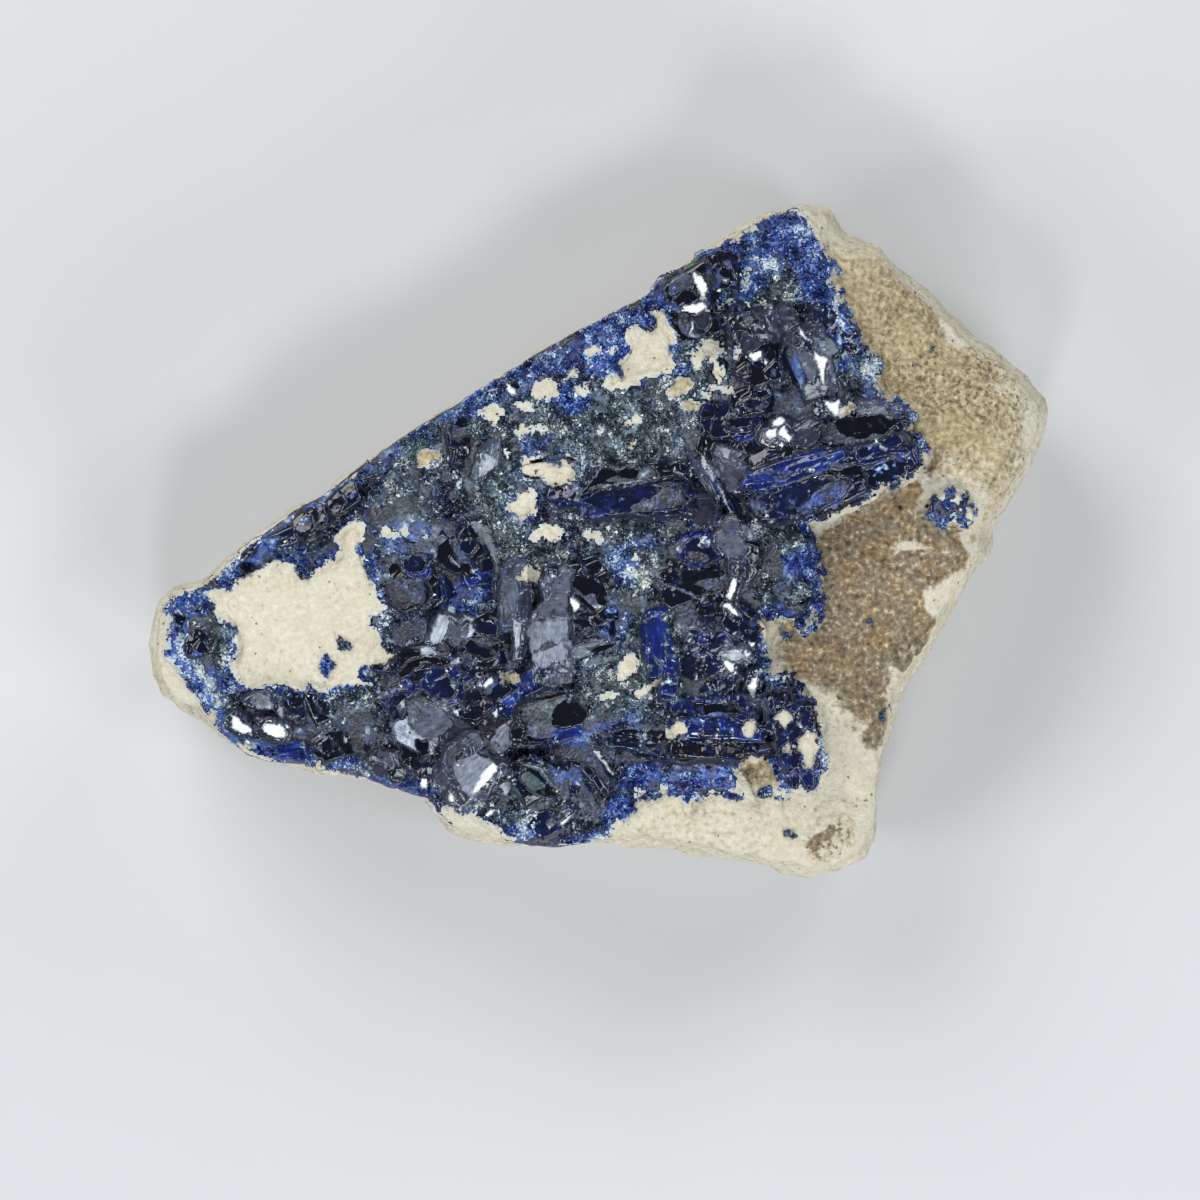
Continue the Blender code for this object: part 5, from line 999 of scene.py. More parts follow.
# Two bare fields and many small patches have outlines that matter, so they are drawn corner by corner.
ROUND_FIELD = 1.1  # mm of azurite at least round each field
BARE_FIELDS = ((
    (-39.4, -5.1), (-37.8, -4.9), (-36.8, -4.7), (-36.0, -3.9), (-35.0, -3.3), (-33.8, -2.9), (-33.0, -2.1),
    (-32.0, -2.1), (-30.8, -2.1), (-30.0, -2.9), (-29.8, -3.6), (-29.0, -3.7), (-28.2, -3.0), (-27.4, -2.5),
    (-27.2, -2.0), (-26.4, -1.9), (-25.8, -0.7), (-26.3, 0.2), (-25.5, 1.5), (-24.8, 1.9), (-23.9, 1.9),
    (-23.5, 1.5), (-23.6, 0.2), (-24.2, -0.9), (-23.5, -1.7), (-23.3, -3.6), (-22.5, -4.4), (-22.3, -5.8),
    (-21.2, -6.6), (-21.7, -7.1), (-22.8, -7.4), (-22.9, -8.3), (-22.0, -9.3), (-21.7, -10.5), (-20.7, -11.5),
    (-21.4, -12.3), (-22.5, -12.4), (-23.4, -12.4), (-23.9, -13.1), (-23.7, -14.0), (-22.9, -14.3),
    (-25.8, -14.2), (-27.0, -14.9), (-27.1, -15.4), (-28.8, -14.6), (-29.6, -15.0), (-30.8, -14.5),
    (-32.4, -14.2), (-33.4, -14.5), (-34.8, -14.6), (-35.6, -14.2), (-36.8, -13.1), (-37.0, -12.1),
    (-35.9, -11.8), (-36.0, -10.5), (-36.5, -9.9), (-36.0, -9.3), (-36.5, -8.2), (-37.8, -8.0), (-38.4, -7.1),
    (-38.4, -6.3), (-39.5, -5.5),
), (
    (4.9, 22.5), (5.5, 22.9), (6.3, 22.9), (6.5, 22.1), (6.9, 21.2), (7.6, 20.3), (7.5, 19.7), (6.9, 19.3),
    (7.2, 18.8), (7.2, 17.9), (7.4, 17.5), (7.0, 16.6), (6.3, 16.7), (5.5, 16.4), (4.5, 16.6), (4.1, 16.3),
    (3.9, 15.4), (3.0, 15.4), (2.6, 14.9), (1.8, 15.2), (1.1, 14.7), (0.4, 15.5), (0.7, 16.2), (1.2, 16.6),
    (1.8, 16.3), (2.2, 16.1), (1.9, 17.1), (1.8, 17.7), (2.4, 18.2), (3.0, 18.7), (3.1, 19.5), (2.6, 19.8),
    (2.4, 20.5), (2.8, 21.0), (3.7, 21.5), (4.3, 21.2), (4.8, 21.0), (5.4, 21.2), (5.6, 21.9),
))
ON_BARE_FIELD = (
    ((-28.0, -11.6), (-27.2, -11.4), (-26.2, -12.4), (-27.0, -13.0), (-27.2, -13.8), (-27.8, -13.2),
     (-27.8, -12.4)),
    ((-27.0, -11.3), (-26.0, -10.6), (-26.2, -9.8), (-25.6, -9.3), (-25.7, -10.0), (-24.6, -10.3),
     (-24.8, -11.0), (-25.8, -10.9)),
    ((-24.0, -12.6), (-23.0, -12.4), (-22.6, -13.4), (-23.4, -14.0), (-24.2, -13.6)),
)
CREAM_PATCHES = (
    ((-6.8, 14.6), (-6.3, 15.8), (-5.0, 16.1), (-4.0, 15.6), (-4.0, 14.6), (-5.2, 14.1), (-6.4, 14.1)),
    ((-11.9, 12.9), (-10.5, 13.6), (-9.5, 13.1), (-10.0, 12.1), (-10.4, 11.1), (-11.0, 11.7),
     (-11.6, 12.2)),
    ((-8.6, 10.8), (-7.8, 11.4), (-6.4, 11.7), (-5.7, 11.7), (-5.9, 11.0), (-7.0, 10.5), (-7.6, 10.1)),
    ((-8.5, 13.7), (-7.2, 14.0), (-6.6, 13.7), (-6.7, 13.0), (-7.5, 13.0)),
    ((-2.5, 15.2), (-1.2, 15.4), (-1.0, 14.8), (-1.6, 14.3), (-2.3, 14.5)),
    ((-9.7, 3.2), (-8.5, 3.8), (-8.0, 4.4), (-7.0, 5.1), (-6.5, 4.4), (-6.5, 2.6), (-7.8, 2.1),
     (-8.4, 2.7)),
    ((-21.8, 0.6), (-21.2, 1.3), (-20.4, 0.9), (-19.5, 1.3), (-19.4, 0.7), (-20.6, 0.4)),
    ((-5.9, 0.2), (-5.2, 0.8), (-4.3, 1.5), (-3.3, 1.1), (-3.8, 0.3), (-4.8, 0.0)),
    ((-1.7, 0.7), (-0.2, 0.8), (-0.2, 0.1), (-1.2, 0.1)),
    ((-7.9, -3.8), (-7.2, -3.2), (-6.0, -3.4), (-6.2, -4.0), (-7.2, -4.4)),
    ((1.8, -12.4), (2.8, -11.7), (3.2, -11.5), (3.8, -12.3), (3.6, -13.1), (2.8, -13.4), (2.0, -13.9)),
    ((3.5, -14.9), (5.0, -14.3), (6.0, -13.6), (6.5, -13.2), (6.7, -13.6), (6.0, -14.4), (4.8, -14.7),
     (3.8, -15.5)),
    ((-0.2, -15.5), (0.8, -15.3), (1.2, -15.0), (2.0, -15.3), (1.4, -15.7)),
    ((6.6, -18.5), (7.6, -18.0), (8.4, -17.9), (8.0, -18.7), (7.0, -19.1), (6.4, -19.0)),
    ((14.4, -17.9), (15.0, -17.5), (15.4, -18.1), (15.4, -19.7), (14.6, -19.7), (14.2, -18.9)),
    ((17.5, -17.5), (18.0, -16.9), (18.8, -16.8), (19.3, -17.5), (19.0, -18.4), (18.3, -18.7),
     (17.7, -18.1)),
    ((20.3, -19.7), (21.2, -19.4), (21.8, -20.4), (21.5, -22.1), (20.6, -22.4)),
    ((10.3, 20.0), (11.2, 20.3), (11.8, 20.0), (11.6, 19.1), (10.5, 19.3)),
    ((10.6, 17.9), (11.2, 18.4), (11.9, 18.2), (11.6, 17.5), (10.8, 17.5)),
    ((11.8, 17.9), (12.2, 17.5), (12.4, 16.3), (12.0, 16.3)),
    ((9.2, 18.5), (9.8, 18.7), (9.9, 18.1), (9.2, 18.0)),
    ((10.0, 15.4), (11.0, 15.5), (13.0, 15.2), (13.3, 14.5), (12.0, 15.0), (10.4, 14.9)),
    ((10.1, 14.7), (10.8, 14.8), (11.1, 14.2), (10.2, 14.1)),
    ((-3.2, 17.0), (-2.4, 17.1), (-2.4, 16.4), (-3.2, 16.4)),
    ((-1.8, 18.6), (-0.6, 19.6), (0.1, 19.0), (-0.2, 18.4), (-1.5, 18.2)),
    ((2.0, 11.8), (2.9, 12.0), (2.9, 11.4), (2.1, 11.2)),
    ((3.4, 12.3), (4.1, 12.2), (4.0, 11.7), (3.4, 11.8)),
    ((2.7, 9.7), (3.4, 9.7), (3.2, 9.1), (2.7, 9.3)),
)
TAN_PATCHES = (
    ((-18.0, 8.6), (-17.0, 9.0), (-16.0, 8.9), (-16.0, 8.2), (-17.0, 7.9), (-17.2, 7.3), (-18.2, 7.3)),
    ((6.3, 14.7), (7.0, 15.3), (7.2, 16.0), (8.0, 16.3), (9.0, 16.1), (9.5, 15.4), (9.0, 14.9), (8.0, 14.5),
     (6.8, 14.1)),
    ((8.3, 13.8), (9.2, 14.1), (10.0, 13.6), (9.7, 13.0), (8.8, 13.0)),
    ((-10.2, -13.4), (-9.2, -13.0), (-8.0, -13.3), (-7.6, -14.2), (-9.0, -14.3)),
)
# Where the sandstone is dyed pale blue further from the azurite.
DYED = ((-41.5, -10.0, 3.6, 7.0, 0, 0.9), (25.6, 20.0, 2.4, 7.0, 16, 0.7), (-27.0, -11.6, 1.6, 2.6, 0, 0.5))
# Small growths of azurite on the bare sandstone.
AZURITE_SPOTS = (
    (-27.1, -12.6, 1.0, 1.4, 20, 1.0), (-25.6, -10.3, 1.2, 0.6, -30, 1.0), (-28.6, -2.9, 1.3, 0.7, 20, 1.0),
    (-23.0, -13.0, 0.8, 0.9, 0, 1.0), (-25.6, -15.4, 1.9, 0.8, 20, 0.9), (-23.8, -15.8, 1.4, 0.7, 0, 0.9),
    (-37.6, -7.6, 1.4, 1.5, 0, 1.0), (-36.8, -8.8, 1.1, 0.7, 0, 1.0), (-36.7, -10.9, 0.9, 1.0, 0, 1.0),
    (-14.5, -28.5, 0.5, 0.4, 0, 1.0), (19.0, -28.9, 0.3, 0.3, 0, 1.0), (-30.6, -14.6, 2.2, 0.7, 0, 0.9),
    (2.2, 16.0, 0.8, 0.5, 30, 0.8), (-22.0, -3.4, 0.7, 1.6, 0, 0.8), (16.8, -25.0, 1.0, 0.6, 40, 0.7),
)
# Bright royal blue sugar.
BLUE_SUGAR = (
    (18.5, 30.5, 4.0, 3.0, 50, 1.0), (21.0, 27.0, 2.2, 5.0, 20, 1.0), (23.6, 21.0, 1.8, 4.5, 12, 0.9),
    (15.0, 27.0, 3.5, 2.2, 20, 0.75), (12.6, 28.6, 4.0, 1.4, 32, 1.0), (6.5, 24.2, 3.0, 1.6, 40, 1.0),
    (13.5, 25.0, 3.0, 2.2, 0, 0.85), (0.5, 20.8, 5.0, 1.3, 32, 0.9), (0.6, 18.6, 3.2, 2.6, 10, 1.0),
    (-4.5, 17.5, 5.0, 1.2, 32, 0.8), (-2.8, 14.2, 2.6, 1.6, 0, 0.8), (-6.5, 9.8, 2.0, 1.2, 0, 0.8),
    (-12.0, 13.6, 4.0, 1.1, 33, 0.7), (-20.0, 8.8, 5.0, 0.9, 33, 0.7), (-27.0, 3.6, 5.0, 1.0, 34, 0.7),
    (-33.5, -0.2, 5.0, 1.0, 34, 0.8), (-41.0, -6.6, 2.8, 1.6, 20, 1.0), (-42.0, -10.6, 1.8, 2.6, 0, 1.0),
    (-39.6, -14.6, 1.6, 3.4, 25, 1.0), (-37.6, -18.6, 1.6, 2.6, 35, 1.0), (-33.6, -21.2, 3.2, 1.3, -10, 1.0),
    (-27.0, -21.9, 4.0, 1.0, -8, 0.8), (-36.6, -11.6, 0.9, 2.2, 0, 0.9), (-36.4, -14.0, 2.2, 1.0, 0, 0.8),
    (-19.6, -24.2, 4.0, 1.2, -14, 0.8), (-13.0, -1.0, 1.4, 1.6, 0, 0.6), (-13.6, -6.0, 2.8, 2.2, 30, 1.0),
    (-19.4, 0.5, 3.0, 1.6, 20, 0.5), (-9.0, -15.6, 2.0, 2.0, 0, 0.6), (-2.6, -19.2, 3.4, 1.1, 10, 0.9),
    (-3.6, -23.4, 2.2, 1.4, 20, 0.7), (2.6, -27.8, 1.6, 2.8, 30, 0.9), (-9.0, -29.0, 3.2, 1.0, 0, 0.9),
    (5.6, -23.6, 4.2, 1.2, 5, 1.0), (11.8, -23.6, 4.2, 1.4, 5, 1.0), (16.0, -22.2, 2.0, 1.4, 20, 0.9),
    (9.4, -26.2, 0.8, 1.4, 0, 1.0), (21.0, -22.4, 1.6, 2.6, 10, 1.0), (17.2, -23.6, 1.2, 2.0, 0, 0.9),
    (19.4, -16.0, 1.6, 1.8, 0, 0.8), (11.6, -17.4, 4.0, 0.8, 3, 0.8), (2.4, -18.2, 2.2, 1.4, 0, 0.6),
    (19.6, -2.6, 1.8, 2.0, 0, 0.8), (18.5, -7.6, 1.4, 1.2, 0, 0.8), (24.0, 4.4, 4.4, 1.1, 20, 1.0),
    (28.6, 7.2, 3.6, 1.5, 26, 1.0), (29.6, 12.8, 2.0, 0.8, 0, 0.9), (17.6, 5.0, 2.2, 1.4, 30, 0.9),
    (19.6, 17.2, 1.4, 2.2, 10, 0.7), (2.0, -2.4, 2.2, 2.6, 0, 0.75), (1.2, -8.0, 1.6, 2.6, 0, 0.5),
    (6.6, -13.0, 1.2, 3.4, 5, 0.5), (12.0, -0.6, 0.9, 1.2, 0, 0.7), (-24.6, -3.2, 1.2, 1.8, 30, 0.6),
    (-27.2, -12.6, 1.1, 1.4, 20, 1.0), (-24.2, -13.6, 1.0, 1.3, 0, 0.9), (-30.6, -1.6, 1.6, 1.2, 0, 0.8),
    (4.2, 0.2, 2.0, 0.8, 0, 0.5), (27.0, 15.8, 1.4, 3.0, 20, 0.6), (8.2, 17.0, 1.4, 1.0, 0, 0.9),
)
# Grey green, salt and pepper, where the fine crystals are weathered.
GREY_SUGAR = (
    (-1.0, 9.5, 12.0, 5.5, 22, 1.0), (8.0, 12.0, 5.5, 4.0, 0, 0.9), (-11.0, 6.0, 4.0, 3.4, 0, 0.9),
    (-16.0, 9.6, 5.0, 2.2, 33, 0.8), (16.8, 24.0, 2.6, 4.0, 10, 0.8), (9.6, 17.0, 2.8, 3.4, 0, 0.9),
    (-9.6, 0.4, 2.2, 3.6, 0, 1.0), (-6.4, -2.6, 3.0, 3.2, 0, 0.9), (3.6, -13.6, 6.0, 5.0, 0, 1.0),
    (4.0, -5.0, 4.0, 5.0, 0, 0.75), (3.6, 0.6, 5.0, 1.8, 0, 0.8), (-8.6, -7.0, 1.4, 3.4, 0, 0.8),
    (-23.0, -8.0, 1.4, 4.5, 0, 0.9), (-24.0, -15.6, 3.6, 1.8, 20, 0.8), (-37.6, -9.4, 2.0, 2.4, 30, 0.8),
    (-20.2, 3.0, 3.6, 2.6, 10, 0.5), (18.4, 0.0, 3.0, 2.2, 0, 0.7), (8.0, -10.0, 2.0, 3.0, 0, 0.5),
    (-17.0, -16.0, 4.6, 2.0, 20, 0.4), (-6.0, -24.6, 3.0, 2.6, 0, 0.7), (-14.6, -19.6, 3.0, 2.0, 0, 0.6),
    (-3.4, -16.2, 4.0, 1.8, 0, 0.8), (25.6, 17.4, 2.0, 2.4, 0, 0.7), (24.0, 15.0, 3.0, 1.6, 0, 0.7),
    (29.0, 11.0, 2.2, 1.6, 0, 0.6), (-27.6, 0.8, 1.4, 1.2, 0, 0.5), (-17.4, 1.0, 2.2, 1.6, 0, 0.5),
    (20.4, -18.2, 1.8, 3.0, 10, 0.6), (-36.0, -4.6, 1.6, 0.8, 20, 0.5), (6.6, 8.6, 4.5, 1.4, 0, 0.9),
)
# Dark glassy crystals, a millimetre or two across, close together.
GLASSY = (
    (16.5, 14.5, 6.0, 5.5, 0, 1.0), (18.5, 20.0, 4.5, 3.6, 0, 1.0), (12.0, 9.0, 4.0, 3.6, 0, 0.9),
    (13.0, 4.5, 4.0, 3.6, 0, 1.0), (10.5, -1.5, 4.5, 4.0, 0, 1.0), (11.5, -7.5, 4.5, 5.5, 0, 1.0),
    (12.0, -14.0, 4.0, 3.5, 0, 1.0), (7.0, -9.0, 2.6, 5.0, 0, 0.8), (11.5, -20.5, 5.5, 2.2, 4, 0.9),
    (4.5, -20.5, 4.0, 2.0, 0, 0.8), (-0.8, -6.0, 3.2, 5.0, 0, 0.9), (-5.0, -9.5, 3.2, 5.5, 0, 0.9),
    (-10.5, -10.5, 3.4, 3.6, 0, 1.0), (-16.0, -12.5, 5.6, 5.0, 0, 1.0), (-17.0, -18.5, 5.0, 3.6, 0, 0.9),
    (-12.0, -18.0, 3.4, 3.4, 0, 0.9), (-15.5, -3.0, 5.4, 4.4, 0, 1.0), (-19.0, 1.6, 4.6, 3.6, 0, 0.8),
    (-5.0, -18.0, 5.6, 3.0, 0, 0.9), (-3.0, -24.0, 5.0, 4.5, 0, 0.8), (-11.0, -24.0, 3.6, 3.4, 0, 0.6),
    (-32.0, -18.5, 5.0, 2.6, -10, 1.0), (-25.5, -19.0, 4.0, 2.6, 0, 0.9), (-39.6, -9.6, 1.6, 4.0, 20, 0.8),
    (-29.0, 1.6, 7.0, 1.6, 35, 0.9), (10.5, 24.5, 3.2, 3.2, 0, 0.9), (26.0, 9.5, 5.0, 3.2, 15, 0.9),
    (3.0, 5.0, 6.6, 2.2, 4, 1.0), (-2.6, 20.2, 4.0, 1.2, 32, 0.6), (-22.5, 7.0, 4.0, 1.6, 34, 0.7),
    (18.6, -5.0, 2.6, 4.0, 10, 0.7), (-13.5, 9.5, 2.2, 2.2, 0, 0.7), (13.5, -24.0, 3.0, 1.2, 0, 0.4),
)
# Where the crystals are at their darkest, with little growing on them.
DEEP = (
    (15.5, 15.5, 6.5, 4.5, 0, 1.0), (20.0, 12.6, 7.0, 3.0, 10, 1.0), (22.0, 6.4, 8.0, 3.4, 20, 1.0),
    (14.0, 10.5, 5.0, 4.0, 0, 1.0), (13.0, 4.0, 3.4, 3.2, 0, 0.9), (3.0, 4.8, 6.4, 2.2, 4, 1.0),
    (10.2, 24.4, 3.4, 3.4, 0, 0.9), (-19.5, 5.4, 7.0, 2.2, 33, 0.8), (-15.0, -1.6, 4.4, 3.0, 0, 0.9),
    (-17.0, -4.6, 4.0, 2.4, 0, 0.8), (-0.4, -4.6, 2.6, 3.0, 0, 1.0), (10.4, -5.0, 3.4, 4.0, 0, 0.8),
    (-4.2, -17.2, 5.0, 2.4, 0, 0.9), (-1.8, -22.4, 5.0, 3.0, -20, 1.0), (-19.0, -13.0, 4.4, 2.6, 0, 0.7),
    (11.0, -20.0, 5.0, 1.6, 4, 0.8), (-14.0, 9.4, 3.0, 2.4, 0, 0.6), (-28.0, -17.0, 3.0, 2.0, 0, 0.5),
    (8.0, -4.6, 3.0, 2.4, 0, 0.8), (19.6, -2.0, 1.4, 4.0, 5, 0.6), (-31.0, 0.6, 6.0, 1.0, 35, 0.7),
)
# Frosted with the palest crystals.
PALE_SUGAR = (
    (-41.8, -8.0, 1.6, 2.4, 20, 0.8), (-41.6, -11.6, 1.8, 2.2, 0, 1.0), (-39.4, -13.8, 1.2, 2.4, 20, 0.9),
    (-36.8, -12.0, 1.0, 1.6, 0, 0.8), (-37.2, -15.2, 1.6, 1.4, 0, 0.8), (-13.2, -5.4, 1.4, 1.2, 0, 1.2),
    (-16.6, -3.2, 0.9, 1.6, 10, 0.9), (14.6, 26.6, 1.3, 1.0, 0, 1.0), (12.4, 24.0, 2.0, 1.2, 10, 1.1),
    (16.6, 28.0, 1.6, 1.0, 30, 0.9), (15.2, 24.2, 0.9, 1.6, 0, 0.8), (23.8, 23.4, 0.7, 2.6, 14, 0.7),
    (26.2, 17.4, 1.4, 2.2, 30, 0.8), (24.4, 19.0, 1.6, 1.0, 0, 0.7), (14.0, 4.2, 0.9, 2.2, 20, 0.9),
    (-4.6, -13.2, 2.0, 1.2, 0, 1.0), (-6.4, -12.6, 1.2, 1.0, 0, 0.8), (-7.2, -27.6, 2.0, 1.6, 0, 0.7),
    (-24.0, -22.8, 2.6, 0.7, -10, 0.9), (-13.6, -26.2, 1.8, 1.2, 0, 0.8), (1.0, -28.8, 2.0, 0.9, 20, 1.0),
    (-31.0, 1.2, 1.4, 0.6, 30, 0.5), (-20.6, 4.4, 1.8, 1.6, 0, 0.7), (-22.0, 0.2, 1.6, 1.4, 0, 0.8),
    (-5.8, 12.4, 2.0, 1.2, 0, 0.7), (0.8, 17.0, 1.4, 0.8, 0, 0.6), (-24.6, -9.0, 1.2, 3.6, 0, 0.5),
    (-27.4, -15.2, 2.4, 0.9, 20, 0.8), (13.8, -13.0, 1.4, 1.0, 0, 0.5), (9.0, -12.6, 2.4, 2.6, 0, 0.35),
    (15.8, 1.8, 1.0, 1.0, 0, 0.8), (17.8, -0.6, 1.2, 1.2, 0, 0.5), (21.4, -19.0, 0.8, 1.6, 0, 0.7),
    (3.4, -4.0, 1.4, 1.6, 0, 0.8), (-33.6, -0.2, 1.0, 0.8, 0, 0.6), (-36.2, -2.8, 1.6, 0.8, 30, 0.9),
)
MALACHITE = ((9.3, 27.9, 0.8, 0.6, 0, 1.0), (-18.4, 9.2, 1.6, 1.0, 30, 0.5), (-7.0, -24.0, 2.4, 1.6, 0, 0.25))
print("patches drawn by hand:", len(CREAM_PATCHES) + len(TAN_PATCHES) + len(BARE_FIELDS))


# %% [markdown]
# The net covers the whole specimen. Its starting heights are those of the rock and the crust under it.
# Azurite covers it where the crust comes through, and where the maps ask for it.

# %% Net of the face
FACE_STEP = 0.13  # mm
NO_SURFACE = -50.0

face_x = np.arange(-46.0, 43.0, FACE_STEP)
face_y = np.arange(-31.5, 35.5, FACE_STEP)
grid_x, grid_y = np.meshgrid(face_x, face_y)
flat_points = np.stack([grid_x.ravel(), grid_y.ravel(), np.zeros(grid_x.size)], axis=1)


def heights_over(obj):
    """Height of one surface over the net, far below everything where there is none."""
    tree = tree_of(obj)
    found = [[top_at(tree, x, y) for x in face_x] for y in face_y]
    return np.array([[NO_SURFACE if z is None else z for z in row] for row in found])


def blurred(field, steps):
    """A field evened out over its neighbours."""
    for _ in range(steps):
        padded = np.pad(field, 1, mode="edge")
        field = (padded[:-2, 1:-1] + padded[2:, 1:-1] + padded[1:-1, :-2] + padded[1:-1, 2:] + field) / 5
    return field


def highest_near(field):
    """The highest value among each point and its eight neighbours."""
    rows, columns = field.shape
    padded = np.pad(field, 1, mode="edge")
    return np.max([padded[i:i + rows, j:j + columns] for i in range(3) for j in range(3)], axis=0)


def blurred_within(field, valid, steps):
    return blurred(field * valid, steps) / np.maximum(blurred(valid, steps), 1e-6)


def on_net(values):
    return values.reshape(grid_x.shape)


def net_noise(size, seed):
    return on_net(noise_at(flat_points, size, seed))


def net_blobs(table, wobble, size, seed, soft=(0.65, 1.15)):
    return on_net(blobs(flat_points, table, wobble, size, seed, soft))


rock_heights = heights_over(rock)
ground_heights = np.maximum(heights_over(crust), heights_over(islet))
on_azurite = ((ground_heights > rock_heights - 0.05) & (ground_heights > 0)).astype(float)
surface = np.maximum(ground_heights, rock_heights)
has_surface = (surface > 0).astype(float)
print("net of", grid_x.size, "points; azurite covers", round(on_azurite.sum() * FACE_STEP ** 2), "square mm")

def inside_outline(x, y, corners):
    """Which points lie inside an outline, and how far each is from it."""
    inside = np.zeros(x.shape, dtype=bool)
    distance = np.full(x.shape, np.inf)
    for (ax, ay), (bx, by) in zip(corners, (*corners[1:], corners[0])):
        side_x, side_y = bx - ax, by - ay
        if side_y != 0:
            inside ^= ((ay > y) != (by > y)) & (x < ax + (y - ay) * side_x / side_y)
        share = np.clip(((x - ax) * side_x + (y - ay) * side_y) / (side_x ** 2 + side_y ** 2), 0, 1)
        distance = np.minimum(distance, np.hypot(x - ax - share * side_x, y - ay - share * side_y))
    return inside, distance


# Chipped edges: a shift of a tenth of a millimetre that changes from place to place.
chipped_x = 0.11 * net_noise(0.7, 71) + 0.07 * net_noise(0.3, 72)
chipped_y = 0.11 * net_noise(0.7, 73) + 0.07 * net_noise(0.3, 74)


def drawn(outlines, raggedness=0.0):
    """One inside any of the outlines, whose edges are chipped and, for grainy ones, crumble away as well."""
    depth = np.full(grid_x.shape, -np.inf)
    for corners in outlines:
        inside, from_edge = inside_outline(grid_x + chipped_x, grid_y + chipped_y, corners)
        depth = np.maximum(depth, np.where(inside, from_edge, -from_edge))
    return (depth + raggedness * crumbly > 0).astype(float)


# %% [markdown]
# The maps turn into fields, one number at each point of the net. Noise makes their edges ragged, since
# crystals never end along a smooth line.

# %% Fields over the net
RIM_STEPS = 40  # of evening out, which reach about a millimetre from the rim
FIELD_RAGGED = 0.30  # how far the grainy edges of the bare fields crumble, in mm
PATCH_RAGGED = 0.42
ragged = 0.45 * net_noise(1.6, 8) + 0.40 * net_noise(0.8, 9) + 0.25 * net_noise(0.4, 10)
near_azurite = blurred_within(on_azurite, has_surface, 120)
from_rim = blurred(has_surface, RIM_STEPS)
crumbly = ragged + 0.35 * net_noise(0.22, 12)
sand = net_blobs(SAND_SPOTS, 0.9, 1.4, 1, (0.1, 1.9)) + 0.62 * crumbly
is_sand = smooth_step(sand, 0.52, 0.60)
at_edge = 2 * np.sqrt(near_azurite * (1 - near_azurite))
cover = smooth_step(near_azurite + 0.75 * crumbly * at_edge, 0.45, 0.50) * (1 - is_sand) * has_surface
spots = net_blobs(AZURITE_SPOTS, 0.9, 1.4, 8, (0.1, 1.9)) + 0.62 * crumbly
cover = np.maximum(cover, smooth_step(spots, 0.50, 0.58) * has_surface)
# The two bare fields have the outlines drawn for them, and azurite all round.
in_field = drawn(BARE_FIELDS, FIELD_RAGGED) > 0
from_field = np.minimum(*(inside_outline(grid_x, grid_y, field)[1] for field in BARE_FIELDS))
cover = np.where(in_field, drawn(ON_BARE_FIELD), np.where(from_field < ROUND_FIELD, has_surface, cover))
cover *= 1 - drawn(CREAM_PATCHES + TAN_PATCHES, PATCH_RAGGED)
# The rock shows along the outer edge, in a wider strip at the left.
strip = 0.58 + 0.24 * smooth_step(-grid_x, 20.0, 32.0)
cover *= smooth_step(from_rim + 0.14 * crumbly - strip, 0.0, 0.04)
blue = np.clip(net_blobs(BLUE_SUGAR, 1.0, 1.6, 2) + 0.35 * ragged, 0, 1)
grey = np.clip(net_blobs(GREY_SUGAR, 1.2, 2.2, 3) + 0.35 * ragged, 0, 1)
green = net_blobs(MALACHITE, 0.5, 1.0, 4)
deep = net_blobs(DEEP, 1.2, 2.2, 6)
glassy = np.clip(net_blobs(GLASSY, 1.2, 2.2, 5) + 0.25 * ragged, 0, 1)
# Round the azurite's edge the crystals are small and blue.
rim = blurred(on_azurite, 120)
edge = smooth_step(rim, 0.05, 0.4) * (1 - smooth_step(rim, 0.70, 0.97)) * has_surface
blue = np.maximum(blue, 0.85 * edge * (1 - 0.7 * grey))
inland = smooth_step(from_rim, 0.80, 1.0)
print("crystals cover", round(cover.sum() * FACE_STEP ** 2), "square mm")

# %% [markdown]
# The crystals grow into one another, so all of them together are one mosaic. Over the net, each crystal is
# the lowest of its own upward faces, and the mosaic is the highest of all the crystals. What belongs to whom
# and where two crystals meet comes out of the same sums.

# %% A crystal's own faces
random = np.random.default_rng(11)
# Shares of the small crystals that get a painted highlight: grey to pale, or a painted white flash.
PAINTED_HIGHLIGHT_SHARE = 0.13  # of the small crystals
FLASH_SHARE = 0.03
UPWARD = 0.04  # least upward part of a face's normal for it to be seen from above


def box_faces(length, width, height, form):
    """Normals and distances of a crystal's faces, in its own axes."""
    sides = np.array([length, width, height]) / 2
    faces = [(axis * sign, side) for axis, side in zip(np.eye(3), sides) for sign in (1, -1)]
    for direction, share in form:
        normal = np.array(direction) / np.linalg.norm(direction)
        faces.append((normal, share * float(np.abs(normal) @ sides)))
    return faces


# %% Mosaic


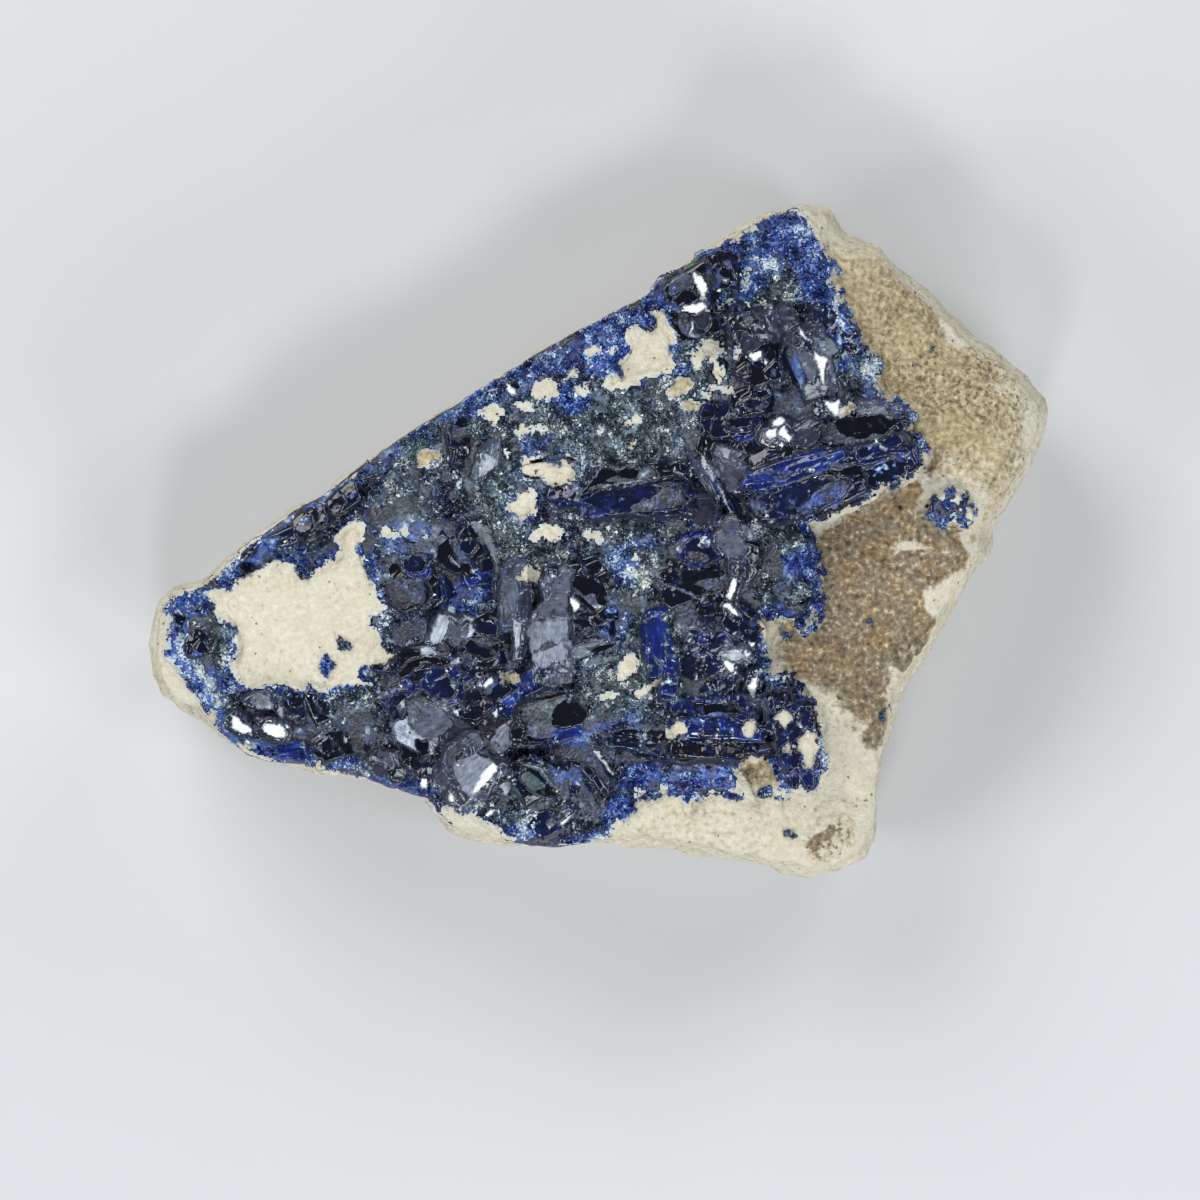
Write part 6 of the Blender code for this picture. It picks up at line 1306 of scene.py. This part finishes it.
class Mosaic:
    """Heights over the net, which crystal is on top at each point, and how close its own edges are."""

    def __init__(self, heights):
        self.height = heights.copy()
        self.owner = np.full(heights.shape, -1)
        self.rim = np.ones(heights.shape)
        self.tones = []
        self.painted_highlights = []
        self.fines = []
        self.groups = []
        self.headings = []

    def window(self, x, y, radius):
        """The part of the net round a place."""
        column, row = (x - face_x[0]) / FACE_STEP, (y - face_y[0]) / FACE_STEP
        reach = radius / FACE_STEP
        return (slice(max(0, int(row - reach)), int(row + reach) + 2),
                slice(max(0, int(column - reach)), int(column + reach) + 2))

    def add(self, x, y, top, length, width, height, heading, tilt, toward, form, tone, painted_highlight, fine, group=None):
        """Grows a crystal: its highest point in mm, its sides, the heading of its length and its lean."""
        facing = math.radians(toward)
        axis = Vector((-math.sin(facing), math.cos(facing), 0))
        level_turn = Matrix.Rotation(math.radians(heading), 3, "Z")
        turn = np.array(Matrix.Rotation(math.radians(tilt), 3, axis) @ level_turn)
        centre = top - height / 2 / math.cos(math.radians(tilt))
        part = self.window(x, y, 0.55 * math.hypot(length, width) + 0.3)
        dx, dy = grid_x[part] - x, grid_y[part] - y
        low = np.full(dx.shape, np.inf)
        second = np.full(dx.shape, np.inf)
        sideways = []
        for normal, distance in box_faces(length, width, height, form):
            n = turn @ normal
            if n[2] < UPWARD:
                sideways.append((n, distance))
                continue
            z = centre + (distance - n[0] * dx - n[1] * dy) / n[2]
            second = np.minimum(second, np.maximum(z, low))
            low = np.minimum(low, z)
        inside = np.ones(dx.shape, dtype=bool)
        for n, distance in sideways:
            inside &= n[0] * dx + n[1] * dy + n[2] * (low - centre) <= distance
        wins = inside & (low > self.height[part])
        self.height[part] = np.where(wins, low, self.height[part])
        self.owner[part] = np.where(wins, len(self.tones), self.owner[part])
        self.rim[part] = np.where(wins, second - low, self.rim[part])
        self.remember(heading, tone, painted_highlight, fine, group)

    def facet(self, base, corners, heading, tone, painted_highlight, rise, lean, facing):
        """Lays one flat face over what has grown, within an outline."""
        x, y = np.mean(corners, axis=0)
        part = self.window(x, y, max(math.dist((x, y), corner) for corner in corners) + 0.2)
        dx, dy = grid_x[part] - x, grid_y[part] - y
        inside, from_edge = inside_outline(grid_x[part] + chipped_x[part], grid_y[part] + chipped_y[part],
                                           corners)
        turn, slope = math.radians(facing), math.tan(math.radians(lean))
        middle = float(np.median(base[part][inside])) if inside.any() else 0.0
        plane = middle + rise - slope * (dx * math.cos(turn) + dy * math.sin(turn))
        self.height[part] = np.where(inside, plane, self.height[part])
        self.owner[part] = np.where(inside, len(self.tones), self.owner[part])
        self.rim[part] = np.where(inside, from_edge, self.rim[part])
        self.remember(heading, tone, painted_highlight, 0.0, None)

    def remember(self, heading, tone, painted_highlight, fine, group):
        """Keeps a crystal's looks. One that belongs to no other's group starts its own."""
        self.tones.append(tone)
        self.painted_highlights.append(painted_highlight)
        self.fines.append(fine)
        self.headings.append(math.radians(heading))
        self.groups.append(len(self.groups) if group is None else group)

    def of_owner(self, values, otherwise):
        """For each point of the net, what its crystal has."""
        return np.append(np.array(values, dtype=float), otherwise)[self.owner]


# %% [markdown]
# Between the listed crystals, others grow at random in three rounds, ever smaller. Neighbours share
# a heading, so that they look like one growth. A listed crystal brings a few smaller ones with it.

# %% Random growth


def jittered_sites(spacing, wanted):
    """Random places, about one to each square of that spacing, thinned by a field."""
    for x in np.arange(face_x[0], face_x[-1], spacing):
        for y in np.arange(face_y[0], face_y[-1], spacing):
            px, py = x + spacing * random.random(), y + spacing * random.random()
            row, column = int((py - face_y[0]) / FACE_STEP), int((px - face_x[0]) / FACE_STEP)
            if row < wanted.shape[0] and column < wanted.shape[1] and random.random() < wanted[row, column]:
                yield px, py, row, column


def grow_random(mosaic, base, spacing, wanted, sizes, lift, lean, fine):
    """Fills a zone with crystals of random size and lean, whose headings agree with their neighbours'."""
    for x, y, row, column in jittered_sites(spacing, wanted):
        length = random.uniform(*sizes)
        width = length * random.uniform(0.45, 0.85)
        heading = 200 * heading_field[row, column] + random.uniform(-35, 35)
        tilt = min(abs(random.normal(0, lean)), 45) * (1 - 0.6 * deep[row, column])
        form = (BLOCK, BLADE, PLATE, BLOCK)[random.integers(4)]
        top = base[row, column] + random.uniform(*lift)
        toward, painted_highlight = random.uniform(0, 360), 0.0
        # Some crystals get a painted highlight, and a few a painted white flash that also leans towards the
        # flash lamp.
        if random.random() < PAINTED_HIGHLIGHT_SHARE * (1 - 0.7 * deep[row, column]) * (1 + grey[row, column]):
            painted_highlight, fine_here = random.uniform(0.25, 0.80), 0.3 * fine
        else:
            fine_here = fine
        if random.random() < FLASH_SHARE:
            painted_highlight, tilt, toward, fine_here = 1.0, 20, FLASH_HEADING, 0.0
            length, width = 0.6 * length, 0.6 * width
        mosaic.add(x, y, top, length, width, max(1.2, 0.9 * length), heading, tilt, toward, form,
                   random.random(), painted_highlight, fine_here)


def parallel_growth(mosaic, x, y, top, length, width, height, heading, tilt, toward, form, tone, painted_highlight, group):
    """Steps a large crystal: smaller ones on it point almost the same way."""
    turn, facing = math.radians(heading), math.radians(toward)
    slope = math.tan(math.radians(tilt))
    for _ in range(int(min(5, 1.0 + length * width / 3.2))):
        along, across = random.uniform(-0.48, 0.48) * length, random.uniform(-0.48, 0.48) * width
        dx = along * math.cos(turn) - across * math.sin(turn)
        dy = along * math.sin(turn) + across * math.cos(turn)
        rise = -slope * (dx * math.cos(facing) + dy * math.sin(facing)) + random.uniform(0.0, 0.30)
        share = random.uniform(0.30, 0.70)
        mosaic.add(x + dx, y + dy, top + rise, share * length * random.uniform(0.9, 1.5), share * width * 1.3,
                   height, heading + random.normal(0, 9), max(0, tilt + random.normal(0, 3.5)),
                   toward + random.normal(0, 14), form, tone + random.normal(0, 0.10),
                   float(np.clip(painted_highlight + random.normal(0, 0.15), 0, 0.9)) if painted_highlight else 0.0, 0.0, group)


def broken_faces(size, lean, seed):
    """Height of a surface broken into flat pieces of about that size, each with its own small lean."""
    cell_x, cell_y = np.floor(grid_x / size).astype(np.int64), np.floor(grid_y / size).astype(np.int64)
    nearest = np.full(grid_x.shape, np.inf)
    height = np.zeros(grid_x.shape)
    for step_x in (-1, 0, 1):
        for step_y in (-1, 0, 1):
            corner = [cell_x + step_x + 1000, cell_y + step_y + 1000]
            jitter_x, jitter_y, slope_x, slope_y = (lattice([*corner, np.full_like(cell_x, k)], seed)
                                                    for k in range(4))
            dx = grid_x - (cell_x + step_x + 0.5 + 0.45 * jitter_x) * size
            dy = grid_y - (cell_y + step_y + 0.5 + 0.45 * jitter_y) * size
            distance = np.hypot(dx, dy)
            closer = distance < nearest
            nearest = np.where(closer, distance, nearest)
            height = np.where(closer, math.tan(math.radians(lean)) * (slope_x * dx + slope_y * dy), height)
    return height


# %% Grow the mosaic
heading_field = net_noise(5.0, 21)
clump = net_noise(1.1, 22) + 0.6 * net_noise(0.5, 23) + 1.1 * net_blobs(PALE_SUGAR, 0.8, 1.0, 7)
smooth_base = blurred_within(surface, has_surface, 14)
thick = blurred(on_azurite, 12)
valley = smooth_base + (0.12 - (0.35 + 0.40 * glassy) * thick) * inland
mosaic = Mosaic(np.where(has_surface > 0, valley - 0.5, NO_SURFACE))
for number, (x, y, length, width, height, heading, tilt, toward, form, look) in enumerate(CRYSTALS):
    tone, painted_highlight = LOOKS[look]
    row, column = int((y - face_y[0]) / FACE_STEP), int((x - face_x[0]) / FACE_STEP)
    top = smooth_base[row, column] + 0.35
    tone += 0.2 * math.sin(number * 2.4)
    mosaic.add(x, y, top, SPREAD * length, SPREAD * width, height, heading, tilt, toward, form,
               tone, painted_highlight, 0.0)
    parallel_growth(mosaic, x, y, top, length, width, height, heading, tilt, toward, form, tone, painted_highlight,
                    mosaic.groups[-1])
named_area = (mosaic.owner >= 0).astype(float)
free = 1 - 0.85 * blurred(named_area, 4)
grow_random(mosaic, valley, 1.15, glassy * free, (1.2, 3.2), (-0.1, 0.60), 17, 0.0)
grow_random(mosaic, valley, 0.75, cover * (0.9 - 0.5 * named_area), (0.7, 1.6), (-0.15, 0.50), 18, 0.4)
grow_random(mosaic, valley, 0.42, cover * (1 - 0.75 * glassy) * (0.9 - 0.8 * named_area), (0.4, 0.95),
            (-0.1, 0.40), 18, 1.0)
first_facet = len(mosaic.tones)
for number, (look, heading, corners) in enumerate(FACETS):
    tone, painted_highlight, rise, lean = FACET_LOOKS[look]
    facing = FLASH_HEADING if look == "w" else KEY_HEADING + 140 * math.sin(number * 1.7)
    mosaic.facet(smooth_base, corners, heading, tone, painted_highlight, rise, lean, facing)
print("mosaic:", len(mosaic.tones), "crystals")

# %% [markdown]
# The mosaic now gives the net its heights, and each point the looks of the crystal that owns it. The faces
# break into flat chips with small leans, which glint one by one.

# %% Face of the azurite
SKIRT_DEPTH = 0.5  # mm that a piece dips under the sandstone at its edge

is_facet = mosaic.owner >= first_facet
painted_highlight = mosaic.of_owner(mosaic.painted_highlights, 0.0)
clean = np.where(is_facet, 0.55 + 0.45 * painted_highlight, np.maximum(0.75 * deep, 0.8 * painted_highlight))
share_broken = np.where(painted_highlight > 0.95, 0.1, np.where(is_facet, 0.7, 1 - 0.5 * deep))
breaks = (broken_faces(1.5, 5, 41) + broken_faces(0.6, 4, 42)) * share_broken
face_heights = np.where(inland > 0, valley + (mosaic.height + breaks - valley) * inland, mosaic.height)
group = mosaic.of_owner(mosaic.groups, -1)
changes = np.zeros(grid_x.shape)
changes[:, 1:] += group[:, 1:] != group[:, :-1]
changes[1:, :] += group[1:, :] != group[:-1, :]
seam = np.clip(blurred(changes, 1) * 0.9, 0, 1)
skirt = np.where(cover > 0.5, 0.0, 1.0)
slope_y, slope_x = np.gradient(face_heights, FACE_STEP)
steep = smooth_step(np.hypot(slope_x, slope_y), 1.2, 3.0)
face_heights = face_heights - SKIRT_DEPTH * skirt

bare_of_sugar = np.maximum(glassy, named_area)
sugar_share = smooth_step(cover, 0.4, 0.8) * (1 - 0.985 * bare_of_sugar) * np.where(is_facet, 0.03, 1)
heading_at = mosaic.of_owner(mosaic.headings, 0.4)
along = grid_x * np.cos(heading_at) + grid_y * np.sin(heading_at)
across = grid_y * np.cos(heading_at) - grid_x * np.sin(heading_at)
face_fields = {
    "along": along, "across": across,
    "tone": mosaic.of_owner(mosaic.tones, 0.2), "painted_highlight": painted_highlight,
    "fine": mosaic.of_owner(mosaic.fines, 1.0), "seam": seam, "rim": 1 - smooth_step(mosaic.rim, 0.0, 0.16),
    "blue": blue, "grey": grey, "green": green, "clump": clump, "clean": clean, "steep": steep,
    "sugar": sugar_share * (painted_highlight < 0.9),
}
print("fields on each point:", ", ".join(sorted(face_fields)))

# %% [markdown]
# A piece is cut out of the net wherever a field asks for it. The azurite becomes a few pieces from left to
# right, because one mesh would be too heavy.

# %% Pieces cut from the net

NEAR_RIM = 0.86  # of from_rim, which is one inland
BRINK = 0.45  # mm that a cell near the rim may drop
DEEPEST = 1.6  # mm below the level inland
inland_level = blurred_within(surface, (from_rim > NEAR_RIM).astype(float), 60)


def corners_of(field):
    """The values at the four corners of each cell of the net."""
    return np.stack([field[:-1, :-1], field[1:, :-1], field[:-1, 1:], field[1:, 1:]])


def net_piece(name, wanted, heights, fields, material, mine=None):
    """A mesh of the net's cells with a wanted corner, with every field stored on its points."""
    kept = corners_of(wanted).any(axis=0) & corners_of(surface > 0).all(axis=0)
    if mine is not None:
        kept &= mine[:-1, :-1]
    # The sheets end at the brink and don't run down the sides.
    ground = corners_of(surface)
    drop = np.maximum(np.ptp(corners_of(heights), axis=0), np.ptp(ground, axis=0))
    kept &= (from_rim[:-1, :-1] > NEAR_RIM) | (drop < BRINK)
    kept &= ground.min(axis=0) > inland_level[:-1, :-1] - DEEPEST
    row, column = np.nonzero(kept)
    columns = wanted.shape[1]
    corner = row * columns + column
    quads = np.stack([corner, corner + 1, corner + columns + 1, corner + columns], axis=1)
    used, renumbered = np.unique(quads, return_inverse=True)
    points = np.stack([grid_x.ravel()[used], grid_y.ravel()[used], heights.ravel()[used]], axis=1) * MM
    mesh = bpy.data.meshes.new(name)
    mesh.from_pydata(points.tolist(), [], renumbered.reshape(-1, 4).tolist())
    mesh.polygons.foreach_set("use_smooth", np.ones(len(mesh.polygons), dtype=bool))
    for field_name, field in fields.items():
        store(mesh, field_name, field.ravel()[used])
    mesh.materials.append(material)
    piece = bpy.data.objects.new(name, mesh)
    bpy.context.scene.collection.objects.link(piece)
    return piece


# Each crystal belongs to one piece, so that two pieces meet along a seam between crystals.
areas = np.bincount(mosaic.owner.ravel() + 1, minlength=len(mosaic.tones) + 1)
middles = np.bincount(mosaic.owner.ravel() + 1, grid_x.ravel(), len(areas)) / np.maximum(areas, 1)
crystal_x = np.where(mosaic.owner < 0, grid_x, middles[mosaic.owner + 1])


def azurite_piece(name, lowest_x, highest_x):
    """The crystals whose middles lie between two values of x."""
    mine = (crystal_x >= lowest_x) & (crystal_x < highest_x)
    return net_piece(name, cover > 0.5, face_heights, face_fields, azurite_face, mine)


def band_limits(field, count):
    """Values of x that split a field into bands with the same sum."""
    shares = np.cumsum(field.sum(axis=0)) / field.sum()
    return [-100.0] + [float(face_x[np.searchsorted(shares, i / count)]) for i in range(1, count)] + [100.0]


FACE_BANDS = 3
limits = band_limits((cover > 0.5).astype(float), FACE_BANDS)
faces = [azurite_piece(f"crystal_face_{i + 1}", limits[i], limits[i + 1]) for i in range(FACE_BANDS)]
print("face:", [len(piece.data.polygons) for piece in faces], "faces")

# %% [markdown]
# The scatter itself is one Geometry Nodes tree: points on the sheet, a crystal on each, turned at random
# about the surface's normal, with its own size and its own tone. Realize Instances makes it plain mesh.

# %% Scatter tree
FIRST_ANGLE_SEED = 11
SIZE_SEED = 21
TONE_SEED = 31


def scatter_tree(name, field):
    """Grows crystals on a sheet, as dense as one of its fields says."""
    tree = bpy.data.node_groups.new(name, "GeometryNodeTree")
    face = tree.interface
    face.new_socket("Sheet", in_out="INPUT", socket_type="NodeSocketGeometry")
    face.new_socket("Crystals", in_out="INPUT", socket_type="NodeSocketCollection")
    for label in ("Density", "Smallest", "Largest", "Lean"):
        face.new_socket(label, in_out="INPUT", socket_type="NodeSocketFloat")
    face.new_socket("Seed", in_out="INPUT", socket_type="NodeSocketInt")
    face.new_socket("Finish", in_out="INPUT", socket_type="NodeSocketMaterial")
    face.new_socket("Grown", in_out="OUTPUT", socket_type="NodeSocketGeometry")

    def add(kind, **settings):
        node = tree.nodes.new(kind)
        for key, value in settings.items():
            setattr(node, key, value)
        return node

    def link(source, target):
        tree.links.new(source, target)

    given = add("NodeGroupInput").outputs
    amount = add("GeometryNodeInputNamedAttribute", data_type="FLOAT")
    amount.inputs["Name"].default_value = field
    product = add("ShaderNodeMath", operation="MULTIPLY")
    link(given["Density"], product.inputs[0])
    link(amount.outputs["Attribute"], product.inputs[1])
    spots = add("GeometryNodeDistributePointsOnFaces", distribute_method="RANDOM")
    link(given["Sheet"], spots.inputs["Mesh"])
    link(given["Seed"], spots.inputs["Seed"])
    link(product.outputs[0], spots.inputs["Density"])

    # A random lean either way about two axes, and any turn about the third.
    backwards = add("ShaderNodeMath", operation="MULTIPLY")
    link(given["Lean"], backwards.inputs[0])
    backwards.inputs[1].default_value = -1.0
    lean = (backwards.outputs[0], given["Lean"])
    angles = []
    for low, high in (lean, lean, (-math.pi, math.pi)):
        angle = add("FunctionNodeRandomValue", data_type="FLOAT")
        for socket, value in ((angle.inputs[2], low), (angle.inputs[3], high)):
            if isinstance(value, float):
                socket.default_value = value
            else:
                link(value, socket)
        angle.inputs["Seed"].default_value = FIRST_ANGLE_SEED + len(angles)
        angles.append(angle.outputs[1])
    combined = add("ShaderNodeCombineXYZ")
    for socket, angle in zip(combined.inputs, angles):
        link(angle, socket)
    as_rotation = add("FunctionNodeEulerToRotation")
    link(combined.outputs[0], as_rotation.inputs[0])
    turned = add("FunctionNodeRotateRotation", rotation_space="LOCAL")
    link(spots.outputs["Rotation"], turned.inputs["Rotation"])
    link(as_rotation.outputs[0], turned.inputs["Rotate By"])

    size = add("FunctionNodeRandomValue", data_type="FLOAT")
    link(given["Smallest"], size.inputs[2])
    link(given["Largest"], size.inputs[3])
    size.inputs["Seed"].default_value = SIZE_SEED

    shapes = add("GeometryNodeCollectionInfo")
    link(given["Crystals"], shapes.inputs["Collection"])
    shapes.inputs["Separate Children"].default_value = True
    shapes.inputs["Reset Children"].default_value = True
    placed = add("GeometryNodeInstanceOnPoints")
    placed.inputs["Pick Instance"].default_value = True
    link(spots.outputs["Points"], placed.inputs["Points"])
    link(shapes.outputs[0], placed.inputs["Instance"])
    link(turned.outputs[0], placed.inputs["Rotation"])
    link(size.outputs[1], placed.inputs["Scale"])

    tone = add("FunctionNodeRandomValue", data_type="FLOAT")
    tone.inputs["Seed"].default_value = TONE_SEED
    kept = add("GeometryNodeStoreNamedAttribute", data_type="FLOAT", domain="INSTANCE")
    kept.inputs["Name"].default_value = "tone"
    link(placed.outputs[0], kept.inputs["Geometry"])
    link(tone.outputs[1], kept.inputs["Value"])
    realized = add("GeometryNodeRealizeInstances")
    painted = add("GeometryNodeSetMaterial")
    link(kept.outputs[0], realized.inputs[0])
    link(realized.outputs[0], painted.inputs["Geometry"])
    link(given["Finish"], painted.inputs["Material"])
    link(painted.outputs[0], add("NodeGroupOutput").inputs[0])
    return tree


def grow(sheet, tree, name, **inputs):
    """Runs a scatter tree on a sheet and returns the result as a plain mesh object."""
    modifier = sheet.modifiers.new(name, "NODES")
    modifier.node_group = tree
    for item in tree.interface.items_tree:
        if item.in_out == "INPUT" and item.name in inputs:
            modifier[item.identifier] = inputs[item.name]
    evaluated = sheet.evaluated_get(bpy.context.evaluated_depsgraph_get())
    mesh = bpy.data.meshes.new_from_object(evaluated)
    sheet.modifiers.clear()
    mesh.name = name
    grown = bpy.data.objects.new(name, mesh)
    bpy.context.scene.collection.objects.link(grown)
    return grown


# %% [markdown]
# Three kinds of tiny crystal are enough, since each grain gets its own size, lean and turn.

# %% Shapes for the scatter


def shape_collection(name, meshes):
    """A collection of the shapes that a scatter picks from."""
    collection = bpy.data.collections.new(name)
    for number, mesh in enumerate(meshes):
        data = bpy.data.meshes.new(f"{name}_{number}")
        mesh.to_mesh(data)
        mesh.free()
        collection.objects.link(bpy.data.objects.new(f"{name}_{number}", data))
    return collection


def shard_mesh(length, width, height, lean):
    """The smallest crystals: a leaning tip on a four-sided foot, six triangles."""
    mesh = bmesh.new()
    square = ((-0.5, -0.5), (0.5, -0.5), (0.5, 0.5), (-0.5, 0.5))
    foot = [mesh.verts.new((x * length, y * width, -0.3 * height)) for x, y in square]
    tip = mesh.verts.new((lean * length, 0.2 * width, 0.7 * height))
    mesh.faces.new(foot[::-1])
    for start, end in zip(foot, foot[1:] + foot[:1]):
        mesh.faces.new((start, end, tip))
    bmesh.ops.recalc_face_normals(mesh, faces=mesh.faces)
    return mesh


grain_shapes = shape_collection("grain", [shard_mesh(1.2, 0.8, 1.0, 0.3), shard_mesh(1.5, 0.6, 0.9, -0.4),
                                          shard_mesh(0.9, 0.9, 1.3, 0.1)])
print("scatter shapes ready")

# %% [markdown]
# The sugar grows in bands from left to right, so that no piece gets too many triangles.

# %% Sugar of tiny crystals
SUGAR_DENSITY = 62e6  # a square metre
SUGAR_BANDS = 6  # pieces, so that none grows too heavy
GRAIN_LEAN = math.radians(40)
SMALLEST, LARGEST = 0.12 * MM, 0.36 * MM
FIRST_SUGAR_SEED = 40

sugar_tree = scatter_tree("scatter_sugar", "sugar")
sugar = []
sugar_limits = band_limits(face_fields["sugar"], SUGAR_BANDS)
for number in range(SUGAR_BANDS):
    sheet = azurite_piece("sugar_sheet", sugar_limits[number], sugar_limits[number + 1])
    sugar.append(grow(sheet, sugar_tree, f"sugar_{number + 1}", Crystals=grain_shapes, Density=SUGAR_DENSITY,
                      Smallest=SMALLEST, Largest=LARGEST, Lean=GRAIN_LEAN, Seed=FIRST_SUGAR_SEED + number,
                      Finish=azurite_druse))
    bpy.data.objects.remove(sheet)
print("sugar:", [len(piece.data.polygons) for piece in sugar], "faces")

# %% [markdown]
# Where no azurite grows but some is near, a second sheet of sandstone runs on from the rock, level with the
# crust. The rock next to azurite is dyed pale blue, and a few stray crystals sit on it.

# %% Bare sandstone between the crystals
OVER_CRUST = 0.05  # mm, at the least
covered = (cover > 0.5).astype(float)
bare = (cover <= 0.5) & (near_azurite > 0.03) & (has_surface > 0)
bare_relief = 0.10 * net_noise(1.6, 61) + 0.09 * net_noise(0.7, 62) + 0.05 * net_noise(0.35, 63)
sink = smooth_step(near_azurite, 0.03, 0.20) * smooth_step(from_rim, 0.55, 0.80)
bare_heights = smooth_base + 0.08 + bare_relief - 0.9 * (1 - sink) + 0.14 * smooth_step(thick, 0.5, 1.0)
crust_top = highest_near(np.where(on_azurite > 0, ground_heights, NO_SURFACE))
bare_heights = np.maximum(bare_heights, crust_top + OVER_CRUST)
dyed = smooth_step(blurred(covered, 40), 0.15, 0.6) * net_blobs(DYED, 0.8, 1.5, 9)
halo = np.maximum(smooth_step(blurred(covered, 6), 0.15, 0.75), dyed)


def rock_fields(points, upward):
    """How stained and tan the sandstone is at each point, and how much painted shade darkens it, a little on
    its sides too.
    """
    stain = blobs(points, IRON_STAIN, 1.2) * (1 - 0.75 * blobs(points, PALE_IN_STAIN, 1.3, 1.4))
    return {"stain": stain * upward, "tan": np.maximum(blobs(points, TAN, 1.5) * upward, 0.35 * (1 - upward)),
            "painted_shade": np.maximum(blobs(points, SHADED_PITS, 1.5) * upward, 0.25 * (1 - upward))}


bare_fields = {name: on_net(values) for name, values in rock_fields(flat_points, 1.0).items()}
bare_fields["halo"] = halo
bare_fields["tan"] = np.maximum(bare_fields["tan"], 0.75 * drawn(TAN_PATCHES, PATCH_RAGGED))
bare_face = net_piece("sandstone_face", bare, bare_heights, bare_fields, sandstone)
print("bare sandstone:", len(bare_face.data.polygons), "faces")

# %% [markdown]
# The skin of the rock carries the same fields, so its colours run on where the net ends.

# %% The same fields on the rock itself


def at_points(field, points):
    """Values of a field of the net at scattered points."""
    column = np.clip(((points[:, 0] - face_x[0]) / FACE_STEP).astype(int), 0, len(face_x) - 1)
    row = np.clip(((points[:, 1] - face_y[0]) / FACE_STEP).astype(int), 0, len(face_y) - 1)
    return field[row, column]


rock_points = points_of(rock.data)
rock_upward = smooth_step(normals_of(rock.data)[:, 2], 0.2, 0.6)
store(rock.data, "halo", at_points(halo * (cover <= 0.5), rock_points) * rock_upward)
for name, values in rock_fields(rock_points, rock_upward).items():
    store(rock.data, name, values)
print("rock fields:", ", ".join(bare_fields))

# %% [markdown]
# A few grains of azurite lie on the sandstone close to the growth.

# %% Stray grains
STRAY_DENSITY = 4e6  # a square metre
STRAY_SEED = 60

stray_fields = {
    "stray": 0.8 * smooth_step(blurred(covered, 12), 0.10, 0.65) ** 1.5, "blue": 0.8 * (1 - 0.6 * grey),
    "grey": grey, "green": green, "clump": clump,
}
emitter = net_piece("stray_sheet", bare, bare_heights, stray_fields, azurite_druse)
stray = grow(emitter, scatter_tree("scatter_stray", "stray"), "stray_grains", Crystals=grain_shapes,
             Density=STRAY_DENSITY, Smallest=SMALLEST, Largest=0.34 * MM, Lean=GRAIN_LEAN, Seed=STRAY_SEED,
             Finish=azurite_druse)
bpy.data.objects.remove(emitter)
print("stray grains:", len(stray.data.polygons), "faces")

# %% [markdown]
# The solid crust shows between the grains of sugar, so it wears the same colours as they do.

# %% Paint the ground under the sugar


def dress_ground(obj):
    """Gives the crust under the tiny crystals the same zones as the map."""
    points = points_of(obj.data)
    store(obj.data, "tone", 0.5 + 0.5 * noise_at(points, 0.35, 51))
    store(obj.data, "blue", np.clip(blobs(points, BLUE_SUGAR, 1.0, 1.6, 2), 0, 1) * 0.8)
    store(obj.data, "grey", np.clip(blobs(points, GREY_SUGAR, 1.2, 2.2, 3), 0, 1))
    store(obj.data, "green", blobs(points, MALACHITE, 0.5, 1.0, 4))
    store(obj.data, "clump", noise_at(points, 1.1, 22))
    obj.data.materials.clear()
    obj.data.materials.append(ground_finish)


def ground_shader():
    s = Shader("azurite_ground", IOR=AZURITE_IOR)
    cell = s.cells(GRAINS_PER_MM)
    tone = s.plus(s.times(s.attribute("tone"), 0.4), s.times(s.cell_shade(cell), 0.6))
    height = s.times(cell.outputs["Distance"], -1.0)
    return s.finish(sugar_colour(s, tone), roughness=0.45, bump=height, distance=0.12, strength=0.8)


ground_finish = ground_shader()
dress_ground(crust)
dress_ground(islet)
print("ground finish:", ground_finish.name)

# %% [markdown]
# Last, the CAD solids are hidden and every piece is attached to one body, root. The floor is only there for
# the picture.

# %% Attach the pieces
FLOOR_SIZE = 2000  # mm from the middle to a side

floor_mesh = bmesh.new()
bmesh.ops.create_grid(floor_mesh, x_segments=1, y_segments=1, size=FLOOR_SIZE)
floor_shader = Shader("floor", Roughness=0.8)
floor_shader.principled.inputs["Base Color"].default_value = (0.60, 0.60, 0.61, 1)
floor = object_from(floor_mesh, "floor", floor_shader.material)

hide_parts("matrix_rock")
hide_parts("azurite_crust")
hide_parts("azurite_islet")
for slot, pieces in (("sandstone", [rock, bare_face]), ("azurite", [crust, islet, stray, *faces, *sugar])):
    for piece in pieces:
        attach(piece, "root")
